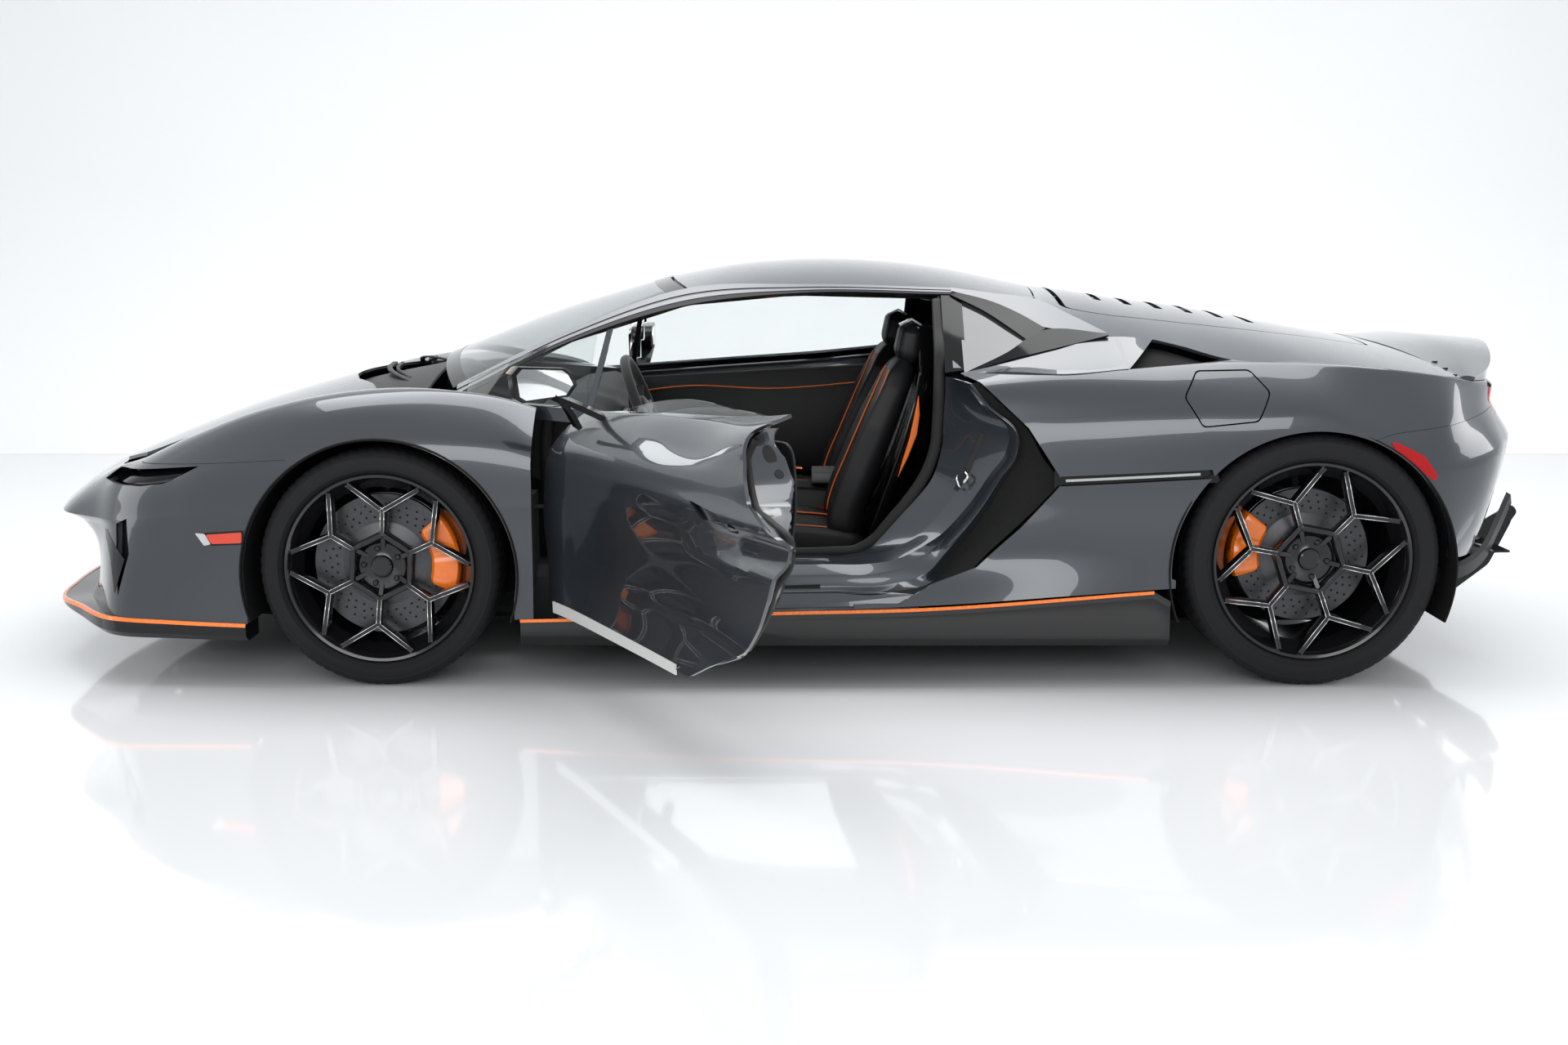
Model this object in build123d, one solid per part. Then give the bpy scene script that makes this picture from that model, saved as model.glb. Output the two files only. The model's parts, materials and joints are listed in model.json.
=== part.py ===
"""Mid-engined two-seat supercar: body shells, glass, cabin, running gear and every moving piece.

Car axes while modelling, in millimetres: +X points rearward, +Y to the car's right, +Z up from the
ground, with y = 0 on the centre plane.  Every left-hand piece lies at negative y and is mirrored for
the right.  At the end the whole car is moved so that the centre of its overall box, at ground level,
is the origin.  Tables of stations give |y| and z in columns named in the comment above each.
"""
import math
import os

from build123d import *

# ---------------------------------------------------------------- driving sizes
WHEELBASE = 2658.0
FRONT_OVERHANG = 1160.0
REAR_OVERHANG = 888.0
HALF_WIDTH = 998.0
HEIGHT = 1201.0
FRONT_TRACK = 1722.0
REAR_TRACK = 1656.0

FRONT_TYRE_RADIUS, FRONT_TYRE_WIDTH = 343.2, 255.0
REAR_TYRE_RADIUS, REAR_TYRE_WIDTH = 364.2, 325.0
FRONT_FLANGE_RADIUS, FRONT_RIM_WIDTH = 271.0, 232.0
REAR_FLANGE_RADIUS, REAR_RIM_WIDTH = 284.0, 300.0
FRONT_DISC_RADIUS, REAR_DISC_RADIUS = 205.0, 195.0
DISC_THICKNESS = 36.0
DISC_OFFSET = -10.0         # disc's middle from the wheel's middle plane, outward
HUB_RADIUS = 78.0
SPOKES = 6
FORK_SHARE, HEX_SHARE = 0.61, 0.35    # radii of the forks and of the hub hexagon's corners, of the flange
TIP_SPREAD = 23.5                     # degrees from a fork to its two tips
FRONT_TURN, REAR_TURN = 86.0, 48.7    # the first spoke's angle on each wheel
SPINDLE_RADIUS = 32.0
BALL_PIN = 11.0

FRONT_ARCH_RADIUS, FRONT_ARCH_DROP = 388.0, 22.0
REAR_ARCH_RADIUS, REAR_ARCH_DROP = 402.0, 28.0

SKIN = 22.0                 # outer body panels with their inner stiffening
DOOR_STEP = 42.0            # how far the inner box stays inside the skin's outline
LID_THICKNESS = 22.0
GLASS = 6.0
PANEL_GAP = 6.5             # shut lines round every moving panel
SEAM = 0.8                  # joints between fixed panels
RUNNING = 0.3               # clearance between pieces that move on each other
SEAT_GAP = 0.3              # where one fixed piece stands on or against another

STEER_LIMIT = 30.0
KINGPIN_OFFSET = 38.0       # kingpin inboard of the wheel's middle plane
DOOR_REST_ANGLE = 63.0      # the left door stands open
DOOR_HINGE_BACK = 58.0      # hinge axis behind the door's front edge
DOOR_HINGE_Y = 958.0

TOW_SOCKET_RADIUS, TOW_SOCKET_DEPTH = 8.0, 40.0
PLATE_HOLE_X, PLATE_HOLE_Z, PLATE_HOLE_RADIUS, PLATE_HOLE_DEPTH = 177.8, 120.65, 3.0, 18.0

FRONT_AXLE_X = -1253.0
REAR_AXLE_X = FRONT_AXLE_X + WHEELBASE
NOSE_X = FRONT_AXLE_X - FRONT_OVERHANG
TAIL_X = REAR_AXLE_X + REAR_OVERHANG

nodes = {}


# ---------------------------------------------------------------- helpers
def front(x):
    """A station given from the front axle."""
    return FRONT_AXLE_X + x


def rear(x):
    """A station given from the rear axle."""
    return REAR_AXLE_X + x


def ruled(sections):
    """A solid through closed polygons, with straight rulings between them."""
    wires = [Wire.make_polygon([Vector(*point) for point in section], close=True) for section in sections]
    return Solid.make_loft(wires, ruled=True)


def offset_line(points, distance):
    """The line parallel to an open polyline, to the left of its direction, with mitred corners."""
    result = []
    for i, (u, v) in enumerate(points):
        before = points[i - 1] if i > 0 else None
        after = points[i + 1] if i + 1 < len(points) else None
        normals = []
        for start, end in ((before, (u, v)), ((u, v), after)):
            if start is None or end is None:
                continue
            du, dv = end[0] - start[0], end[1] - start[1]
            length = math.hypot(du, dv)
            normals.append((-dv / length, du / length))
        first, last = normals[0], normals[-1]
        share = distance / (1 + first[0] * last[0] + first[1] * last[1])
        result.append((u + (first[0] + last[0]) * share, v + (first[1] + last[1]) * share))
    return result


def wall(points, thickness, skip=0.0):
    """A closed band along a polyline (bottom to top), lying inside it."""
    outer = offset_line(points, skip) if skip else list(points)
    return outer + offset_line(points, skip + thickness)[::-1]


def prism_y(outline, low, high):
    """An (x, z) outline carried from y = low to y = high."""
    wire = Wire.make_polygon([Vector(x, low, z) for x, z in outline], close=True)
    return Solid.extrude(Face(wire), Vector(0, high - low, 0))


def prism_z(outline, low, high):
    """An (x, y) outline carried from z = low to z = high."""
    wire = Wire.make_polygon([Vector(x, y, low) for x, y in outline], close=True)
    return Solid.extrude(Face(wire), Vector(0, 0, high - low))


def prism_x(outline, low, high):
    """A (y, z) outline carried from x = low to x = high."""
    wire = Wire.make_polygon([Vector(low, y, z) for y, z in outline], close=True)
    return Solid.extrude(Face(wire), Vector(high - low, 0, 0))


def block(x0, x1, y0, y1, z0, z1):
    return prism_z([(x0, y0), (x1, y0), (x1, y1), (x0, y1)], z0, z1)


def drum(radius, low, high, x, z):
    """A cylinder lying along Y from y = low to y = high."""
    return Solid.make_cylinder(radius, high - low, Plane(origin=(x, low, z), z_dir=(0, 1, 0)))


def post(radius, x, y, low, high):
    return Solid.make_cylinder(radius, high - low, Plane(origin=(x, y, low), z_dir=(0, 0, 1)))


def mirrored(shape):
    return shape.mirror(Plane.XZ)


def solids_of(*shapes):
    found = []
    for shape in shapes:
        found.extend(shape.solids())
    return found


def add(name, *shapes):
    nodes[name] = solids_of(*shapes)


def add_pair(name, *shapes):
    """A node of left-hand solids and their mirror images."""
    add(name, *shapes, *[mirrored(shape) for shape in shapes])


def cut(shape, *tools):
    for tool in tools:
        shape = shape - tool
    return shape


def common(shape, tool):
    return shape & tool


def largest(shape):
    """The biggest solid of a cut that leaves slivers behind."""
    return max(shape.solids(), key=lambda solid: solid.volume)


# ---------------------------------------------------------------- body surface tables
# Every station: (x, |y| of its root, heading, then (out, z) for each rail from the bottom to the top).
# Heading 90 points straight out sideways and 0 straight forward; out is measured along the heading.
# Rails of the front clip: bottom, flank, tuck, crease, high, crest, inner edge.
FRONT_CLIP = [
    (front(-1160), 0, 0, [(-120, 190), (-160, 300), (-60, 415), (0, 440), (-84, 520), (-150, 560), (-213, 583)]),
    (front(-1110), 400, 18, [(-100, 190), (-150, 300), (-60, 420), (0, 446), (-82, 520), (-140, 556),
                             (-200, 578)]),
    (front(-1032), 600, 36, [(-60, 190), (-105, 300), (-42, 425), (0, 448), (-70, 520), (-120, 556),
                             (-180, 581)]),
    (front(-905), 720, 56, [(0, 195), (-16, 300), (-14, 430), (0, 452), (-36, 535), (-86, 585), (-160, 604)]),
    (front(-787), 845, 84, [(60, 193), (35, 320), (6, 440), (0, 462), (-45, 572), (-140, 612), (-268, 624)]),
    (front(-597), 0, 90, [(953, 187), (940, 330), (921, 462), (918, 485), (880, 610), (775, 688), (575, 692)]),
    (front(-387), 0, 90, [(975, 182), (972, 335), (968, 485), (965, 507), (935, 650), (822, 768), (590, 748)]),
    (front(-197), 0, 90, [(985, 184), (985, 335), (988, 490), (988, 520), (965, 690), (850, 815), (606, 790)]),
    (front(0), 0, 90, [(990, 186), (990, 335), (995, 490), (995, 520), (975, 715), (862, 838), (640, 817)]),
    (front(174), 0, 90, [(988, 190), (986, 335), (990, 490), (990, 520), (968, 710), (862, 832), (756, 826)]),
    (front(393), 0, 90, [(976, 196), (970, 335), (976, 490), (976, 520), (950, 690), (846, 794), (798, 796)]),
    (front(436), 0, 90, [(975, 198), (966, 335), (970, 490), (970, 520), (944, 680), (836, 778), (800, 782)]),
]
# Rails of the flank: bottom, low, crease, high, crest, belt inner edge.
FLANK = [
    (front(441), 0, 90, [(975, 198), (966, 335), (970, 520), (944, 680), (836, 778), (800, 782)]),
    (front(613), 0, 90, [(982, 205), (940, 330), (950, 560), (925, 690), (828, 790), (790, 795)]),
    (front(953), 0, 90, [(985, 215), (925, 340), (940, 590), (915, 710), (822, 815), (784, 820)]),
    (rear(-1305), 0, 90, [(985, 228), (922, 350), (940, 600), (912, 730), (832, 834), (780, 850)]),
    (rear(-999), 0, 90, [(985, 243), (935, 350), (950, 600), (915, 760), (872, 856), (795, 885)]),
    (rear(-721), 0, 90, [(985, 264), (958, 380), (962, 590), (940, 760), (868, 885), (745, 946)]),
    (rear(-555), 0, 90, [(985, 276), (972, 390), (978, 595), (955, 775), (865, 901), (700, 984)]),
    (rear(-422), 0, 90, [(985, 286), (980, 400), (988, 600), (966, 785), (860, 910), (705, 977)]),
    (rear(-209), 0, 90, [(990, 300), (990, 400), (996, 610), (978, 790), (862, 920), (820, 926)]),
    (rear(0), 0, 90, [(993, 310), (994, 400), (998, 620), (982, 790), (872, 916), (850, 922)]),
    (rear(212), 0, 90, [(985, 330), (985, 420), (992, 640), (975, 735), (880, 900), (860, 906)]),
    (rear(395), 0, 90, [(942, 365), (950, 450), (962, 640), (935, 757), (850, 876), (835, 881)]),
]
# Rails of the tail: bottom, low, edge, seam, top; points given as (x, |y|, z).
TAIL = [
    [(rear(395), 942, 365), (rear(395), 950, 450), (rear(395), 962, 640), (rear(395), 935, 757),
     (rear(395), 850, 876)],
    [(rear(475), 850, 358), (rear(490), 880, 450), (rear(520), 890, 668), (rear(495), 835, 770),
     (rear(485), 785, 862)],
    [(rear(555), 700, 351), (rear(585), 715, 450), (rear(632), 720, 682), (rear(600), 662, 783),
     (rear(592), 645, 850)],
    [(rear(605), 400, 346), (rear(650), 402, 450), (rear(748), 406, 690), (rear(668), 402, 790),
     (rear(654), 400, 852)],
    [(rear(635), 0, 342), (rear(690), 0, 450), (rear(808), 0, 690), (rear(705), 0, 795), (rear(690), 0, 855)],
]


def station_points(station, points):
    x, root, heading, _ = station
    angle = math.radians(heading)
    return [(x - out * math.cos(angle), -(root + out * math.sin(angle)), z) for out, z in points]


def shell(table, thickness, skip=0.0):
    """The left half of a body shell through a table of stations."""
    return ruled([station_points(station, wall(station[3], thickness, skip)) for station in table])


def tail_shell(thickness, skip=0.0):
    """The left half of the tail: each rail moved inward, towards a line well inside the car."""
    sections = []
    for row in TAIL:
        outer, inner = [], []
        for x, y, z in row:
            dx, dy = rear(150) - x, -y
            reach = math.hypot(dx, dy)
            ux, uy = dx / reach, dy / reach
            outer.append((x + ux * skip, -(y + uy * skip), z))
            inner.append((x + ux * (skip + thickness), -(y + uy * (skip + thickness)), z))
        sections.append(outer + inner[::-1])
    # the first section stays in its own plane of constant x
    x0 = TAIL[0][0][0]
    first = [(x0, -(y - skip), z) for _, y, z in TAIL[0]]
    back = [(x0, -(y - skip - thickness), z) for _, y, z in TAIL[0]]
    sections[0] = first + back[::-1]
    return ruled(sections)


def arched(stations, thickness):
    """A crowned sheet: each station is an arc through its two sides and its middle.

    Columns: x and |y| and z of the side, x and z of the middle.  The sheet's thickness is taken in
    each station's own plane, below its arc.
    """
    wires = []
    for x_side, half, z_side, x_mid, z_mid in stations:
        dx, dz = x_mid - x_side, z_mid - z_side
        length = math.hypot(dx, dz)
        ux, uz = -dx / length * thickness, -dz / length * thickness
        left, mid, right = (Vector(x_side, -half, z_side), Vector(x_mid, 0, z_mid), Vector(x_side, half, z_side))
        drop = Vector(ux, 0, uz)
        wires.append(Wire([
            Edge.make_three_point_arc(left, mid, right),
            Edge.make_line(right, right + drop),
            Edge.make_three_point_arc(right + drop, mid + drop, left + drop),
            Edge.make_line(left + drop, left)]))
    return Solid.make_loft(wires, ruled=True)


# ---------------------------------------------------------------- outlines shared by neighbours
FRONT_ARCH_Z = FRONT_TYRE_RADIUS - FRONT_ARCH_DROP
REAR_ARCH_Z = REAR_TYRE_RADIUS - REAR_ARCH_DROP
SIDE_LIMIT = HALF_WIDTH + 400

front_arch = drum(FRONT_ARCH_RADIUS, -SIDE_LIMIT, SIDE_LIMIT, FRONT_AXLE_X, FRONT_ARCH_Z)
front_arch += block(front(-382), front(382), -SIDE_LIMIT, SIDE_LIMIT, -50, FRONT_ARCH_Z - 60)
rear_arch = drum(REAR_ARCH_RADIUS, -SIDE_LIMIT, SIDE_LIMIT, REAR_AXLE_X, REAR_ARCH_Z)
rear_arch += block(rear(-400), rear(390), -SIDE_LIMIT, SIDE_LIMIT, -50, REAR_ARCH_Z - 20)

# Door edge in side view, (x, z), from the top front corner down, along the sill and up the shut face.
DOOR_FRONT_X = front(441)
DOOR_EDGE = [
    (front(446), 820), (front(446), 770), (front(441), 640), (front(447), 450), (front(467), 300),
    (front(486), 242), (rear(-1180), 248), (rear(-1076), 303), (rear(-956), 347), (rear(-834), 460),
    (rear(-721), 590), (rear(-816), 737), (rear(-946), 859), (rear(-999), 880), (rear(-999), 1000),
    (front(446), 1000),
]
HINGE_X = DOOR_FRONT_X + DOOR_HINGE_BACK


def grown(outline, distance):
    """A closed outline moved outward by a distance, mitred; the outline runs either way round."""
    area = 0.0
    for (x0, z0), (x1, z1) in zip(outline, outline[1:] + outline[:1]):
        area += x0 * z1 - x1 * z0
    side = -distance if area > 0 else distance
    ring = [outline[-1]] + outline + [outline[0]]
    return offset_line(ring, side)[1:-1]


# ---------------------------------------------------------------- front clip: bumper, wings, headlamps
clip = shell(FRONT_CLIP, SKIN)
below_seam = prism_y([(front(-1300), 60), (front(-1300), 800), (front(-950), 800), (front(-845), 612),
                      (front(-514), 634), (front(-256), 654), (front(-256), 60)], -SIDE_LIMIT, 0)
above_seam = prism_y([(front(-843), 900), (front(-843), 613 + SEAM), (front(-514), 634 + SEAM),
                      (front(-256), 654 + SEAM), (front(-256), 400), (front(600), 100), (front(600), 1000),
                      (front(-843), 1000)], -SIDE_LIMIT, 0)
HEADLAMP = [(front(-886), 559), (front(-833), 595), (front(-522), 628), (front(-600), 588),
            (front(-632), 575), (front(-711), 563)]
headlamp_slot = prism_y(HEADLAMP, -SIDE_LIMIT, -560)

BONNET_EDGE = [(front(-962), 0), (front(-938), 300), (front(-890), 440), (front(-791), 556),
               (front(-638), 570), (front(-387), 588), (front(-197), 604), (front(-60), 628)]
BONNET_REAR = [(front(-60), 628), (front(-110), 480), (front(-190), 320), (front(-235), 150),
               (front(-245), 0)]


def bonnet_outline(grow):
    """The bonnet's plan outline, grown by a gap, front edge swept and rear edge bowed forward."""
    half = BONNET_EDGE + BONNET_REAR[1:]
    left = [(x, -y) for x, y in half]
    right = [(x, y) for x, y in half[1:-1]][::-1]
    return grown(left + right, grow) if grow else left + right


bonnet_hole = prism_z(bonnet_outline(PANEL_GAP), 300, 1300)
DOOR_SIDE = prism_y(grown(DOOR_EDGE, PANEL_GAP), -SIDE_LIMIT, -600)
clip_cut = cut(clip, front_arch, bonnet_hole, DOOR_SIDE)
front_wing = common(clip_cut, above_seam) - headlamp_slot
bumper_half = common(clip_cut, below_seam) - headlamp_slot

# Splitter.  For each station of the front clip: how far it stands out, and its underside.
SPLITTER = [(88, 168), (86, 168), (84, 166), (60, 156), (22, 146), (8, 143), (6, 141)]
SPLITTER_DEPTH = 170.0
splitter_rows, above_splitter = [], []
for station, (stand, under) in zip(FRONT_CLIP, SPLITTER):
    out, top = station[3][0]
    above_splitter.append(station_points(station, [(out - 260, 40), (out + 200, 40), (out + 200, top + SEAM),
                                                   (out - 260, top + SEAM)]))
    splitter_rows.append(station_points(station, [
        (out - SPLITTER_DEPTH, under - 12), (out + stand - 26, under - 12), (out + stand, under + 6),
        (out + stand + 3, top - 6), (out + stand - 4, top), (out - SPLITTER_DEPTH, top)]))
splitter_half = ruled(splitter_rows) - front_arch
splitter = splitter_half + mirrored(splitter_half)
add("splitter", splitter)

# air ducts: two wide mouths in the fascia and a slot at each corner
MOUTH = [(-560, 232), (-150, 232), (-120, 300), (-190, 392), (-600, 392)]
mouth = prism_x(MOUTH, front(-1200), front(-900))
CORNER_SLOT = [(front(-790), 432), (front(-762), 440), (front(-752), 372), (front(-787), 265)]
corner_slot = prism_y(CORNER_SLOT, -SIDE_LIMIT, -700)
bumper_half = cut(bumper_half, mouth, corner_slot, ruled(above_splitter))
front_bumper = bumper_half + mirrored(bumper_half)
add("front_bumper", front_bumper)
add_pair("front_wings", front_wing)

lamp_body = common(shell(FRONT_CLIP, 60, skip=3), prism_y(grown(HEADLAMP, -SEAM), -SIDE_LIMIT, -560))
lamp_body = lamp_body - bonnet_hole
add_pair("headlamps", lamp_body)

# ---------------------------------------------------------------- bonnet and cowl
# Columns: x, |y| and z of the side, x and z of the middle.
TOP_FRONT = [
    (front(-985), 590, 560, front(-985), 570), (front(-934), 575, 572, front(-934), 592),
    (front(-793), 570, 621, front(-793), 653), (front(-597), 575, 692, front(-597), 728),
    (front(-387), 590, 748, front(-387), 793), (front(-197), 606, 790, front(-197), 842),
    (front(0), 640, 817, front(0), 882), (front(100), 660, 822, front(100), 902),
]
bonnet_sheet = arched([(xs, half + 12, zs, xm, zm) for xs, half, zs, xm, zm in TOP_FRONT], LID_THICKNESS)
bonnet = common(bonnet_sheet, prism_z(bonnet_outline(0), 300, 1300))

# Windscreen: base, middle and top arcs.
SCREEN = [
    (front(174), 672, 836, front(64), 899), (front(519), 590, 1000, front(415), 1034),
    (front(862), 470, 1114, front(780), 1143),
]
windscreen_sheet = arched([(xs, half + 14, zs - 4, xm, zm) for xs, half, zs, xm, zm in SCREEN], GLASS)

COWL_DROP = 30.0            # cowl below the bonnet's surface
cowl_sheet = arched([(xs, half - 30, zs - COWL_DROP - 6, xm, zm - COWL_DROP) for xs, half, zs, xm, zm in
                     ((front(-330), 593, 758, front(-330), 808), (front(-197), 606, 790, front(-197), 842),
                      (front(0), 640, 817, front(0), 882), (front(64), 660, 824, front(64), 896))], 12)
BONNET_HINGE_X, BONNET_HINGE_Z, BONNET_HINGE_Y = front(-40), 770.0, 585.0
HINGE_PIN_BONNET = 5.0
BONNET_BEAM_Z = FRONT_ARCH_Z + FRONT_ARCH_RADIUS + 12
hinge_bay = block(front(-170), front(-10), -BONNET_HINGE_Y - 26, -BONNET_HINGE_Y + 26, 700, 900)
cowl = cut(cowl_sheet, hinge_bay, mirrored(hinge_bay))
add("cowl", cowl)

bonnet_frame = []
for side in (-1, 1):
    y0 = side * BONNET_HINGE_Y - 8
    lug = block(front(-150), BONNET_HINGE_X, y0, y0 + 16, BONNET_HINGE_Z - 8, BONNET_HINGE_Z + 8)
    lug += block(front(-150), front(-110), y0, y0 + 16, BONNET_HINGE_Z, 786)
    lug += drum(14, y0, y0 + 16, BONNET_HINGE_X, BONNET_HINGE_Z)
    bonnet += lug - drum(HINGE_PIN_BONNET + RUNNING, y0 - 1, y0 + 17, BONNET_HINGE_X, BONNET_HINGE_Z)
    bracket = block(front(-52), front(-28), y0 - 12, y0 - 6, BONNET_BEAM_Z, BONNET_HINGE_Z + 10)
    bracket += block(front(-52), front(-28), y0 + 22, y0 + 28, BONNET_BEAM_Z, BONNET_HINGE_Z + 10)
    bracket += block(front(-52), front(-28), y0 - 12, y0 + 28, BONNET_BEAM_Z, BONNET_BEAM_Z + 12)
    bracket += drum(HINGE_PIN_BONNET, y0 - 12, y0 + 28, BONNET_HINGE_X, BONNET_HINGE_Z)
    low, high = sorted((side * 300, side * (BONNET_HINGE_Y + 20)))
    bracket += block(front(-52), front(-28), low, high, BONNET_BEAM_Z, BONNET_BEAM_Z + 12)
    bonnet_frame.append(bracket)
add("bonnet", bonnet)

# ---------------------------------------------------------------- doors
DOOR_TOP_RAIL = 62.0        # width of the door's capping, with the glass slot in it
GLASS_INSET = 10.0          # pane inside the belt's inner edge
SLOT_CLEARANCE = 0.8
DOOR_STATIONS = [(front(436), 0, 90, [(975, 198), (966, 335), (970, 520), (944, 680), (836, 778), (800, 782)])
                 ] + FLANK[1:6]
door_outline = prism_y(DOOR_EDGE, -SIDE_LIMIT, 0)
door_box_outline = prism_y(grown(DOOR_EDGE, -DOOR_STEP)[2:13] + [(rear(-999) - DOOR_STEP, 1000),
                                                               (front(446) + DOOR_STEP, 1000)], -SIDE_LIMIT, 0)


def door_box_section(station):
    """The inner box of the door: behind its skin, deep above the sill and shallow beside it."""
    rails = station[3]
    outer = offset_line(rails, SKIN - 1)
    belt_out, belt_z = rails[-1]
    inner = [(belt_out, belt_z - 3), (belt_out - DOOR_TOP_RAIL, belt_z - 8), (belt_out - DOOR_TOP_RAIL - 2, 640),
             (812, 440), (880, 352), (900, 230)]
    return station_points(station, outer[:-1] + inner)


door_skin = common(shell(DOOR_STATIONS, SKIN), door_outline)
door_box = common(ruled([door_box_section(station) for station in DOOR_STATIONS]), door_box_outline)

# Side glass plane.  Columns: x, |y| and z at the belt, |y| and z at the roof seal.
PANE = [
    (front(190), 742, 806, 700, 842), (front(441), 790, 782, 640, 952), (front(519), 784, 788, 618, 978),
    (front(809), 776, 808, 560, 1066), (front(1215), 770, 828, 541, 1110),
    (rear(-1205), 771, 842, 539, 1112), (rear(-1011), 784, 878, 539, 1106), (rear(-721), 742, 936, 600, 1040),
]


def pane_sheet(low, high, thickness=GLASS, stand_off=0.0):
    """A sheet in the side glass plane between two shares of its height (0 belt, 1 roof seal)."""
    sections = []
    for x, y_low, z_low, y_high, z_high in PANE:
        dy, dz = y_high - y_low, z_high - z_low
        length = math.hypot(dy, dz)
        ny, nz = -dz / length, dy / length
        corners = []
        for share, depth in ((low, stand_off), (high, stand_off), (high, stand_off + thickness),
                             (low, stand_off + thickness)):
            corners.append((x, -(y_low + dy * share + ny * depth), z_low + dz * share + nz * depth))
        sections.append(corners)
    return ruled(sections)


DIVIDER_FOOT, DIVIDER_TOP = front(580), front(634)
PILLAR_B = rear(-1011)
door_pane_outline = [(DIVIDER_FOOT + 12, 700), (DIVIDER_FOOT + 12, 775), (DIVIDER_TOP + 14, 1000),
                     (DIVIDER_TOP + 14, 1200), (PILLAR_B - 16, 1200), (PILLAR_B - 16, 700)]
pane_up = common(pane_sheet(-0.20, 0.955), prism_y(door_pane_outline, -SIDE_LIMIT, 0))
LOWERED_TOP = [(DIVIDER_FOOT + 12, 730), (DIVIDER_FOOT + 12, 796), (front(760), 832), (front(900), 851),
               (front(1060), 858), (front(1250), 856), (rear(-1150), 846), (rear(-1060), 820), (rear(-1060), 730)]
pane_down = common(pane_sheet(-0.20, 0.5), prism_y(LOWERED_TOP, -SIDE_LIMIT, 0))
glass_slot = common(pane_sheet(-0.28, 1.1, GLASS + 2 * SLOT_CLEARANCE, -SLOT_CLEARANCE), prism_y(
    [(DIVIDER_FOOT + 4, 700), (DIVIDER_FOOT + 4, 1200), (PILLAR_B - 10, 1200), (PILLAR_B - 10, 700)],
    -SIDE_LIMIT, 0))

# door hinges: each a pin in the door and a cranked ear on the body, in a pocket behind the door's skin
DOOR_PIN_RADIUS = 4.0
EAR_THICKNESS = 8.0
UPPER_EAR_Z, LOWER_EAR_Z = 505.0, 262.0
EAR_HALF = 6.0
EAR_BACK = DOOR_HINGE_Y - 84.0          # inner edge of the ear's crank
POST_X, POST_REAR = front(410), front(434)


def hinge_ear(low, arm_end):
    """A flat ear round the door's pin; it runs straight inboard, then forward to the hinge post."""
    high = low + EAR_THICKNESS
    ear = post(DOOR_PIN_RADIUS + 3.5, HINGE_X, -DOOR_HINGE_Y, low, high)
    ear += block(HINGE_X - EAR_HALF, HINGE_X + EAR_HALF, -DOOR_HINGE_Y, -EAR_BACK, low, high)
    ear += block(arm_end, HINGE_X + EAR_HALF, -EAR_BACK - 16, -EAR_BACK, low, high)
    return ear - post(DOOR_PIN_RADIUS + RUNNING, HINGE_X, -DOOR_HINGE_Y, low - 1, high + 1)


hinge_ears = hinge_ear(UPPER_EAR_Z, POST_REAR)
hinge_ears += hinge_ear(LOWER_EAR_Z, HINGE_X - EAR_HALF)
hinge_ears += block(HINGE_X - EAR_HALF, HINGE_X + EAR_HALF, -EAR_BACK - 16, -868, LOWER_EAR_Z, LOWER_EAR_Z + EAR_THICKNESS)
hinge_ears += block(POST_X, POST_REAR, -EAR_BACK - 16, -800, 290, UPPER_EAR_Z + 40)
hinge_pockets, hinge_pins = [], []
for ear_z in (UPPER_EAR_Z, LOWER_EAR_Z):
    low, high = ear_z - 5, ear_z + EAR_THICKNESS + 5
    hinge_pockets.append(block(HINGE_X - 64, HINGE_X + 13, -DOOR_HINGE_Y - 4, -EAR_BACK + 10, low, high)
                         + post(DOOR_PIN_RADIUS + 5.5, HINGE_X, -DOOR_HINGE_Y, low, high))
    hinge_pins.append(post(DOOR_PIN_RADIUS, HINGE_X, -DOOR_HINGE_Y, low - 6, high + 6))

# door mirror: housing on two arms from the door's front top corner
MIRROR_X, MIRROR_Y, MIRROR_Z = front(618), 1032.0, 884.0
MIRROR_HEX = [(-100, -8), (-78, 22), (-62, 34), (70, 44), (92, 26), (80, -36), (58, -46), (-72, -34)]


def mirror_section(x, grow):
    return [(x, -(MIRROR_Y + u * grow), MIRROR_Z + v * grow * 1.05) for u, v in MIRROR_HEX]


mirror_head = ruled([mirror_section(MIRROR_X - 70, 0.62), mirror_section(MIRROR_X - 20, 1.0),
                     mirror_section(MIRROR_X + 28, 0.97)])
mirror_arm = ruled([[(x, -y, z) for x, y, z in row] for row in (
    [(MIRROR_X - 52, 968, 862), (MIRROR_X + 16, 968, 862), (MIRROR_X + 16, 962, 876), (MIRROR_X - 52, 962, 876)],
    [(MIRROR_X - 66, 830, 772), (MIRROR_X + 6, 830, 772), (MIRROR_X + 6, 822, 788), (MIRROR_X - 66, 822, 788)])])
quarter_clear = block(front(300), DIVIDER_FOOT + 22, -797, 0, 650, 1300)
door_shell = cut(door_skin + door_box, glass_slot, quarter_clear, *hinge_pockets) + mirror_arm + mirror_head
for pin in hinge_pins:
    door_shell += pin

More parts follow.
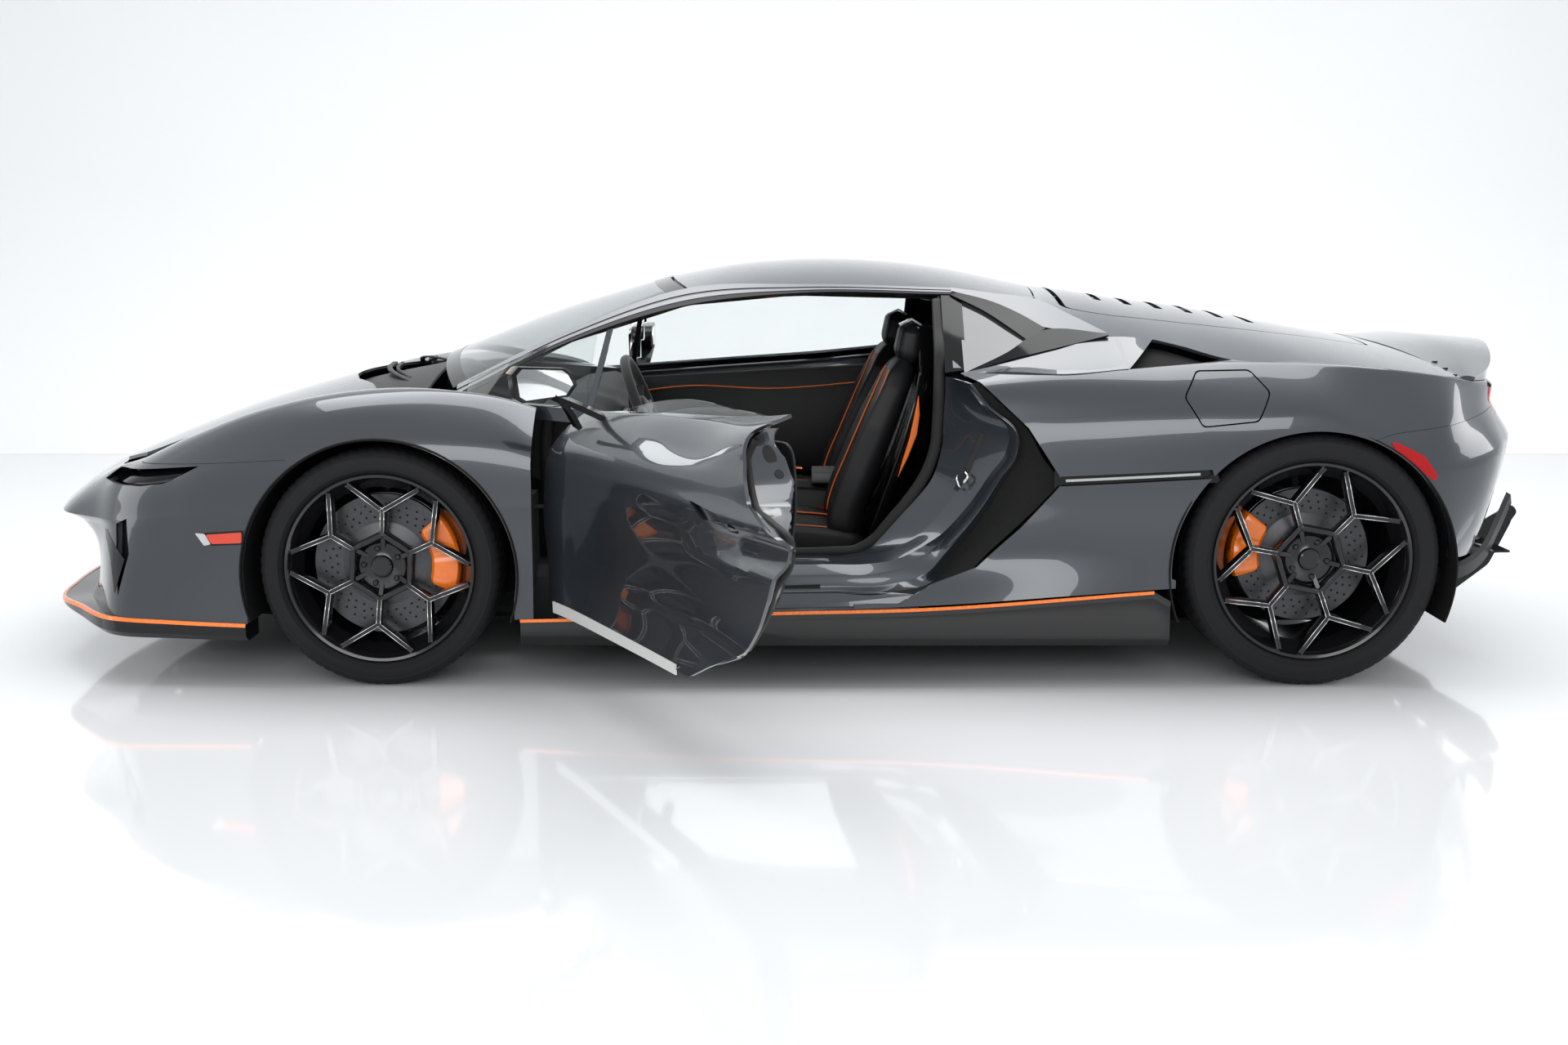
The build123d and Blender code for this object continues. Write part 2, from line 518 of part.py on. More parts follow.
# ---------------------------------------------------------------- sills, flanks and tail
# Columns: x, lowest z, |y| and z of the lower edge, |y| and z of the top edge.
UNDERSIDE = 120.0
FLOOR_THICKNESS = 8.0
SILL_INNER = 870.0
SKIRT = [
    (front(398), 120, 974, 148, 976, 196), (front(613), 120, 984, 155, 986, 203),
    (front(1130), 120, 988, 160, 990, 221), (rear(-1132), 120, 988, 156, 990, 231),
    (rear(-451), 120, 984, 148, 988, 281), (rear(-402), 120, 984, 146, 984, 252),
]
skirt = ruled([[(x, -SILL_INNER, low), (x, -(y0 - 10), low), (x, -y0, z0), (x, -y1, z1 - SEAM),
                (x, -(y1 - 30), z1 - SEAM), (x, -SILL_INNER, z1 - 60)] for x, low, y0, z0, y1, z1 in SKIRT])
add_pair("side_skirts", skirt)
under_skirt_line = prism_y([(row[0], row[5]) for row in SKIRT] + [(rear(-402), 0), (front(398), 0)],
                           -SIDE_LIMIT, -600)

quarter_cut = cut(shell(FLANK[4:], SKIN), rear_arch, DOOR_SIDE, under_skirt_line)
rear_seam_below = [(rear(120), 700), (rear(212), 729), (rear(395), 752), (rear(600), 780), (rear(760), 792),
                   (rear(1000), 792), (rear(1000), 100), (rear(120), 100)]
rear_seam_above = [(rear(100), 690 + SEAM), (rear(120), 700 + SEAM), (rear(212), 729 + SEAM),
                   (rear(395), 752 + SEAM), (rear(600), 780 + SEAM), (rear(760), 792 + SEAM),
                   (rear(1000), 792 + SEAM), (rear(1000), 1300), (rear(-1400), 1300), (rear(-1400), 100),
                   (rear(100), 100)]
bumper_below = prism_y(rear_seam_below, -SIDE_LIMIT, 0)
quarter_above = prism_y(rear_seam_above, -SIDE_LIMIT, 0)
SIDE_SLOT = [(rear(-721), 573), (rear(-721), 604), (rear(-356), 627), (rear(-340), 600)]
side_slot = prism_y(SIDE_SLOT, -SIDE_LIMIT, -880)
INTAKE = [(rear(-519), 902), (rear(-422), 978), (rear(-209), 927)]
intake_cut = prism_y(INTAKE, -SIDE_LIMIT, -640)
tail_full = tail_shell(SKIN)
tail_top = common(tail_full, quarter_above)
tail_low = common(tail_full, bumper_below)
rear_quarter = cut(common(quarter_cut, quarter_above), side_slot, intake_cut)
TAIL_PANEL_Y = 652.0
corner = tail_top - block(rear(300), rear(1000), -TAIL_PANEL_Y, TAIL_PANEL_Y, 0, 1300)
rear_quarter = rear_quarter + corner
tail_panel_half = common(tail_top, block(rear(300), rear(1000), -TAIL_PANEL_Y + SEAM, 0, 0, 1300))
rear_bumper_half = common(quarter_cut, bumper_below) + tail_low
rear_bumper = rear_bumper_half + mirrored(rear_bumper_half)
tail_panel = tail_panel_half + mirrored(tail_panel_half)
LAMP_HEX = [(-690, 800), (-655, 832), (-540, 836), (-500, 806), (-535, 762), (-660, 757)]
lamp_hole = prism_x(grown(LAMP_HEX, SEAM), rear(300), rear(1000))
tail_panel = cut(tail_panel, lamp_hole, mirrored(lamp_hole))
rear_quarter = rear_quarter - lamp_hole
rear_bumper = cut(rear_bumper, lamp_hole, mirrored(lamp_hole))
PLATE_X, PLATE_LOW, PLATE_HIGH, PLATE_HALF = rear(800), 502.0, 654.0, 162.0
plinth = prism_y([(rear(700), PLATE_LOW), (PLATE_X, PLATE_LOW), (PLATE_X, PLATE_HIGH), (rear(778), PLATE_HIGH)],
                 -PLATE_HALF, PLATE_HALF)
PLATE_Z = (PLATE_LOW + PLATE_HIGH) / 2
rear_bumper = rear_bumper + plinth
for side_y in (-0.5, 0.5):
    for side_z in (-0.5, 0.5):
        rear_bumper -= Solid.make_cylinder(PLATE_HOLE_RADIUS, PLATE_HOLE_DEPTH, Plane(
            origin=(PLATE_X, side_y * PLATE_HOLE_X, PLATE_Z + side_z * PLATE_HOLE_Z), z_dir=(-1, 0, 0)))
EXHAUST_Y, EXHAUST_Z, EXHAUST_RADIUS, EXHAUST_WALL, EXHAUST_TIP = 130.0, 402.0, 42.0, 3.0, rear(712)


def tube_x(radius, low, high, y, z):
    """A cylinder lying along X."""
    return Solid.make_cylinder(radius, high - low, Plane(origin=(low, y, z), z_dir=(1, 0, 0)))


for side_y in (-EXHAUST_Y, EXHAUST_Y):
    rear_bumper -= tube_x(EXHAUST_RADIUS + SEAT_GAP, rear(600), rear(760), side_y, EXHAUST_Z)
tail_lamp = common(prism_x(LAMP_HEX, rear(400), rear(1000)), tail_shell(60, skip=-16))
add_pair("rear_quarters", rear_quarter)
add("rear_bumper", rear_bumper)
add("tail_panel", tail_panel)
add_pair("tail_lamps", tail_lamp)

# ---------------------------------------------------------------- roof, pillars and fixed glass
BULKHEAD_X, REAR_WALL_X, WALL_TOP = front(350), rear(-780), 846.0
# Roof frame: A-pillar, cant rail and B-pillar top.  Columns: x, seal |y| and z, top |y| and z.
CANT = [
    (front(186), 716, 812, 682, 840), (front(519), 630, 974, 598, 1000), (front(862), 560, 1080, 500, 1116),
    (front(1215), 545, 1112, 524, 1130), (rear(-1002), 543, 1106, 520, 1119),
]
CANT_DEPTH = 34.0


def cant_section(station):
    x, seal_y, seal_z, top_y, top_z = station
    return [(x, -seal_y, seal_z), (x, -top_y, top_z), (x, -top_y + 26, top_z - CANT_DEPTH),
            (x, -seal_y + 36, seal_z - 12)]


cant_rail = ruled([cant_section(station) for station in CANT])


def leaning_bar(rows, depth):
    """A bar of four-sided sections; each row gives x of both sides, |y| of the outer face and z."""
    return ruled([[(x0, -y, z), (x1, -y, z), (x1, -y + depth, z), (x0, -y + depth, z)]
                  for x0, x1, y, z in rows])


pillar_b = leaning_bar([(PILLAR_B, PILLAR_B + 40, y, z) for y, z in ((698, 150.3), (698, 846), (750, 897),
                                                                      (545, 1102))], 40)
divider = leaning_bar([(DIVIDER_FOOT - 9, DIVIDER_FOOT + 9, 782, 760), (DIVIDER_TOP - 9, DIVIDER_TOP + 9, 606, 1006)],
                      20)
quarter_sill = ruled([[(x, -y, z), (x, -y, z - 40), (x, -y + 50, z - 40), (x, -y + 50, z)]
                      for x, y, z in ((front(200), 744, 806), (DIVIDER_FOOT + 9, 786, 776))])
SCUTTLE_Z = 762.0
scuttle = block(front(290), BULKHEAD_X, -722, 0, SCUTTLE_Z - 60, SCUTTLE_Z)
stay = ruled([[(rear(-1040), -522, 1052), (rear(-1040), -522, 1098), (rear(-1040), -490, 1098), (rear(-1040), -490, 1052)],
              [(rear(-770), -520, 990), (rear(-770), -520, 1020), (rear(-770), -470, 1020), (rear(-770), -470, 990)]])
frame_half = cant_rail + pillar_b + divider + quarter_sill + scuttle + stay
LID_HINGE_X, LID_HINGE_Z, LID_HINGE_Y = rear(-735), 1066.0, 150.0
HINGE_PIN = 6.0
HEADER_Z = (990.0, 1016.0)
rear_header = block(rear(-800), rear(-760), -500, 500, *HEADER_Z)
frame = frame_half + mirrored(frame_half) + rear_header
for side in (-1, 1):
    for y in (-20, 14):
        frame += prism_y([(rear(-795), HEADER_Z[0]), (rear(-765), HEADER_Z[0]), (LID_HINGE_X + 12, LID_HINGE_Z - 12),
                          (LID_HINGE_X + 12, LID_HINGE_Z + 10), (LID_HINGE_X - 14, LID_HINGE_Z + 10)],
                         side * LID_HINGE_Y + y, side * LID_HINGE_Y + y + 6)
    frame += drum(HINGE_PIN, side * LID_HINGE_Y - 20, side * LID_HINGE_Y + 20, LID_HINGE_X, LID_HINGE_Z)
add("roof_frame", frame)

ROOF = [
    (front(866), 494, 1117, front(790), 1146), (front(1030), 510, 1127, front(1000), 1183),
    (front(1215), 522, 1131, front(1215), HEIGHT), (rear(-1205), 521, 1127, rear(-1205), 1195),
    (rear(-1011), 517, 1120, rear(-1011), 1174), (rear(-745), 486, 1087, rear(-722), 1117),
]
roof = largest(arched(ROOF, LID_THICKNESS) - frame)
add("roof", roof)
windscreen = largest(cut(windscreen_sheet, frame, roof))
add("windscreen", windscreen)

# C-pillar panel between the rear quarter glass and the deck
C_PILLAR = [
    [(rear(-1000), 543, 1108), (rear(-1000), 520, 1120), (rear(-1000), 500, 1106), (rear(-1000), 523, 1092)],
    [(rear(-745), 622, 1010), (rear(-745), 490, 1085), (rear(-745), 480, 1062), (rear(-745), 612, 990)],
    [(rear(-560), 698, 988), (rear(-560), 690, 994), (rear(-560), 682, 982), (rear(-560), 690, 976)],
]
c_pillar = largest(cut(ruled([[(x, -y, z) for x, y, z in row] for row in C_PILLAR]), roof, frame))

QUARTER_GLASS = [(PILLAR_B + 40, 880), (PILLAR_B + 40, 1100), (rear(-800), 968), (rear(-960), 884)]
rear_quarter_glass = common(pane_sheet(-0.1, 1.1), prism_y(QUARTER_GLASS, -SIDE_LIMIT, 0))
FRONT_QUARTER_GLASS = [(front(210), 812), (DIVIDER_FOOT - 12, 784), (DIVIDER_TOP - 10, 1200), (front(300), 1200)]
front_quarter_glass = common(pane_sheet(0.02, 1.05), prism_y(FRONT_QUARTER_GLASS, -SIDE_LIMIT, 0))
front_quarter_glass = largest(front_quarter_glass - frame)
rear_quarter_glass = largest(cut(rear_quarter_glass, frame, c_pillar, rear_quarter))
add_pair("quarter_windows", front_quarter_glass, rear_quarter_glass)

rear_window = ruled([[(x, -430, z), (x, 430, z), (x + GLASS, 430, z), (x + GLASS, -430, z)] for x, z in (
    (REAR_WALL_X, WALL_TOP + SEAT_GAP), (REAR_WALL_X - 50, 1080))])
add("rear_window", rear_window)

# ---------------------------------------------------------------- rear deck, engine cover, spoiler
# The deck's sides follow the flank's inner edge; its middle line, x and z, by station.
DECK_MIDDLE = [(rear(-540), 1092), (rear(-420), 1073), (rear(-209), 1046), (rear(0), 1010), (rear(212), 972),
               (rear(395), 942)]
DECK = [(rear(-738), 482, 1084, rear(-715), 1113)]
for (x, _, _, rails), (x_mid, z_mid) in zip(FLANK[6:], DECK_MIDDLE):
    DECK.append((x, rails[-1][0] - SEAM, rails[-1][1], x_mid, z_mid))
DECK.append((rear(470), 770, 869, rear(520), 928))
# Kink line across the deck: |y| and distance behind the rear axle.
KINK_LINE = [(0, 371), (300, 390), (600, 425), (760, 453)]
KINK = ([(rear(x), -y) for y, x in KINK_LINE] + [(rear(2000), -1200), (rear(2000), 1200)]
        + [(rear(x), y) for y, x in KINK_LINE[:0:-1]])
LID = [(rear(-640), 0), (rear(-640), -455), (rear(-500), -480), (rear(0), -470), (rear(300), -420),
       (rear(330), 0), (rear(300), 420), (rear(0), 470), (rear(-500), 480), (rear(-640), 455)]
LID_FRONT_GAP, LID_REAR_GAP = 12.0, 2.0
# The lid's hinge arms dip below the deck's edge and come up again at the axis, (x, z) from the axis.
LID_ARM = [(6, 5), (-6, -5), (66, -92), (79, -91), (136, 14), (122, 22), (71, -75)]
deck_sheet = arched(DECK, LID_THICKNESS) - prism_z(KINK, 600, 1300)
engine_cover = common(deck_sheet, prism_z(LID, 600, 1300))
LID_HOLE = [(x - LID_FRONT_GAP if x < rear(-600) else x + LID_REAR_GAP if x > rear(250) else x, y) for x, y in LID]
deck = deck_sheet - prism_z(grown(LID_HOLE, PANEL_GAP), 600, 1300)
for side in (-1, 1):
    y0 = side * LID_HINGE_Y - 10
    lug = prism_y([(LID_HINGE_X + x, LID_HINGE_Z + z) for x, z in LID_ARM], y0, y0 + 20)
    lug += drum(13, y0, y0 + 20, LID_HINGE_X, LID_HINGE_Z)
    engine_cover += lug - drum(HINGE_PIN + RUNNING, y0 - 1, y0 + 21, LID_HINGE_X, LID_HINGE_Z)
add("engine_cover", engine_cover)
add("rear_deck", largest(cut(deck, c_pillar, mirrored(c_pillar), rear_quarter, mirrored(rear_quarter))))

# Ducktail.  Rows at the kink line's |y|: z of the kink, then x and z of the crest, trailing edge, rear foot
# and underside, and z of the kink's lower edge.
DUCKTAIL = [
    (946, 560, 952, 790, 938, 705, 855.8, 640, 924), (937, 560, 944, 725, 925, 672, 853.6, 600, 915),
    (905, 520, 904, 608, 884, 604, 851.2, 560, 884), (876, 480, 875, 512, 871, 508, 862, 490, 866),
]
ducktail_rows = []
for (y, kink_x), (z0, x1, z1, x2, z2, x3, z3, x4, z5) in zip(KINK_LINE, DUCKTAIL):
    points = ((kink_x + SEAM, z0), (x1, z1), (x2, z2), (x3, z3), (x4, z3), (kink_x + SEAM, z5))
    ducktail_rows.append([(rear(x), -y, z) for x, z in points])
spoiler_half = ruled(ducktail_rows)
spoiler = spoiler_half + mirrored(spoiler_half)
add("spoiler", spoiler)

# ---------------------------------------------------------------- underfloor and diffuser
FLOOR_HALF = SILL_INNER - SEAT_GAP
FLOOR_NOSE = front(-690)
floor = prism_z([(FLOOR_NOSE, -540), (front(-420), -560), (front(400), -600), (front(420), -FLOOR_HALF),
                 (rear(-420), -FLOOR_HALF), (rear(-405), -640), (rear(395), -640), (rear(395), 640),
                 (rear(-405), 640), (rear(-420), FLOOR_HALF), (front(420), FLOOR_HALF), (front(400), 600),
                 (front(-420), 560), (FLOOR_NOSE, 540)], UNDERSIDE, UNDERSIDE + FLOOR_THICKNESS)
floor += prism_y([(FLOOR_NOSE, UNDERSIDE), (FLOOR_NOSE, UNDERSIDE + FLOOR_THICKNESS), (front(-880), 166),
                  (front(-880), 158)], -480, 480) - splitter
JACK_PAD_RADIUS, JACK_PAD_DROP, JACK_PAD_Y = 32.0, 8.0, 760.0
for pad_x in (front(560), rear(-560)):
    for pad_y in (-JACK_PAD_Y, JACK_PAD_Y):
        floor += post(JACK_PAD_RADIUS, pad_x, pad_y, UNDERSIDE - JACK_PAD_DROP, UNDERSIDE)
add("underfloor", floor)

DIFFUSER_BASE = [(395, 120), (395, 132), (640, 336), (700, 336), (700, 322), (650, 322), (405, 120)]
diffuser_plate = prism_y([(rear(x), z) for x, z in DIFFUSER_BASE], -640, 640)
FIN = [(430, 140), (560, 150), (820, 300), (888, 400), (800, 400), (690, 336), (640, 330)]
fins = [prism_y([(rear(x), z) for x, z in FIN], y - 6, y + 6) for y in (-470, -260, 260, 470)]
diffuser = diffuser_plate
for fin in fins:
    diffuser = diffuser + fin
add("diffuser", diffuser)

# ---------------------------------------------------------------- structure: tub, frames, bulkheads
RAIL_IN, RAIL_OUT = 300.0, 360.0
REAR_RAIL = (452.0, 520.0)
ENGINE_HALF = 250.0
TUB_FLOOR = UNDERSIDE + FLOOR_THICKNESS
TUB_HALF = SILL_INNER - SEAT_GAP
TUB_TOP = 150.0
tub = block(BULKHEAD_X, front(410), -525, 525, TUB_FLOOR, TUB_TOP)
tub += block(front(410), REAR_WALL_X, -TUB_HALF, TUB_HALF, TUB_FLOOR, TUB_TOP)
tub += block(BULKHEAD_X - 20, BULKHEAD_X, -525, 525, TUB_FLOOR, SCUTTLE_Z - 60 - SEAT_GAP)
tub += block(REAR_WALL_X, REAR_WALL_X + 20, -700, 700, TUB_FLOOR, WALL_TOP)
tub += block(front(-940), front(-900), -520, 520, 320, 390)
tub += block(rear(560), rear(600), -400, 400, *REAR_RAIL)
for side in (-1, 1):
    tub += prism_x([(side * 700, 140), (side * TUB_HALF, 140), (side * TUB_HALF, 300), (side * 830, 330),
                    (side * 720, 330)], front(410), REAR_WALL_X)
    low, high = sorted((side * RAIL_IN, side * RAIL_OUT))
    tub += block(front(-900), BULKHEAD_X, low, high, 200, 320)
    tub += block(front(-940), front(-900), low, high, 200, 330)
    tub += block(front(-170), front(170), low, high, 165, 520)
    tub += block(REAR_WALL_X, rear(560), low, high, *REAR_RAIL)
    inner, outer = sorted((side * (ENGINE_HALF + SEAT_GAP), side * RAIL_IN))
    tub += block(rear(-420), rear(-340), inner, outer, *REAR_RAIL)
    tub += block(rear(-190), rear(190), low, high, 180, 545)
    tower = block(front(-52), front(-28), low, high, 500, 840) - cowl
    tub += min(tower.solids(), key=lambda solid: solid.center().Z)
for bracket in bonnet_frame:
    tub += bracket
tub = cut(tub + hinge_ears + mirrored(hinge_ears), front_wing, mirrored(front_wing))
socket_x = front(-940)
tow_boss = Solid.make_cylinder(20, 60, Plane(origin=(socket_x - 30, -330, 360), z_dir=(1, 0, 0)))
tow_hole = Solid.make_cylinder(TOW_SOCKET_RADIUS, TOW_SOCKET_DEPTH,
                               Plane(origin=(socket_x - 30, -330, 360), z_dir=(1, 0, 0)))
tub = tub + tow_boss - tow_hole
add("tub", tub)

LUGGAGE_HALF = RAIL_IN - SEAT_GAP
luggage = block(front(-560), front(60), -LUGGAGE_HALF, LUGGAGE_HALF, 240, 660)
luggage -= block(front(-548), front(48), -LUGGAGE_HALF + 12, LUGGAGE_HALF - 12, 252, 800)
add("luggage_tub", luggage)

ENGINE_REAR = rear(380)
engine = block(REAR_WALL_X + 20 + SEAT_GAP, rear(-100), -ENGINE_HALF, ENGINE_HALF, 200, 760)
engine += block(rear(-100), ENGINE_REAR, -190, 190, 200, 560)
add("engine_block", engine)
add_pair("exhaust_pipes", tube_x(EXHAUST_RADIUS, ENGINE_REAR + SEAT_GAP, EXHAUST_TIP, -EXHAUST_Y, EXHAUST_Z)
         - tube_x(EXHAUST_RADIUS - EXHAUST_WALL, ENGINE_REAR + 40, EXHAUST_TIP + 1, -EXHAUST_Y, EXHAUST_Z))

# ---------------------------------------------------------------- wheel arch liners
LINER = 4.0


def liner(axle_x, centre_z, radius, y_out, y_in):
    """Half a drum round a wheel, open outward and downward, with its inner wall."""
    tube = drum(radius + LINER, -y_out, -y_in, axle_x, centre_z)
    tube -= drum(radius, -y_out - 1, -y_in - LINER, axle_x, centre_z)
    return tube - block(axle_x - 900, axle_x + 900, -1200, 0, -200, 190)


front_liner = liner(FRONT_AXLE_X, FRONT_ARCH_Z, FRONT_ARCH_RADIUS + 4, 990, 545)
rear_liner = liner(REAR_AXLE_X, REAR_ARCH_Z, REAR_ARCH_RADIUS + 4, 990, 640)

# ---------------------------------------------------------------- wheels, discs, hubs and arms


def wheel(axle_x, radius, width, flange, rim_width, disc_radius, plane_y, turn):
    """A left wheel: (rim, tyre, disc), turned round the axle line."""
    half = rim_width / 2
    seat, well = flange - 17, flange - 34

    def turned(profile):
        wire = Wire.make_polygon([Vector(axle_x + r, plane_y + y, radius) for r, y in profile], close=True)
        return Solid.revolve(Face(wire), 360, Axis((axle_x, 0, radius), (0, 1, 0)))

    barrel = turned([(flange, -half), (flange, -half + 8), (seat, -half + 14), (seat - 3, -half + 44),
                     (well, -half + 64), (well, half - 40), (seat, half - 14), (flange, half - 8),
                     (flange, half), (flange - 9, half), (seat - 10, half - 12), (well - 9, half - 42),
                     (well - 9, -half + 60), (seat - 13, -half + 40), (flange - 14, -half + 4)])
    bulge, bead = width / 2, half - 8.5
    side = [(seat + 0.4, bead - 6.2), (flange + 0.6, bead), (flange + 10, bulge - 5), (flange + 26, bulge),
            (radius - 20, bulge - 5), (radius - 8, bulge - 16), (radius, bulge - 40)]
    inner = [(radius - 16, bulge - 44), (radius - 24, bulge - 18), (flange + 22, bulge - 12),
             (flange + 2, bead - 14), (seat + 0.4, bead - 20)]
    ring = ([(r, -y) for r, y in side] + [(r, y) for r, y in side[::-1]] + [(r, y) for r, y in inner[::-1]]
            + [(r, -y) for r, y in inner])
    tyre = turned(ring)
    hub_face = -44.0
    rim = barrel + turned([(SPINDLE_RADIUS + RUNNING, hub_face), (SPINDLE_RADIUS + RUNNING, hub_face - 22),
                           (HUB_RADIUS, hub_face - 22), (HUB_RADIUS, hub_face)])
    within_barrel = drum(seat - 5, plane_y - half, plane_y + half, axle_x, radius)
    for k in range(SPOKES):
        rim += common(spoke(axle_x, radius, plane_y, turn + k * 360 / SPOKES, flange, half, hub_face), within_barrel)
    low, high = DISC_OFFSET - DISC_THICKNESS / 2, DISC_OFFSET + DISC_THICKNESS / 2
    disc = turned([(disc_radius, low), (disc_radius, high), (118, high), (118, low + 4), (82, hub_face + 8),
                   (SPINDLE_RADIUS + RUNNING, hub_face + 8), (SPINDLE_RADIUS + RUNNING, hub_face), (86, hub_face),
                   (124, low)])
    return rim, tyre, disc


def spoke(axle_x, radius, plane_y, turn, flange, half, hub_face):
    """A spoke with its share of the hub hexagon: a stem that forks into two arms, and a web behind it."""
    fork, corner, reach = flange * FORK_SHARE, flange * HEX_SHARE, flange
    stem, arm = 9.0, 8.0
    spread = reach * math.tan(math.radians(TIP_SPREAD))
    middle = corner * math.cos(math.pi / SPOKES)
    lean = math.pi / SPOKES
    inner_x = middle * math.cos(lean) - 14
    angle = math.radians(turn)

    def turned_outline(outline, low, high):
        return prism_y([(axle_x + r * math.cos(angle) - s * math.sin(angle),
                         radius + r * math.sin(angle) + s * math.cos(angle)) for r, s in outline], low, high)

    face = plane_y - half
    half_edge_x, half_edge_s = middle * math.cos(lean), middle * math.sin(lean)
    band = turned_outline([(corner + 6, 0), (half_edge_x + 6, half_edge_s + 3), (inner_x + 2, half_edge_s - 5),
                           (corner - 15, 0), (inner_x + 2, 5 - half_edge_s), (half_edge_x + 6, -half_edge_s - 3)],
                          face + 12, face + 36)
    stem_part = turned_outline([(corner - 8, -stem), (fork, -stem), (fork, stem), (corner - 8, stem)],
                               face + 8, face + 40)
    arms = turned_outline([(fork - 4, -stem), (reach, -spread - arm), (reach, -spread + arm), (fork + 20, 0),
                           (reach, spread - arm), (reach, spread + arm), (fork - 4, stem)], face + 6, face + 36)
    web = turned_outline([(HUB_RADIUS - 16, -7), (corner, -7), (corner, 7), (HUB_RADIUS - 16, 7)],
                         face + 20, plane_y + hub_face)
    return band + stem_part + arms + web


def caliper(axle_x, axle_z, plane_y, disc_radius, start, sweep):
    """A caliper astride the disc's rim, from one angle round to another, seen from the left."""
    points = []
    for k in range(6):
        angle = math.radians(start + sweep * k / 5)
        points.append((disc_radius + 16, angle))
    for k in range(6):
        angle = math.radians(start + sweep * (5 - k) / 5)
        points.append((disc_radius - 72, angle))
    outline = [(axle_x + r * math.cos(a), axle_z + r * math.sin(a)) for r, a in points]
    body = prism_y(outline, plane_y - 60, plane_y + 52)
    slot = drum(disc_radius + 5, plane_y + DISC_OFFSET - DISC_THICKNESS / 2 - 5,
                plane_y + DISC_OFFSET + DISC_THICKNESS / 2 + 5, axle_x, axle_z)
    return body - slot


def carrier(axle_x, axle_z, plane_y, pin_y, lug_angle, disc_radius):
    """Hub carrier with its spindle, the caliper's bracket and the two ball pins."""
    body = drum(66, plane_y + 34, plane_y + 84, axle_x, axle_z)
    body += drum(SPINDLE_RADIUS, plane_y - 58, plane_y + 40, axle_x, axle_z)
    body += block(axle_x - 34, axle_x + 34, plane_y + 42, plane_y + 74, axle_z - 150, axle_z + 150)
    body += post(BALL_PIN, axle_x, pin_y, axle_z - 178, axle_z - 140)
    body += post(BALL_PIN, axle_x, pin_y, axle_z + 140, axle_z + 178)
    body += block(axle_x - 30, axle_x + 30, pin_y - 16, pin_y + 22, axle_z - 152, axle_z - 140)
    body += block(axle_x - 30, axle_x + 30, pin_y - 16, pin_y + 22, axle_z + 140, axle_z + 152)
    angle = math.radians(lug_angle)
    reach = disc_radius - 20
    lug = [(axle_x + r * math.cos(angle) - s * math.sin(angle), axle_z + r * math.sin(angle) + s * math.cos(angle))
           for r, s in ((30, -30), (reach, -40), (reach, 40), (30, 30))]
    return body + prism_y(lug, plane_y + 52, plane_y + 68)


FRONT_PLANE, REAR_PLANE = -FRONT_TRACK / 2, -REAR_TRACK / 2
KINGPIN_Y = FRONT_PLANE + KINGPIN_OFFSET
FRONT_LUG, REAR_LUG = 10, 170
front_rim, front_tyre, front_disc = wheel(FRONT_AXLE_X, FRONT_TYRE_RADIUS, FRONT_TYRE_WIDTH,
                                          FRONT_FLANGE_RADIUS, FRONT_RIM_WIDTH, FRONT_DISC_RADIUS, FRONT_PLANE,
                                          FRONT_TURN)
rear_rim, rear_tyre, rear_disc = wheel(REAR_AXLE_X, REAR_TYRE_RADIUS, REAR_TYRE_WIDTH,
                                       REAR_FLANGE_RADIUS, REAR_RIM_WIDTH, REAR_DISC_RADIUS, REAR_PLANE, REAR_TURN)
for end, pieces in (("front", (front_rim, front_tyre, front_disc)), ("rear", (rear_rim, rear_tyre, rear_disc))):
    for label, piece in zip(("rim", "tyre", "disc"), pieces):
        add(f"{label}_{end}_left", piece)
        add(f"{label}_{end}_right", mirrored(piece))
front_caliper = caliper(FRONT_AXLE_X, FRONT_TYRE_RADIUS, FRONT_PLANE, FRONT_DISC_RADIUS, FRONT_LUG - 32, 64)
rear_caliper = caliper(REAR_AXLE_X, REAR_TYRE_RADIUS, REAR_PLANE, REAR_DISC_RADIUS, REAR_LUG - 28, 56)
knuckle = carrier(FRONT_AXLE_X, FRONT_TYRE_RADIUS, FRONT_PLANE, KINGPIN_Y, FRONT_LUG, FRONT_DISC_RADIUS)
rear_carrier = carrier(REAR_AXLE_X, REAR_TYRE_RADIUS, REAR_PLANE, REAR_PLANE + KINGPIN_OFFSET + 20, REAR_LUG,
                       REAR_DISC_RADIUS)
for label, piece in (("knuckle", knuckle), ("caliper_front", front_caliper)):
    add(f"{label}_left", piece)
    add(f"{label}_right", mirrored(piece))
add_pair("rear_carriers", rear_carrier)
add_pair("rear_calipers", rear_caliper)


def arm(axle_x, pin_y, z, root_y, root_z, eye_low, eye_high, spread):
    """A wishbone: an eye round the ball pin and two legs to the frame."""
    ring = post(BALL_PIN + 9, axle_x, pin_y, eye_low, eye_high)
    thick = 18
    legs = None
    for side in (-1, 1):
        tip = [(axle_x + side * 8 - 9, pin_y + 12, z), (axle_x + side * 8 + 9, pin_y + 12, z),
               (axle_x + side * 8 + 9, pin_y + 12, z + thick), (axle_x + side * 8 - 9, pin_y + 12, z + thick)]
        root = [(axle_x + side * spread - 12, root_y, root_z), (axle_x + side * spread + 12, root_y, root_z),
                (axle_x + side * spread + 12, root_y, root_z + thick),
                (axle_x + side * spread - 12, root_y, root_z + thick)]
        leg = ruled([tip, root])
        legs = leg if legs is None else legs + leg
    return (ring + legs) - post(BALL_PIN + RUNNING, axle_x, pin_y, eye_low - 1, eye_high + 1)


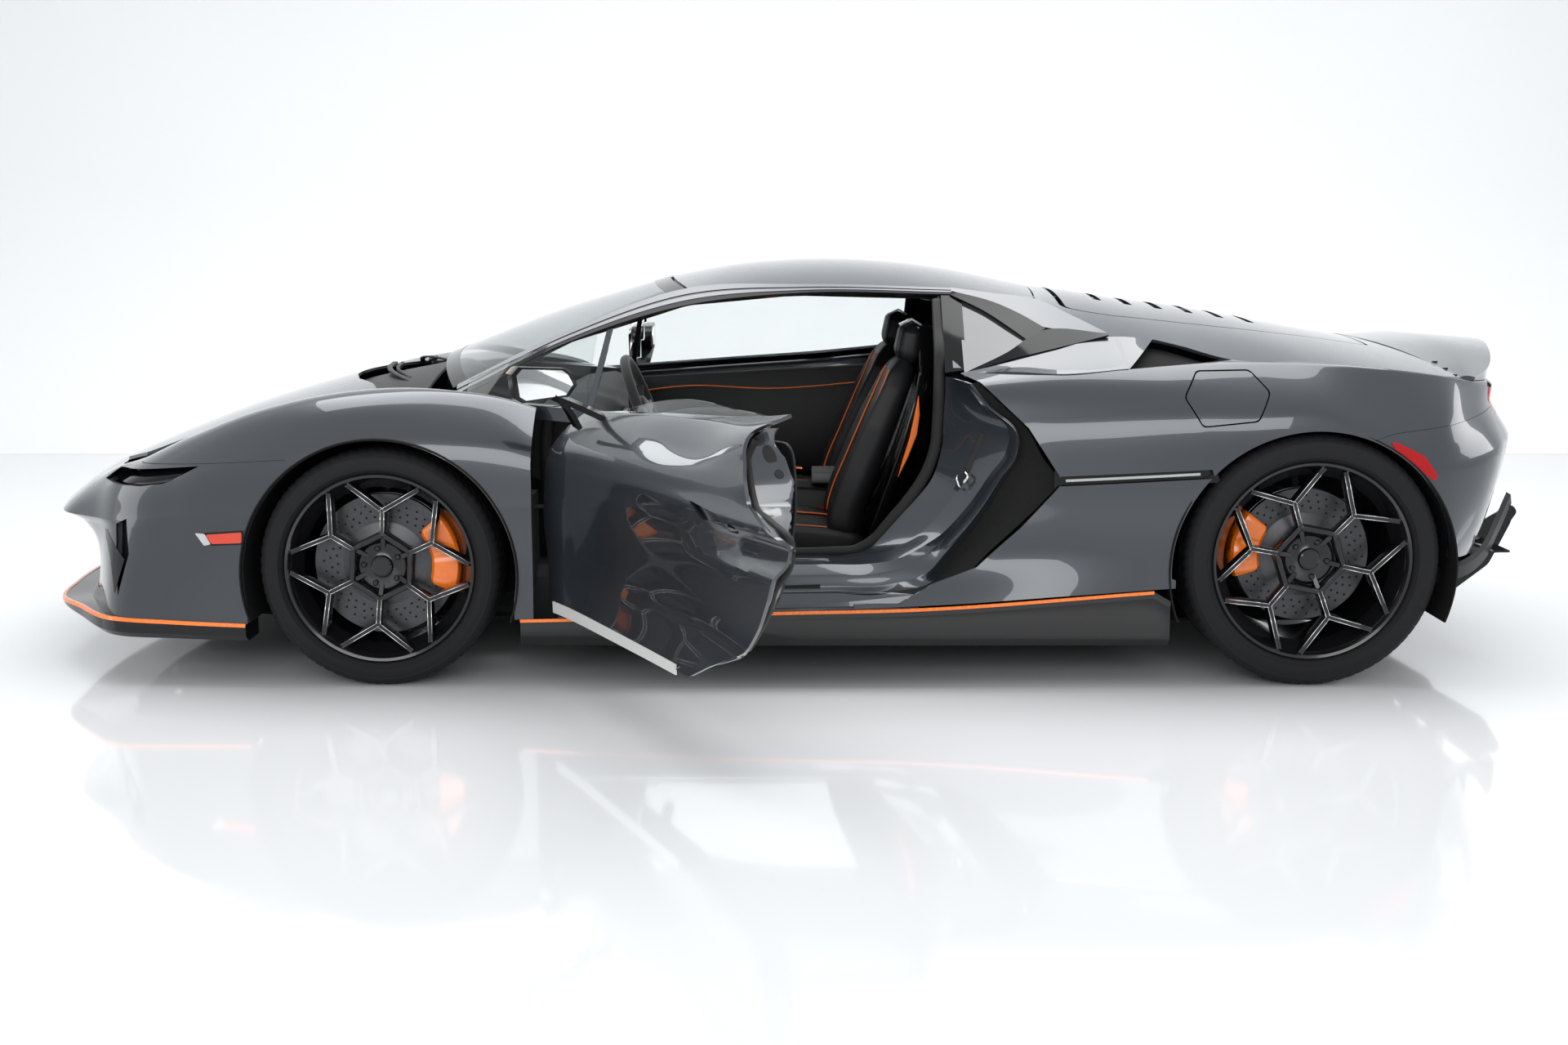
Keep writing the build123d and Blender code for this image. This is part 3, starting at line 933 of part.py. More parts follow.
arms = []
for axle_x, axle_z, pin_y in ((FRONT_AXLE_X, FRONT_TYRE_RADIUS, KINGPIN_Y),
                              (REAR_AXLE_X, REAR_TYRE_RADIUS, REAR_PLANE + KINGPIN_OFFSET + 20)):
    arms.append(arm(axle_x, pin_y, axle_z - 174, -RAIL_OUT - 0.3, axle_z - 170, axle_z - 176, axle_z - 154, 140))
    arms.append(arm(axle_x, pin_y, axle_z + 156, -RAIL_OUT - 0.3, axle_z + 150, axle_z + 154, axle_z + 176, 110))
add_pair("suspension_arms", *arms)
arm_hole = block(front(-190), front(190), -560, -530, 150, 560)
rear_arm_hole = block(rear(-190), rear(190), -655, -630, 150, 580)
front_liner = largest(cut(front_liner, front_wing, bumper_half, splitter_half, arm_hole))
rear_liner = largest(cut(rear_liner, rear_quarter, rear_bumper_half, skirt, rear_arm_hole))
add_pair("arch_liners", front_liner, rear_liner)

# ---------------------------------------------------------------- cabin
SEAT_Y = 370.0
SEAT_PROFILE = [(-430, 330), (-400, 360), (-60, 300), (60, 420), (240, 900), (262, 1010), (330, 1010),
                (330, 900), (190, 420), (120, 210), (-380, 210)]
seat = prism_y([(front(1253) + x, z) for x, z in SEAT_PROFILE], -SEAT_Y - 215, -SEAT_Y + 215)
seat = seat - prism_y([(front(1253) + x, z) for x, z in ((-380, 420), (-50, 342), (40, 440), (215, 880), (100, 900))],
                      -SEAT_Y - 150, -SEAT_Y + 150)
for runner_y in (-SEAT_Y - 170, -SEAT_Y + 140):
    seat += block(front(1253) - 330, front(1253) + 60, runner_y, runner_y + 30, TUB_TOP + SEAT_GAP, 212)
add_pair("seats", seat)
DASH_X = BULKHEAD_X + SEAT_GAP
dash = prism_y([(DASH_X, 560), (DASH_X, 730), (front(520), 770), (front(640), 740), (front(600), 620),
                (front(470), 520)], -640, 640)
dash += block(DASH_X, front(1400), -110, 110, TUB_TOP, 420)
add("dashboard", dash)
WHEEL_RING_RADIUS = 178.0
ring_plane = Plane(origin=(front(720), -SEAT_Y, 730), z_dir=(-0.93, 0, -0.36))
steering = Solid.make_torus(WHEEL_RING_RADIUS, 15, ring_plane)
hub_disc = Solid.make_cylinder(48, 30, ring_plane)
column = Solid.make_cylinder(24, 110, ring_plane)
bar = ring_plane.location * Box(20, 2 * WHEEL_RING_RADIUS, 14)
steering = (steering + hub_disc + column + bar) - dash
add("steering_wheel", steering)

# ---------------------------------------------------------------- doors into their rest places
hinge_axis = Axis((HINGE_X, -DOOR_HINGE_Y, 0), (0, 0, 1))
add("door_left", door_shell.rotate(hinge_axis, -DOOR_REST_ANGLE))
add("door_glass_left", pane_down.rotate(hinge_axis, -DOOR_REST_ANGLE))
add("door_right", mirrored(door_shell))
add("door_glass_right", mirrored(pane_up))
add("c_pillars", c_pillar, mirrored(c_pillar))

# ---------------------------------------------------------------- place and save
everything = Compound([solid for solids in nodes.values() for solid in solids])
box = everything.bounding_box()
SHIFT = Vector(-(box.min.X + box.max.X) / 2, -(box.min.Y + box.max.Y) / 2, -box.min.Z)
print("shift", [round(v, 3) for v in (SHIFT.X, SHIFT.Y, SHIFT.Z)], "size", box.size)
os.makedirs("parts", exist_ok=True)
for name, solids in nodes.items():
    moved = [solid.moved(Location(SHIFT)) for solid in solids]
    export_step(moved[0] if len(moved) == 1 else Compound(moved), f"parts/{name}.step")
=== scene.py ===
"""Dresses the supercar: smooth body panels, glass, wheels, cabin, lamps and their finishes.

Lengths in the tables are millimetres in the car's own axes, X rearward, Y to the right and Z up, with
the front axle at x = -1253.  A helper turns them into metres in the frame that the CAD model uses.
"""
import json
import math

import bmesh
import bpy
import numpy as np
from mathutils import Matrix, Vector


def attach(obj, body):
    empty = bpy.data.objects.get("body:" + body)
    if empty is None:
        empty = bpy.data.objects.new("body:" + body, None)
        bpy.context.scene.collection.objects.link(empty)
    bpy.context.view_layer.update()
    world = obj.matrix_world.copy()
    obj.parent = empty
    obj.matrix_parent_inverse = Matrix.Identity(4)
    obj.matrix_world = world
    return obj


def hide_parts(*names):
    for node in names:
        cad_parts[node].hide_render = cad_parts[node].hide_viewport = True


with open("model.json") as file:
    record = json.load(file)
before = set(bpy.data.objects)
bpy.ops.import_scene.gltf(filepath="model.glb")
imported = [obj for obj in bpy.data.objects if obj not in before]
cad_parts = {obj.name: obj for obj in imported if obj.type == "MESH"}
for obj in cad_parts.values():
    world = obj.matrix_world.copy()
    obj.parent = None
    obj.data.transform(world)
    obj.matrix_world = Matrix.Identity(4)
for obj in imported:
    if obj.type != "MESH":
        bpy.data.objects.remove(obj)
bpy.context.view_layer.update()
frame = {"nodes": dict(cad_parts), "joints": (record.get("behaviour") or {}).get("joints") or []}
NODES = frame["nodes"]
JOINTS = {joint["name"]: joint for joint in frame["joints"]}

MM = 0.001
FRONT_AXLE_X, WHEELBASE = -1253.0, 2658.0
REAR_AXLE_X = FRONT_AXLE_X + WHEELBASE
FRONT_HUB = np.array([FRONT_AXLE_X, -861.0, 343.2])
REAR_HUB = np.array([REAR_AXLE_X, -828.0, 364.2])
SHIFT = np.array(JOINTS["spin_front_left"]["pos_m"]) * 1000 - FRONT_HUB
DOOR_AXIS = np.array(JOINTS["door_left_hinge"]["pos_m"]) * 1000 - SHIFT
DOOR_REST = math.radians(-63.0)


def front(x):
    """x in car axes of a place given from the front axle."""
    return FRONT_AXLE_X + x


def rear(x):
    """x in car axes of a place given from the rear axle."""
    return REAR_AXLE_X + x


def fore(rows):
    """Rows whose first number is counted from the front axle, in car axes."""
    return [(front(x), *rest) for x, *rest in rows]


def hind(rows):
    """Rows whose first number is counted from the rear axle, in car axes."""
    return [(rear(x), *rest) for x, *rest in rows]


# ---- meshes from arrays
def make_object(name, points, faces, smooth=True):
    """A mesh object from points in car millimetres and faces as an array or list of corner numbers."""
    mesh = bpy.data.meshes.new(name)
    mesh.from_pydata(((np.asarray(points, float) + SHIFT) * MM).tolist(), [], [list(face) for face in faces])
    mesh.validate()
    mesh.update()
    mesh.polygons.foreach_set("use_smooth", [smooth] * len(mesh.polygons))
    obj = bpy.data.objects.new(name, mesh)
    bpy.context.scene.collection.objects.link(obj)
    return obj


def quads(rows, cols, wrap_rows=False, wrap_cols=False):
    """Corner numbers of a grid's cells; a wrapped direction closes on itself."""
    i, j = np.meshgrid(np.arange(rows if wrap_rows else rows - 1), np.arange(cols if wrap_cols else cols - 1),
        indexing="ij")
    i2, j2 = (i + 1) % rows, (j + 1) % cols
    return np.stack([i * cols + j, i2 * cols + j, i2 * cols + j2, i * cols + j2], -1).reshape(-1, 4)


def grid_normals(grid):
    """Unit normals of a grid of points, from the differences along its rows and columns."""
    normal = np.cross(np.gradient(grid, axis=0), np.gradient(grid, axis=1))
    return normal / np.maximum(np.linalg.norm(normal, axis=-1, keepdims=True), 1e-9)


def facing(grid, outward):
    """The grid, its columns reversed if its normals point against the outward direction."""
    return grid if (grid_normals(grid) * outward).sum() > 0 else grid[:, ::-1]


def shell_object(name, grid, thickness, outward):
    """A closed shell: the grid, a copy of it moved inward along its normals, and walls round the rim."""
    grid = facing(grid, outward)
    return closed_pair(name, grid, grid - grid_normals(grid) * thickness)


def closed_pair(name, outer, inner):
    """A closed shell between two grids of the same size, with walls round the rim."""
    rows, cols = outer.shape[:2]
    count = rows * cols
    top = quads(rows, cols)
    rim = np.concatenate([np.arange(cols), np.arange(1, rows) * cols + cols - 1,
        (rows - 1) * cols + np.arange(cols - 2, -1, -1), np.arange(rows - 2, 0, -1) * cols])
    after = np.roll(rim, -1)
    walls = np.stack([rim, after, after + count, rim + count], -1)
    points = np.concatenate([outer.reshape(-1, 3), inner.reshape(-1, 3)])
    faces = np.concatenate([top, top[:, ::-1] + count, walls])
    obj = make_object(name, points, faces)
    outward_fix(obj)
    return obj


def outward_fix(obj):
    """Turns the faces of a closed mesh so that they all point outward."""
    mesh = bmesh.new()
    mesh.from_mesh(obj.data)
    bmesh.ops.recalc_face_normals(mesh, faces=mesh.faces)
    mesh.to_mesh(obj.data)
    mesh.free()


def prism(outline, direction, low, high):
    """A cutter: an outline in the plane across a direction, carried from low to high along it."""
    outline = np.asarray(outline, float)
    place = "xyz".index(direction)
    rings = [np.insert(outline, place, level, axis=1) for level in (low, high)]
    n = len(outline)
    sides = [(k, (k + 1) % n, (k + 1) % n + n, k + n) for k in range(n)]
    obj = make_object("cutter", np.concatenate(rings),
        sides + [list(range(n))[::-1], list(range(n, 2 * n))], False)
    outward_fix(obj)
    return obj


def circle(x, z, radius, count=160):
    """Points round a circle in a side or end view."""
    angle = np.linspace(0, 2 * np.pi, count, endpoint=False)
    return np.stack([x + radius * np.cos(angle), z + radius * np.sin(angle)], -1)


def carve(obj, keep=(), remove=()):
    """Keeps what lies inside each of one set of cutters and takes away the others; cutters are used up."""
    for cutters, operation in ((keep, "INTERSECT"), (remove, "DIFFERENCE")):
        for cutter in cutters:
            modifier = obj.modifiers.new("carve", "BOOLEAN")
            modifier.operation = operation
            modifier.solver = "EXACT"
            modifier.object = cutter
    graph = bpy.context.evaluated_depsgraph_get()
    carved = bpy.data.meshes.new_from_object(obj.evaluated_get(graph), depsgraph=graph)
    obj.modifiers.clear()
    obj.data = carved
    for cutter in {*keep, *remove}:
        bpy.data.objects.remove(cutter)
    return obj


def crisp(obj, degrees=32.0, bevel=0.0012, segments=2, limit=45.0):
    """Sharp edges by angle, softened by a narrow bevel."""
    obj.data.set_sharp_from_angle(angle=math.radians(degrees))
    modifier = obj.modifiers.new("edge", "BEVEL")
    modifier.width = bevel
    modifier.segments = segments
    modifier.limit_method = "ANGLE"
    modifier.angle_limit = math.radians(limit)
    return obj


def points_of(mesh):
    """A mesh's points as rows, in metres."""
    points = np.empty(len(mesh.vertices) * 3)
    mesh.vertices.foreach_get("co", points)
    return points.reshape(-1, 3)


def mirrored(obj, name):
    """A copy of a left-hand piece reflected in the car's centre plane, its faces turned back outward."""
    mesh = obj.data.copy()
    points = points_of(mesh)
    points[:, 1] = 2 * SHIFT[1] * MM - points[:, 1]
    mesh.vertices.foreach_set("co", points.ravel())
    mesh.flip_normals()
    mesh.update()
    copy = bpy.data.objects.new(name, mesh)
    bpy.context.scene.collection.objects.link(copy)
    for modifier in obj.modifiers:
        twin = copy.modifiers.new(modifier.name, modifier.type)
        for key in ("width", "segments", "limit_method", "angle_limit"):
            if hasattr(modifier, key):
                setattr(twin, key, getattr(modifier, key))
    return copy


def turned_about(obj, centre, angle):
    """Turns a piece's mesh about an upright axis, as the open door stands."""
    points = points_of(obj.data)
    pivot = ((np.asarray(centre) + SHIFT) * MM)[:2]
    c, s = math.cos(angle), math.sin(angle)
    flat = points[:, :2] - pivot
    points[:, 0] = pivot[0] + c * flat[:, 0] - s * flat[:, 1]
    points[:, 1] = pivot[1] + s * flat[:, 0] + c * flat[:, 1]
    obj.data.vertices.foreach_set("co", points.ravel())
    obj.data.update()
    return obj


def settle(obj, body, slot, material, *stands_for):
    """Gives a piece its finish and its body and hides the CAD nodes that it stands for; its slot is not used."""
    obj.data.materials.clear()
    obj.data.materials.append(material)
    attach(obj, body)
    if stands_for:
        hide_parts(*stands_for)
    return obj


def both_hands(piece, name, body, slot, material, *stands_for):
    """Settles a left-hand piece and its mirror image."""
    settle(piece, body, slot, material, *stands_for)
    settle(mirrored(piece, name + "_right"), body, slot, material, *stands_for)
    piece.name = name + "_left"


# ---- smooth curves through tables
def smooth_line(points, where, sharp=None, knots=None):
    """Cubic spans through rows of an array, at parameters counted in rows.

    Each row's slope is the mean of its two spans' slopes weighted by the other's length, and a row's
    sharpness from 0 to 1 moves it towards the span's own slope, so that 1 is a crease.
    """
    points = np.asarray(points, float)
    n = len(points)
    flat = points.reshape(n, -1)
    if knots is None:
        knots = np.concatenate([[0], np.cumsum(np.maximum(np.linalg.norm(np.diff(flat, axis=0),
            axis=1), 1e-6))])
    step = np.diff(knots)[:, None]
    slope = np.diff(flat, axis=0) / step
    middle = (slope[:-1] * step[1:] + slope[1:] * step[:-1]) / (step[1:] + step[:-1])
    tangent = np.concatenate([slope[:1], middle, slope[-1:]])
    sharp = np.zeros(n) if sharp is None else np.asarray(sharp, float)
    leave = tangent[:-1] * (1 - sharp[:-1, None]) + slope * sharp[:-1, None]
    arrive = tangent[1:] * (1 - sharp[1:, None]) + slope * sharp[1:, None]
    where = np.clip(np.asarray(where, float), 0, n - 1)
    span = np.minimum(where.astype(int), n - 2)
    t = (where - span)[:, None]
    h = step[span]
    a, b = flat[span], flat[span + 1]
    result = ((2 * t ** 3 - 3 * t ** 2 + 1) * a + (t ** 3 - 2 * t ** 2 + t) * h * leave[span]
              + (3 * t ** 2 - 2 * t ** 3) * b + (t ** 3 - t ** 2) * h * arrive[span])
    return result.reshape((len(where),) + points.shape[1:])


def skin(table, stations, rails, sharp):
    """A smooth surface through a table of stations by rails: splines along each rail, then across them."""
    along = smooth_line(table, stations, knots=station_knots(table))
    across = smooth_line(along.transpose(1, 0, 2), rails, sharp=sharp, knots=rail_knots(along))
    return across.transpose(1, 0, 2)


def through(table, count):
    """Points evenly spaced in parameter along the smooth line through every row of a table."""
    return smooth_line(table, np.linspace(0, len(table) - 1, count), knots=station_knots(table))


def station_knots(table):
    """Parameters of a table's rows, by the distances between the rows' middles."""
    middle = np.asarray(table, float).mean(axis=1)
    return np.concatenate([[0], np.cumsum(np.linalg.norm(np.diff(middle, axis=0), axis=1))])


def rail_knots(along):
    """Parameters of a table's rails, by their mean distances from each other."""
    gaps = np.linalg.norm(np.diff(along, axis=1), axis=2).mean(axis=0)
    return np.concatenate([[0], np.cumsum(gaps)])


def headed(station):
    """A station's points: out is measured along its heading, 90 being straight out to the left."""
    x, root, heading, rails = station
    angle = math.radians(heading)
    return [(x - out * math.cos(angle), -(root + out * math.sin(angle)), z) for out, z in rails]


def aft(points):
    """Points of the left side given as rows of (x from the rear axle, |y|, z), in car axes."""
    return np.asarray(points, float) * (1, -1, 1) + (REAR_AXLE_X, 0, 0)


def oblong(half_wide, half_high):
    """The corners of a level oblong about the origin."""
    return [(-half_wide, -half_high), (half_wide, -half_high), (half_wide, half_high),
        (-half_wide, half_high)]


# ---- body tables
# Stations: x, |y| of the root, heading, then (out, z) of each rail.
FRONT_CLIP = fore([
    (-1160, 0, 0, [(-120, 190), (-160, 300), (-60, 415), (0, 440), (-84, 520), (-150, 560), (-213, 583)]),
    (-1110, 400, 18, [(-100, 190), (-150, 300), (-60, 420), (0, 446), (-82, 520), (-140, 556), (-200, 578)]),
    (-1032, 600, 36, [(-60, 190), (-105, 300), (-42, 425), (0, 448), (-70, 520), (-120, 556), (-180, 581)]),
    (-905, 720, 56, [(0, 195), (-16, 300), (-14, 430), (0, 452), (-36, 535), (-86, 585), (-160, 604)]),
    (-787, 845, 84, [(60, 193), (35, 320), (6, 440), (0, 462), (-45, 572), (-140, 612), (-268, 624)]),
    (-597, 0, 90, [(953, 187), (940, 330), (921, 462), (918, 485), (880, 610), (775, 688), (575, 692)]),
    (-387, 0, 90, [(975, 182), (972, 335), (968, 485), (965, 507), (935, 650), (822, 768), (590, 748)]),
    (-197, 0, 90, [(985, 184), (985, 335), (988, 490), (988, 520), (965, 690), (850, 815), (606, 790)]),
    (0, 0, 90, [(990, 186), (990, 335), (995, 490), (995, 520), (975, 715), (862, 838), (640, 817)]),
    (174, 0, 90, [(988, 190), (986, 335), (990, 490), (990, 520), (968, 710), (862, 832), (756, 826)]),
    (393, 0, 90, [(976, 196), (970, 335), (976, 490), (976, 520), (950, 690), (846, 794), (798, 796)]),
    (436, 0, 90, [(975, 198), (966, 335), (970, 490), (970, 520), (944, 680), (836, 778), (800, 782)]),
])
FLANK = fore([
    (441, 0, 90, [(975, 198), (966, 335), (970, 520), (944, 680), (836, 778), (800, 782)]),
    (613, 0, 90, [(982, 205), (940, 330), (950, 560), (925, 690), (828, 790), (790, 795)]),
    (953, 0, 90, [(985, 215), (925, 340), (940, 590), (915, 710), (822, 815), (784, 820)]),
]) + hind([
    (-1305, 0, 90, [(985, 228), (922, 350), (940, 600), (912, 730), (832, 834), (780, 850)]),
    (-999, 0, 90, [(985, 243), (935, 350), (950, 600), (915, 760), (872, 856), (795, 885)]),
    (-721, 0, 90, [(985, 264), (958, 380), (962, 590), (940, 760), (868, 885), (745, 946)]),
    (-555, 0, 90, [(985, 276), (972, 390), (978, 595), (955, 775), (865, 901), (700, 984)]),
    (-422, 0, 90, [(985, 286), (980, 400), (988, 600), (966, 785), (860, 910), (705, 977)]),
    (-209, 0, 90, [(990, 300), (990, 400), (996, 610), (978, 790), (862, 920), (820, 926)]),
    (0, 0, 90, [(993, 310), (994, 400), (998, 620), (982, 790), (872, 916), (850, 922)]),
    (212, 0, 90, [(985, 330), (985, 420), (992, 640), (975, 735), (880, 900), (860, 906)]),
    (395, 0, 90, [(942, 365), (950, 450), (962, 640), (935, 757), (850, 876), (835, 881)]),
])
# Tail rows: (distance behind the rear axle, |y|, z) of each rail.
TAIL = [
    [(475, 850, 358), (490, 880, 450), (520, 890, 668), (495, 835, 770), (485, 785, 862), (460, 770, 868)],
    [(555, 700, 351), (585, 715, 450), (632, 720, 682), (600, 662, 783), (592, 645, 850), (560, 630, 854)],
    [(605, 400, 346), (650, 402, 450), (748, 406, 690), (668, 402, 790), (654, 400, 852), (620, 396, 855)],
    [(635, 0, 342), (690, 0, 450), (808, 0, 690), (705, 0, 795), (690, 0, 855), (650, 0, 858)],
]
CLIP_ROWS = np.array([headed(station) for station in FRONT_CLIP])
FLANK_ROWS = np.array([headed(station) for station in FLANK])
TAIL_ROWS = aft(TAIL)
REAR_ROWS = np.concatenate([FLANK_ROWS[4:], TAIL_ROWS])
CLIP_SHARP = [0, 0, 0.4, 0.85, 0.2, 0, 0]
FLANK_SHARP = [0, 0.1, 0.55, 0.1, 0.25, 0]
REAR_SHARP = [0, 0.1, 0.6, 0.2, 0.35, 0]
FRONT_ARCH = (FRONT_AXLE_X, 321.2, 388.0)
REAR_ARCH = (REAR_AXLE_X, 336.2, 402.0)
SIDE = 1400.0
GAP = 6.5
PANEL = 9.0


def whole(rows):
    """Left-hand stations continued round to the right-hand side, station 0 lying on the centre plane."""
    return np.concatenate([rows[:0:-1] * (1, -1, 1), rows])


def grown(outline, distance):
    """A closed outline moved outward by a distance, with mitred corners."""
    ring = np.asarray(outline, float)
    after = np.roll(ring, -1, axis=0)
    area = (ring[:, 0] * after[:, 1] - after[:, 0] * ring[:, 1]).sum()
    edge = after - ring
    normal = np.stack([edge[:, 1], -edge[:, 0]], -1) / np.linalg.norm(edge, axis=1, keepdims=True)
    normal *= math.copysign(1, area)
    before = np.roll(normal, 1, axis=0)
    share = distance / (1 + (normal * before).sum(axis=1, keepdims=True))
    return ring + (normal + before) * share


DOOR_EDGE = fore([
    (446, 820), (446, 770), (441, 640), (447, 450), (467, 300), (486, 242),
]) + hind([
    (-1180, 248), (-1076, 303), (-956, 347), (-834, 460), (-721, 590), (-816, 737), (-946, 859), (-999, 880),
    (-999, 1000),
]) + fore([
    (446, 1000),
])
BONNET_EDGE = fore([
    (-962, 0), (-938, 300), (-890, 440), (-791, 556), (-638, 570), (-387, 588), (-197, 604), (-60, 628),
])
BONNET_REAR = fore([(-60, 628), (-110, 480), (-190, 320), (-235, 150), (-245, 0)])
HEADLAMP = fore([(-886, 559), (-833, 595), (-522, 628), (-600, 588), (-632, 575), (-711, 563)])


# ---- finishes
def new_group(name, inputs, outputs):
    """An empty shader node group with named sockets; inputs are (name, kind, value) and outputs (name, kind)."""
    group = bpy.data.node_groups.new(name, "ShaderNodeTree")
    for label, kind, value in inputs:
        socket = group.interface.new_socket(label, in_out="INPUT", socket_type=kind)
        socket.default_value = value
    for label, kind in outputs:
        group.interface.new_socket(label, in_out="OUTPUT", socket_type=kind)
    return group, group.nodes.new("NodeGroupInput"), group.nodes.new("NodeGroupOutput")


def wired(tree, wires):
    """Joins sockets of a node tree; each wire is (node, its output, next node, its input)."""
    for node, leaving, following, entering in wires:
        tree.links.new(node.outputs[leaving], following.inputs[entering])


def mottle_group():
    """Noise at one size drives a colour between two tones, a roughness between two values and a height."""
    group, given, out = new_group("mottle", [
        ("Tone A", "NodeSocketColor", (0.1, 0.1, 0.1, 1)), ("Tone B", "NodeSocketColor", (0.1, 0.1, 0.1, 1)),
        ("Size", "NodeSocketFloat", 100.0), ("Rough low", "NodeSocketFloat", 0.3),
        ("Rough high", "NodeSocketFloat", 0.4)],
        [("Color", "NodeSocketColor"), ("Roughness", "NodeSocketFloat"), ("Height", "NodeSocketFloat")])
    place = group.nodes.new("ShaderNodeTexCoord")
    noise = group.nodes.new("ShaderNodeTexNoise")
    noise.inputs["Detail"].default_value = 3.0
    mix = group.nodes.new("ShaderNodeMix")
    mix.data_type = "RGBA"
    spread = group.nodes.new("ShaderNodeMapRange")
    wired(group, [
        (place, "Object", noise, "Vector"), (given, "Size", noise, "Scale"), (noise, "Fac", mix, "Factor"),
        (given, "Tone A", mix, "A"), (given, "Tone B", mix, "B"), (noise, "Fac", spread, "Value"),
        (given, "Rough low", spread, "To Min"), (given, "Rough high", spread, "To Max"),
        (mix, "Result", out, "Color"), (spread, "Result", out, "Roughness"), (noise, "Fac", out, "Height")])
    return group


def pebble_group():
    """Cells at one size give a pebbled height, as leather has, and a mask of the grooves between them."""
    group, given, out = new_group("pebble", [("Size", "NodeSocketFloat", 400.0)],
        [("Height", "NodeSocketFloat"), ("Mask", "NodeSocketFloat")])
    place = group.nodes.new("ShaderNodeTexCoord")
    cells = group.nodes.new("ShaderNodeTexVoronoi")
    edge = group.nodes.new("ShaderNodeMapRange")
    edge.inputs["From Max"].default_value = 0.35
    wired(group, [
        (place, "Object", cells, "Vector"), (given, "Size", cells, "Scale"),
            (cells, "Distance", edge, "Value"),
        (cells, "Distance", out, "Height"), (edge, "Result", out, "Mask")])
    return group


MOTTLE, PEBBLE = mottle_group(), pebble_group()


def finish_of(name, tone_a, tone_b=None, size=60.0, rough=(0.3, 0.4), bump=0.0, bump_from=None,
        bump_size=400.0, bump_depth=0.0004, **shader):
    """A material whose colour and roughness come from the mottle group, with an optional bump."""
    material = bpy.data.materials.new(name)
    material.use_nodes = True
    tree = material.node_tree
    principled = tree.nodes["Principled BSDF"]
    for key, value in shader.items():
        principled.inputs[key.replace("_", " ")].default_value = value
    mottle = tree.nodes.new("ShaderNodeGroup")
    mottle.node_tree = MOTTLE
    tone_b = tone_b or tuple(min(1, v * 1.15) for v in tone_a)
    mottle.inputs["Tone A"].default_value = (*tone_a, 1)
    mottle.inputs["Tone B"].default_value = (*tone_b, 1)
    mottle.inputs["Size"].default_value = size
    mottle.inputs["Rough low"].default_value, mottle.inputs["Rough high"].default_value = rough
    wired(tree, [(mottle, "Color", principled, "Base Color"), (mottle, "Roughness", principled, "Roughness")])
    if bump:
        raised = tree.nodes.new("ShaderNodeBump")
        raised.inputs["Strength"].default_value = bump
        raised.inputs["Distance"].default_value = bump_depth
        relief = mottle
        if bump_from:
            relief = tree.nodes.new("ShaderNodeGroup")
            relief.node_tree = bump_from
            relief.inputs["Size"].default_value = bump_size
        wired(tree, [(relief, "Height", raised, "Height"), (raised, "Normal", principled, "Normal")])
    return material


PAINT = finish_of("dark_grey_lacquer", (0.026, 0.031, 0.038), (0.038, 0.044, 0.053), 2600.0, (0.26, 0.36),
    Metallic=0.55, Coat_Weight=1.0, Coat_Roughness=0.02)
GLOSS_BLACK = finish_of("gloss_black_lacquer", (0.004, 0.004, 0.004), (0.006, 0.006, 0.007), 30.0,
    (0.06, 0.12), Specular_IOR_Level=0.34)
SATIN_BLACK = finish_of("satin_black_moulding", (0.008, 0.008, 0.008), (0.013, 0.013, 0.014), 500.0,
    (0.38, 0.52), bump=0.15, bump_from=PEBBLE, bump_size=900.0, Specular_IOR_Level=0.3)
MATT_BLACK = finish_of("matt_black_liner", (0.008, 0.008, 0.008), (0.016, 0.016, 0.016), 80.0, (0.7, 0.9),
    bump=0.3, Specular_IOR_Level=0.15)
RUBBER = finish_of("tyre_rubber", (0.006, 0.006, 0.007), (0.012, 0.012, 0.013), 140.0, (0.55, 0.75),
    bump=0.25, Specular_IOR_Level=0.22)
SEAL = finish_of("black_seal_rubber", (0.008, 0.008, 0.008), (0.013, 0.013, 0.013), 200.0, (0.45, 0.6),
    bump=0.2, Specular_IOR_Level=0.25)
RIM = finish_of("black_wheel_lacquer", (0.004, 0.004, 0.005), (0.007, 0.007, 0.008), 300.0, (0.12, 0.2),
                Coat_Weight=0.25, Coat_Roughness=0.04, Specular_IOR_Level=0.4)
ORANGE = finish_of("orange_enamel", (0.86, 0.165, 0.008), (0.93, 0.21, 0.012), 60.0, (0.22, 0.32),
    Coat_Weight=0.7, Coat_Roughness=0.05)
ORANGE_LEATHER = finish_of("orange_leather", (0.80, 0.15, 0.012), (0.88, 0.19, 0.02), 120.0, (0.45, 0.6),
    bump=0.35, bump_from=PEBBLE, bump_size=700.0)
# The disc's tone is darkened to paint the shade that falls on it inside the wheel.
DISC_METAL_SHADED = finish_of("turned_disc_metal", (0.055, 0.055, 0.06), (0.085, 0.085, 0.09), 90.0, (0.28, 0.42),
    Metallic=0.9)
CAST = finish_of("cast_alloy", (0.20, 0.20, 0.21), (0.30, 0.30, 0.31), 120.0, (0.45, 0.6),
    bump=0.4, Metallic=0.8)
STEEL = finish_of("brushed_steel", (0.30, 0.29, 0.28), (0.42, 0.41, 0.40), 200.0, (0.25, 0.4), Metallic=1.0)
CHROME = finish_of("bright_trim", (0.70, 0.70, 0.71), (0.78, 0.78, 0.79), 50.0, (0.06, 0.12), Metallic=1.0)
SILVER = finish_of("silver_lacquer", (0.40, 0.41, 0.42), (0.48, 0.49, 0.50), 900.0, (0.22, 0.3), Metallic=0.7,
    Coat_Weight=1.0, Coat_Roughness=0.03)
LEATHER = finish_of("black_leather", (0.006, 0.006, 0.007), (0.010, 0.010, 0.011), 90.0, (0.42, 0.58),
    bump=0.45, bump_from=PEBBLE, bump_size=520.0, Specular_IOR_Level=0.3)
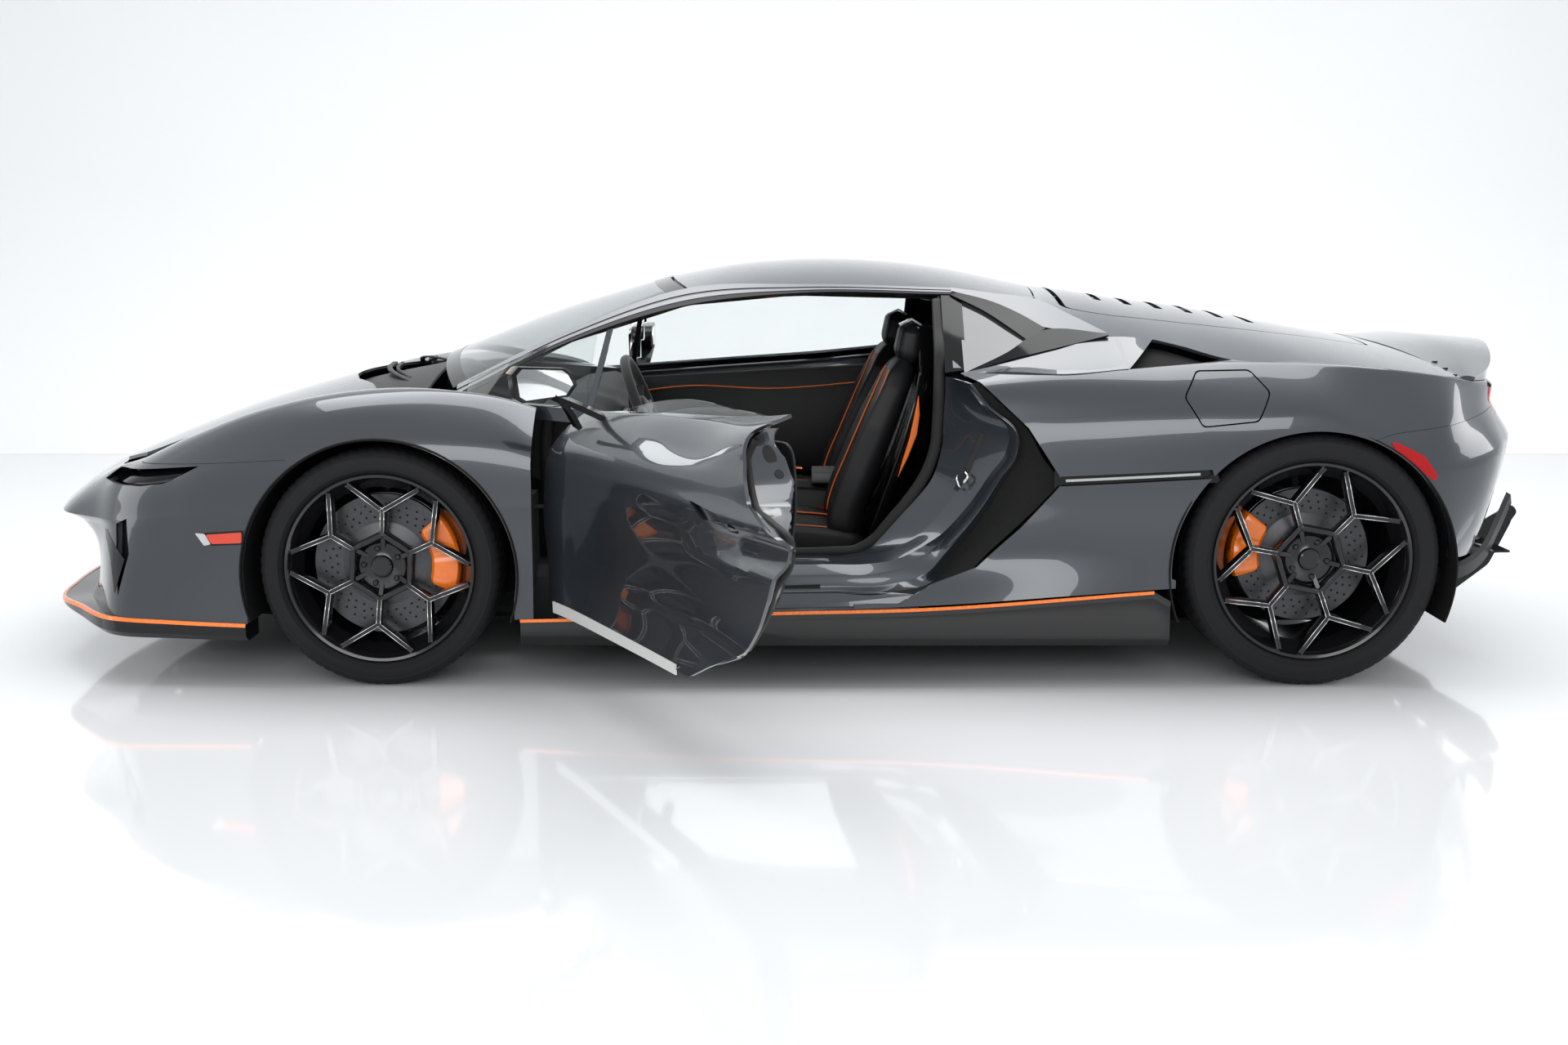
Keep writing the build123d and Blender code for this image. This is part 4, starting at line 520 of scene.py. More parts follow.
SUEDE = finish_of("black_suede", (0.009, 0.009, 0.010), (0.016, 0.016, 0.017), 700.0, (0.85, 0.98), bump=0.5,
    Sheen_Weight=0.35, Sheen_Roughness=0.5)
CARPET = finish_of("black_carpet", (0.006, 0.006, 0.006), (0.014, 0.014, 0.014), 1200.0, (0.9, 1.0), bump=0.8,
    bump_depth=0.002)
GREY_PAD = finish_of("grey_armrest", (0.13, 0.13, 0.13), (0.17, 0.17, 0.17), 120.0, (0.5, 0.65), bump=0.4,
    bump_from=PEBBLE, bump_size=520.0)
COMPOSITE = finish_of("dark_composite", (0.006, 0.006, 0.007), (0.012, 0.012, 0.013), 70.0, (0.5, 0.7),
    bump=0.3, Specular_IOR_Level=0.25)
LENS_RED = finish_of("red_lens", (0.34, 0.005, 0.007), (0.42, 0.009, 0.010), 120.0, (0.08, 0.16),
    Specular_IOR_Level=0.25)
LENS_AMBER = finish_of("amber_red_lens", (0.60, 0.030, 0.006), (0.68, 0.045, 0.008), 140.0, (0.08, 0.16),
    Coat_Weight=1.0, Coat_Roughness=0.02)
LENS_DARK = finish_of("smoked_lens", (0.002, 0.002, 0.003), (0.004, 0.004, 0.005), 60.0, (0.05, 0.10),
    Specular_IOR_Level=0.22)
PALE_STRIP = finish_of("pale_satin_strip", (0.52, 0.53, 0.51), (0.58, 0.59, 0.57), 300.0, (0.3, 0.42))
WALL = finish_of("matt_studio_wall", (0.80, 0.81, 0.82), (0.83, 0.84, 0.85), 0.8, (0.85, 0.95),
    Specular_IOR_Level=0.1)
MIRROR = finish_of("mirror_face", (0.72, 0.75, 0.76), (0.76, 0.79, 0.80), 10.0, (0.02, 0.05), Metallic=1.0)
WINDOW = finish_of("tinted_glass", (0.80, 0.83, 0.82), (0.83, 0.86, 0.85), 8.0, (0.0, 0.02), IOR=1.3,
    Transmission_Weight=1.0)
SCREEN_GLASS = finish_of("windscreen_glass", (0.70, 0.74, 0.73), (0.73, 0.77, 0.76), 8.0, (0.0, 0.02),
    IOR=1.3, Transmission_Weight=1.0)
DARK_WINDOW = finish_of("dark_glass", (0.03, 0.033, 0.035), (0.045, 0.05, 0.052), 8.0, (0.02, 0.05), IOR=1.45,
    Coat_Weight=1.0)
FLOOR = finish_of("pale_glossy_floor", (0.66, 0.67, 0.685), (0.69, 0.70, 0.715), 1.2, (0.06, 0.10),
    Coat_Weight=0.3, Coat_Roughness=0.02)


# ---- more ways to make a piece
def spline(points, count):
    """A smooth line through points, sampled evenly in its parameter."""
    points = np.asarray(points, float)
    return smooth_line(points, np.linspace(0, len(points) - 1, count))


def between(first, second, cols):
    """A ruled grid from one line to another."""
    share = np.linspace(0, 1, cols)[None, :, None]
    return np.asarray(first)[:, None] * (1 - share) + np.asarray(second)[:, None] * share


def carried(name, path, profile, up=(0, 0, 1), smooth=True):
    """A closed (u, v) profile carried along a path: u lies across it, level, and v along its own up."""
    path = np.asarray(path, float)
    along = np.gradient(path, axis=0)
    along /= np.linalg.norm(along, axis=1, keepdims=True)
    across = np.cross(along, np.asarray(up, float))
    across /= np.linalg.norm(across, axis=1, keepdims=True)
    raised = np.cross(across, along)
    profile = np.asarray(profile, float)
    rings = path[:, None] + across[:, None] * profile[None, :, :1] + raised[:, None] * profile[None, :, 1:]
    return lofted(name, rings, smooth)


def lofted(name, rings, smooth=True):
    """A closed tube through rings of points, its two ends closed by flat faces."""
    rings = np.asarray(rings, float)
    rows, cols = rings.shape[:2]
    faces = quads(rows, cols, wrap_cols=True).tolist()
    faces += [list(range(cols))[::-1], [(rows - 1) * cols + k for k in range(cols)]]
    obj = make_object(name, rings.reshape(-1, 3), faces, smooth)
    outward_fix(obj)
    return obj


def round_profile(radius, sides=12):
    """Points (u, v) round a circle about the origin."""
    angle = np.linspace(0, 2 * np.pi, sides, endpoint=False)
    return np.stack([radius * np.cos(angle), radius * np.sin(angle)], -1)


def turned(name, centre, profile, count=96, wrap=True):
    """A (radius, sideways) profile turned about the level axis through a wheel's centre."""
    profile = np.asarray(profile, float)
    angle = np.linspace(0, 2 * np.pi, count, endpoint=False)
    grid = np.stack([centre[0] + profile[None, :, 0] * np.cos(angle)[:, None],
        np.broadcast_to(centre[1] + profile[None, :, 1], (count, len(profile))),
        centre[2] + profile[None, :, 0] * np.sin(angle)[:, None]], -1)
    rows, cols = grid.shape[:2]
    faces = quads(rows, cols, wrap_rows=True, wrap_cols=wrap).tolist()
    if not wrap:
        faces += [[k * cols for k in range(rows)], [k * cols + cols - 1 for k in range(rows)][::-1]]
    obj = make_object(name, grid.reshape(-1, 3), faces)
    outward_fix(obj)
    return obj


def joined(name, pieces):
    """Several meshes as one piece."""
    points, faces, start = [], [], 0
    for piece in pieces:
        mesh = piece.data
        points.append(points_of(mesh) * 1000 - SHIFT)
        faces += [[start + k for k in polygon.vertices] for polygon in mesh.polygons]
        start += len(mesh.vertices)
        bpy.data.objects.remove(piece)
    return make_object(name, np.concatenate(points), faces)


def weighted(obj, degrees=30.0):
    """Shading that follows the large faces, with sharp edges where faces meet at more than an angle."""
    obj.data.set_sharp_from_angle(angle=math.radians(degrees))
    modifier = obj.modifiers.new("shade", "WEIGHTED_NORMAL")
    modifier.keep_sharp = True
    modifier.weight = 80
    return obj


def panel(name, grid, outward, keep=(), remove=(), thickness=PANEL):
    """A body panel: a shell of the surface, trimmed by cutters."""
    obj = shell_object(name, grid, thickness, outward)
    carve(obj, keep, remove)
    obj.name = name
    return weighted(obj)


def crown(stations, rows, cols, margin=0.0):
    """A crowned surface: splines through the stations' middles and sides, a parabola across."""
    return crowned(spline(stations, rows), np.linspace(-1, 1, cols), margin)


def crowned(table, share, margin=0.0):
    """Rows of (side x, side y, side z, middle x, middle z) carried across by the square of a share of the width."""
    share = share[None, :]
    x = table[:, 3:4] + (table[:, 0:1] - table[:, 3:4]) * share ** 2
    z = table[:, 4:5] + (table[:, 2:3] - table[:, 4:5]) * share ** 2
    return np.stack([x, (table[:, 1:2] + margin) * share, z], -1)


# ---- cutters shared by the body panels
TALL, INBOARD, LAMP_INBOARD = 1300.0, -600.0, -560.0
ARCH_TURN = 120


def arch_outline(arch, half_low, drop):
    """A wheel opening from the side: a round part down to a drop below its middle, then straight down."""
    x, z, radius = arch
    start = math.asin(drop / radius)
    angle = np.linspace(-start, math.pi + start, ARCH_TURN)
    round_part = np.stack([x + radius * np.cos(angle), z + radius * np.sin(angle)], -1)
    return np.concatenate([round_part, [[x - half_low, z - drop - 5], [x - half_low, -50.0],
        [x + half_low, -50.0], [x + half_low, z - drop - 5]]])


def front_arch():
    return prism(arch_outline(FRONT_ARCH, 382.0, 60.0), "y", -SIDE, SIDE)


def rear_arch():
    return prism(arch_outline(REAR_ARCH, 390.0, 20.0), "y", -SIDE, SIDE)


def left_cutter(outline, inner=INBOARD):
    """A cutter through the left side from an outline of (x, z)."""
    return prism(outline, "y", -SIDE, inner)


def plan_cutter(outline, low=600.0):
    """A cutter through the top from an outline of (x, y)."""
    return prism(outline, "z", low, TALL)


def tail_cutter(outline, first=300.0, last=1000.0):
    """A cutter through the tail from an outline of (y, z)."""
    return prism(outline, "x", rear(first), rear(last))


def far_side(outline):
    """An outline of (y, z) on the other side of the car."""
    return [(-y, z) for y, z in outline]


def bonnet_plan(grow):
    """The bonnet's outline from above, moved outward by a distance."""
    half = BONNET_EDGE + BONNET_REAR[1:]
    ring = [(x, -y) for x, y in half] + half[-2:0:-1]
    return grown(ring, grow) if grow else np.array(ring)


def bonnet_hole():
    return plan_cutter(bonnet_plan(3.5), 300.0)


def door_hole():
    return left_cutter(grown(DOOR_EDGE, GAP))


BUMPER_SIDE = fore([(-1300, 60), (-1300, 800), (-950, 800), (-845, 612), (-514, 634),
    (-256, 654), (-256, 60)])
WING_SIDE = fore([
    (-843, 900), (-843, 614), (-514, 635), (-256, 655), (-256, 400), (600, 100), (600, 1000), (-843, 1000),
])
MOUTH = [(-560, 232), (-150, 232), (-120, 300), (-190, 392), (-600, 392)]
CORNER_SLOT = fore([(-790, 452), (-752, 470), (-738, 372), (-775, 250)])
# The splitter's stand beyond the skin and its underside, station by station.
SPLITTER = [(88, 168), (86, 168), (84, 166), (60, 156), (22, 146), (8, 143), (6, 141)]

# ---- nose: bumper, wings, lamps, splitter
both = whole(CLIP_ROWS)
bumper = shell_object("front_bumper_skin", skin(both, np.linspace(4.3, 17.7, 222), np.linspace(0, 6, 61),
    CLIP_SHARP), PANEL, (0, 0, 1))
holes = [front_arch(), bonnet_hole(), left_cutter(HEADLAMP, LAMP_INBOARD),
    prism(HEADLAMP, "y", -LAMP_INBOARD, SIDE), prism(MOUTH, "x", front(-1200), front(-900)),
    prism(far_side(MOUTH), "x", front(-1200), front(-900)), prism(CORNER_SLOT, "y", -SIDE, -700),
    prism(CORNER_SLOT, "y", 700, SIDE)]
carve(bumper, [prism(BUMPER_SIDE, "y", -SIDE, SIDE)], holes)
bumper.name = "front_bumper_skin"
settle(weighted(bumper), "root", "paint", PAINT, "front_bumper")

wing = panel("front_wing_left", skin(CLIP_ROWS, np.linspace(2.8, 11, 190), np.linspace(0, 6, 61), CLIP_SHARP),
    (0, -1, 0.5), [prism(WING_SIDE, "y", -SIDE, 0)],
    [front_arch(), bonnet_hole(), door_hole(), left_cutter(HEADLAMP, LAMP_INBOARD)])
both_hands(wing, "front_wing", "root", "paint", PAINT, "front_wings")

# The lamp: a smoked lens sunk in the slot.
lamp_grid = skin(CLIP_ROWS, np.linspace(2.8, 6.4, 70), np.linspace(2.4, 6, 40), CLIP_SHARP)
lamp_grid = facing(lamp_grid, (0, -1, 0.5))
LENS_SUNK = 20.0
lamp = panel("headlamp_left", lamp_grid - grid_normals(lamp_grid) * LENS_SUNK, (0, -1, 0.5),
             [left_cutter(grown(HEADLAMP, -1.0), LAMP_INBOARD)], [bonnet_hole()], thickness=24.0)
both_hands(lamp, "headlamp", "root", "lamp_dark", LENS_DARK, "headlamps")



def along_nose(name, section):
    """A closed form round the nose: a section of (out, z) at each station, from the skin's lowest point there."""
    table = []
    for station, (stand, under) in zip(FRONT_CLIP, SPLITTER):
        out, top = station[3][0]
        table.append(headed((*station[:3], section(out, top, stand, under))))
    form = lofted(name, through(whole(np.array(table)), 150))
    carve(form, (), [front_arch()])
    form.name = name
    return weighted(form)


def splitter_section(out, top, stand, under):
    return [(out - 120, under - 12), (out + stand - 26, under - 12), (out + stand, under + 6),
            (out + stand + 3, top - 6), (out + stand - 4, top), (out - 120, top)]


def pinstripe_section(out, top, stand, under):
    return [(out + stand - 9, top - 1.5), (out + stand + 1.5, top - 9.5), (out + stand + 4.4, top - 8.0),
            (out + stand + 1.0, top + 1.8), (out + stand - 8, top + 1.6)]


settle(along_nose("splitter_blade", splitter_section), "root", "gloss_black", GLOSS_BLACK, "splitter")
settle(along_nose("splitter_pinstripe", pinstripe_section), "root", "caliper", ORANGE)

# ---- bonnet and cowl
TOP_FRONT = [
    (front(-985), 590, 560, front(-985), 570), (front(-934), 575, 572, front(-934), 592),
    (front(-793), 570, 621, front(-793), 653), (front(-597), 575, 692, front(-597), 728),
    (front(-387), 590, 748, front(-387), 793), (front(-197), 606, 790, front(-197), 842),
    (front(0), 640, 817, front(0), 882), (front(100), 660, 822, front(100), 902)]
lid = panel("bonnet_skin", crown(TOP_FRONT, 110, 91, margin=12), (0, 0, 1),
            [plan_cutter(bonnet_plan(0), 300.0)])
settle(lid, "bonnet", "paint", PAINT, "bonnet")
COWL = [
    (front(-330), 563, 722, front(-330), 778), (front(-197), 576, 754, front(-197), 812),
    (front(0), 610, 781, front(0), 852), (front(64), 630, 788, front(64), 866),
]
cowl = shell_object("cowl_panel", crown(COWL, 40, 61), 8.0, (0, 0, 1))
settle(weighted(cowl), "root", "black_plastic", SATIN_BLACK, "cowl")

# ---- doors
# The door's surface starts a little ahead of the flank's first station.
DOOR_ROWS = np.concatenate([FLANK_ROWS[:1] - (14.0, 0, 0), FLANK_ROWS[:6]])
DIVIDER_FOOT, DIVIDER_TOP, PILLAR_B = front(580), front(634), rear(-1011)
MIRROR_CENTRE = np.array([front(618), -1032.0, 884.0])


def rounded(outline, radius, steps=8):
    """A closed outline whose corners are replaced by quadratic arcs that start a radius from each corner."""
    ring = np.asarray(outline, float)
    before, after = np.roll(ring, 1, axis=0) - ring, np.roll(ring, -1, axis=0) - ring
    length_before = np.linalg.norm(before, axis=1, keepdims=True)
    length_after = np.linalg.norm(after, axis=1, keepdims=True)
    start = ring + before / length_before * np.minimum(radius, length_before * 0.45)
    end = ring + after / length_after * np.minimum(radius, length_after * 0.45)
    t = np.linspace(0, 1, steps)[None, :, None]
    return ((1 - t) ** 2 * start[:, None] + 2 * t * (1 - t) * ring[:, None]
        + t ** 2 * end[:, None]).reshape(-1, 2)


def door_grid(rows, cols):
    """The door's smooth surface without its press lines."""
    return skin(DOOR_ROWS, np.linspace(0, 6, rows), np.linspace(0, 5, cols), FLANK_SHARP)


SHUT_EDGE = hind([
    (-1180, 248), (-1110, 286), (-968, 344), (-946, 358), (-874, 426), (-813, 496), (-768, 561), (-744, 620),
    (-760, 644), (-860, 668), (-946, 692), (-1000, 746), (-1034, 800), (-1040, 838), (-1004, 868),
    (-999, 1000),
])
DOOR_OUTLINE = DOOR_EDGE[:6] + SHUT_EDGE + [DOOR_EDGE[-1]]
# The shut face's depth behind the skin by height, and the skin's rear edge by height.
SHUT_DEPTH = [
    (230, 12), (300, 14), (403, 30), (443, 84), (494, 112), (541, 134), (591, 152), (656, 156), (728, 146),
    (804, 112), (862, 54), (890, 30),
]
EDGE_BY_Z = [
    (248, -1180), (286, -1110), (344, -968), (426, -874), (496, -813), (561, -768), (620, -746), (650, -798),
    (668, -868), (692, -950), (746, -1004), (800, -1038), (838, -1044), (868, -1014), (890, -1004),
]


def door_depth(x, z):
    """How deep the door's form stands behind its skin: a scoop, less a press line, both bell curves over height."""
    share = np.clip((x - front(640)) / (rear(-760) - front(640)), 0, 1)
    crease_z = 640 + 10 * share
    crease = 9.0 * np.exp(-((z - crease_z) / 24.0) ** 2) * share ** 0.7
    scoop_z = 575 + 30 * np.clip((x - rear(-1240)) / 480, 0, 1)
    scoop = 27.0 * np.exp(-((z - scoop_z) / 38.0) ** 4) * np.clip((x - rear(-1300)) / 300, 0, 1) ** 1.3
    return scoop - crease


def door_y(x, z):
    """The skin's sideways place at given x and z, from the door's smooth surface."""
    grid = door_grid(120, 90)
    if grid[0, 0, 2] > grid[0, -1, 2]:
        grid = grid[:, ::-1]
    levels = np.linspace(190, 900, 143)
    table = np.array([np.interp(levels, row[:, 2], row[:, 1]) for row in grid])
    stations = np.interp(x, grid[:, 0, 0], np.arange(len(grid)))
    low = np.clip(stations.astype(int), 0, len(grid) - 2)
    a = stations - low
    level = np.clip((z - levels[0]) / (levels[1] - levels[0]), 0, len(levels) - 1.001)
    step = level.astype(int)
    b = level - step
    return ((table[low, step] * (1 - b) + table[low, step + 1] * b) * (1 - a)
            + (table[low + 1, step] * (1 - b) + table[low + 1, step + 1] * b) * a)


def door_top(x):
    """The height of the skin's upper edge at given x."""
    grid = door_grid(120, 30)
    return np.interp(x, grid[:, 0, 0], grid[..., 2].max(axis=1))


# Stations down the shut face and forward along the sill: |y| grows outward from the opening's seal.
# Columns: seal, step, first ridge, groove, second ridge, foot of the ridge, edge of the duct.
SHUT = aft([
    [(-1032, 747, 872), (-1010, 790, 868), (-985, 828, 863), (-975, 838, 860), (-968, 850, 858),
        (-966, 846, 858), (-962, 862, 862)],
    [(-1034, 747, 800), (-985, 790, 800), (-930, 838, 792), (-918, 836, 790), (-907, 852, 787),
        (-900, 846, 787), (-884, 868, 790)],
    [(-1037, 747, 745), (-960, 798, 732), (-860, 848, 730), (-848, 842, 728), (-836, 862, 724),
        (-830, 852, 724), (-818, 886, 724)],
    [(-1041, 747, 661), (-975, 798, 642), (-868, 850, 654), (-852, 840, 652), (-838, 868, 648),
        (-826, 852, 648), (-778, 905, 650)],
    [(-1062, 747, 585), (-990, 803, 572), (-908, 850, 599), (-890, 840, 598), (-875, 872, 596),
        (-858, 850, 592), (-738, 915, 594)],
    [(-1116, 747, 508), (-1031, 803, 500), (-968, 850, 510), (-950, 838, 508), (-932, 874, 505),
        (-912, 850, 498), (-782, 915, 524)],
    [(-1165, 747, 455), (-1075, 803, 445), (-1034, 850, 434), (-1010, 838, 436), (-984, 876, 436),
        (-960, 852, 428), (-856, 912, 450)],
    [(-1210, 747, 405), (-1125, 803, 402), (-1085, 850, 396), (-1062, 840, 384), (-1040, 878, 368),
        (-1018, 862, 356), (-938, 910, 372)],
    [(-1255, 747, 362), (-1190, 803, 368), (-1156, 850, 356), (-1128, 866, 336), (-1092, 884, 312),
        (-1070, 880, 290), (-1008, 925, 304)],
    [(-1320, 747, 344), (-1285, 798, 342), (-1250, 845, 334), (-1232, 874, 310), (-1205, 887, 280),
        (-1196, 934, 266), (-1120, 944, 262)],
    [(-1400, 747, 342), (-1400, 798, 341), (-1390, 845, 332), (-1380, 874, 306), (-1370, 887, 276),
        (-1362, 934, 264), (-1350, 952, 240)],
    [(-1700, 747, 342), (-1700, 798, 341), (-1700, 845, 331), (-1700, 874, 304), (-1700, 887, 272),
        (-1700, 934, 260), (-1700, 952, 228)],
    [(-2150, 747, 342), (-2150, 798, 341), (-2150, 845, 331), (-2150, 874, 303), (-2150, 887, 268),
        (-2150, 934, 256), (-2150, 952, 212)],
])
shut_grid = skin(SHUT, np.linspace(0, 12, 150), np.linspace(0, 5, 76), [0, 0.8, 0.9, 0.8, 0.9, 0.6, 0])
duct_lines = through(SHUT[:10, 5:7], 80)
duct = between(duct_lines[:, 0], duct_lines[:, 1] + (14, 0, 0), 8)
# The striker's bow and hook, as paths of (x behind the rear axle, |y|, z).
STRIKER = {
    "bow": [(-1000, 822, 590), (-1003, 838, 578), (-996, 838, 560), (-988, 820, 552)],
    "hook": [(-978, 826, 600), (-972, 838, 590), (-984, 836, 570)],
}
STRIKER_RADIUS = 4.0
striker_spots = aft([spot for path in STRIKER.values() for spot in path]) - (0, STRIKER_RADIUS, 0)
facing_body = np.concatenate([shut_grid[::2, ::2].reshape(-1, 3), duct[::2].reshape(-1, 3), striker_spots])
RUNNING_GAP, BODY_REACH = 10.0, 18.0
DOOR_LINING, BOX_FOOT, BOX_INBOARD = 9.0, 262.0, 728.0


def clear_of_body(x, z):
    """How far outboard the door's inner form must stay: the body's widest place within a reach, and a gap."""
    away = (x.reshape(-1, 1) - facing_body[None, :, 0]) ** 2 + (z.reshape(-1, 1)
        - facing_body[None, :, 2]) ** 2
    near = away < BODY_REACH ** 2
    widest = np.where(near, -facing_body[None, :, 1], 0).max(axis=1)
    return np.where(widest > 0, widest + RUNNING_GAP, 0).reshape(x.shape)


def door_skin():
    """The painted skin, pressed in by the door's depth and trimmed to the door's outline and vents."""
    grid = facing(door_grid(170, 110), (0, -1, 0.4))
    grid = grid + np.array([0, 1.0, 0]) * door_depth(grid[..., 0], grid[..., 2])[..., None]
    return panel("door_skin", grid, (0, -1, 0.4), [left_cutter(rounded(DOOR_OUTLINE, 12.0, 5))],
                 [left_cutter(rounded(DOOR_VENT, 5.0, 4)), left_cutter(rounded(DOOR_VENT_SMALL, 4.0, 4))])


# Where the box's inner side ends, by height, in front of its shut face.
BOX_STOP = [
    (248, -1215), (330, -1000), (424, -966), (600, -964), (700, -992), (760, -1034), (838, -1066),
    (868, -1046), (890, -1030),
]
BOX_START = [(242, 500), (450, 462), (890, 458)]
HINGE_ROWS, SIDE_ROWS, SHUT_ROWS = 5, 30, 10


def door_box():
    """The outer and inner grids of the box behind the skin, with the heights of their columns.

    A parameter runs 0 to 1 over the hinge face, 1 to 2 along the inner side and 2 to 3 across the shut
    face. The box is full depth along the side, falls off in a quarter round at the hinge and as a power
    of the shut face's width behind, and stays clear of the body that faces it when the door is closed.
    """
    z = np.concatenate([np.linspace(BOX_FOOT, 620, 34), np.linspace(626, 700, 12), np.linspace(708, 876, 22)])
    edge = rear(np.interp(z, *zip(*EDGE_BY_Z))) - DOOR_LINING
    depth = np.interp(z, *zip(*SHUT_DEPTH))
    u = np.concatenate([np.linspace(0, 1, HINGE_ROWS), 1 + np.linspace(0.05, 1, SIDE_ROWS),
        2 + np.linspace(0.1, 1, SHUT_ROWS)])[:, None]
    start = front(np.interp(z, *zip(*BOX_START)))
    stop = rear(np.interp(z, *zip(*BOX_STOP)))
    x = np.where(u <= 1, start + 30 * u, np.where(u <= 2, start + 30 + (stop - start - 30) * (u - 1),
        stop + (edge - stop) * (u - 2)))
    ease = np.where(u <= 1, np.sqrt(1 - (1 - np.minimum(u, 1)) ** 2),
                    np.where(u <= 2, 1.0, 1 - (u - 2).clip(0) ** 1.6))
    # The box stays below the skin's upper edge, which drops towards the hinge, and draws in near it.
    level = BOX_FOOT + (z - BOX_FOOT) * np.minimum(1, (door_top(x) - 30 - BOX_FOOT) / (z[-1] - BOX_FOOT))
    outer_y = (door_y(x, level) + DOOR_LINING + 16 * np.clip((level - door_top(x) + 90) / 60, 0, 1)
               + door_depth(x, level).clip(0))
    inner_y = outer_y + 3 + (depth - 3).clip(0) * ease
    inner_y = np.minimum(inner_y, -np.maximum(BOX_INBOARD, clear_of_body(x, level)))
    inner_y = np.maximum(inner_y, outer_y + 3)
    return np.stack([x, outer_y, level], -1), np.stack([x, inner_y, level], -1), z


def door_pieces():
    """The left door as it stands closed: skin, box with its seal and recesses whose shade is painted as dark marks,
    vent and lower blade.
    """
    made = [(door_skin(), "paint", PAINT)]
    outside, inside, z = door_box()
    rows = len(inside)
    made.append((weighted(closed_pair("door_box", outside, inside), 40), "paint", PAINT))
    # On the shut face: a seal beside the skin's edge, a plate, and two oval recesses, a latch slot and two holes
    # drawn as dark marks that paint their shade.
    edge_line = spline((inside[-2] - (2.5, 4.0, 0))[9:-1:5], 80)
    made.append((carried("door_seal", edge_line, round_profile(10.0)), "black_plastic", SEAL))

    def on_face(height, share):
        """A spot of the shut face at a height and a share of its width, with the directions across, up and out."""
        def at(tall, wide_share):
            row = rows - 1 - SHUT_ROWS + SHUT_ROWS * wide_share
            near = min(int(row), rows - 2)
            line = inside[near] + (inside[near + 1] - inside[near]) * (row - near)
            return np.array([np.interp(tall, z, line[:, i]) for i in range(3)])

        across = at(height, share + 0.08) - at(height, share - 0.08)
        rise = at(height + 12, share) - at(height - 12, share)
        across, rise = across / np.linalg.norm(across), rise / np.linalg.norm(rise)
        out = np.cross(across, rise)
        return at(height, share), across, rise, out if out[0] > 0 else -out

    angle = np.linspace(0, 2 * np.pi, 28, endpoint=False)[:, None]
    for label, height, share, size, wide, finish in SHUT_MARKS:
        middle, across, rise, out = on_face(height, share)
        rings = [middle + out * lift + across * wide * np.cos(angle) + rise * size * np.sin(angle)
                 for lift in (-5.0, 1.2)]
        made.append((lofted("shut_" + label, rings, False), "black_plastic", finish))
    vent_back = door_grid(60, 60)
    vent_back = facing(vent_back, (0, -1, 0.4))
    vent_back = vent_back - grid_normals(vent_back) * 13
    vent_piece = panel("door_vent", vent_back, (0, -1, 0.4), [left_cutter(grown(DOOR_VENT, 12))],
        thickness=5.0)
    made.append((vent_piece, "black_plastic", MATT_BLACK))
    x = np.linspace(front(520), rear(-1262), 60)
    lift = 9 * (x - x[0]) / np.ptp(x)
    upper = np.stack([x, door_y(x, np.full(60, 258.0)) - 8.0, 251 + lift], -1)
    lower = np.stack([x, upper[:, 1] + 1.0, 218.5 + lift * 1.7], -1)
    made.append((shell_object("door_blade", between(upper, lower, 4), 4.0, (0, -1, -0.6)),
        "paint", PALE_STRIP))
    return made


# On the shut face: name, height, share of the width, half height, half width, finish; the recesses, holes and latch
# slot are dark marks of painted shade.
SHUT_MARKS = [
    ("oval_a", 812, 0.5, 26, 16, SATIN_BLACK), ("oval_b", 764, 0.42, 12, 12, SEAL),
    ("hole_a", 618, 0.42, 7, 7, SEAL), ("latch_slot_shade", 566, 0.36, 8, 16, SEAL), ("hole_b", 506, 0.4, 6, 6, SEAL),
    ("plate", 474, 0.42, 17, 12, SATIN_BLACK),
]
DOOR_VENT = hind([(-1262, 660), (-1085, 650), (-1046, 628), (-1165, 624)])
DOOR_VENT_SMALL = hind([(-1020, 640), (-985, 634), (-1000, 628), (-1030, 631)])


def mirror_pieces():
    """Housing, cap, glass, indicator and two-arm foot of the left mirror."""
    x, y, z = MIRROR_CENTRE
    ring = np.array([(-99, -6), (-82, 24), (-62, 38), (70, 46), (90, 26), (80, -38), (60, -50),
        (-74, -38)], float)

    def section(dx, share, drop=0.0):
        """The housing's outline at a distance along the car, scaled by a share."""
        return np.stack([np.full(len(ring), x + dx), y - ring[:, 0] * share,
            z + drop + ring[:, 1] * share * 1.04], -1)

    body = lofted("mirror_body", [section(-66, 0.55, 4), section(-52, 0.80, 3), section(-24, 0.97),
        section(22, 1.0), section(27, 0.985)])
    face = lofted("mirror_glass", [section(24, 0.86), section(29.5, 0.855)])
    foot = []
    for path, profile in (
            ([(x - 20, y + 30, z - 34), (x - 24, y + 90, z - 58), (x - 30, y + 205, z - 112)],
                oblong(34.0, 8.0)),
            ([(x + 12, y + 30, z - 34), (x + 6, y + 66, z - 64), (x - 10, y + 110, z - 128)],
                oblong(20.0, 7.0))):
        foot.append(carried("mirror_arm", spline(path, 14), profile, up=(0.2, 0, 1)))
    arm = joined("mirror_arms", foot)
    lamp_piece = lofted("mirror_indicator", [[(x - 42, y - 62, z + 40), (x + 10, y - 66, z + 43),
        (x + 10, y - 84, z + 26), (x - 42, y - 80, z + 24)],
        [(x - 42, y - 66, z + 43), (x + 10, y - 69, z + 45), (x + 10, y - 88, z + 28),
        (x - 42, y - 84, z + 26)]], False)
    return [(weighted(body, 24), "gloss_black", GLOSS_BLACK), (face, "black_plastic", MIRROR),
            (weighted(arm), "gloss_black", GLOSS_BLACK), (lamp_piece, "caliper", ORANGE)]


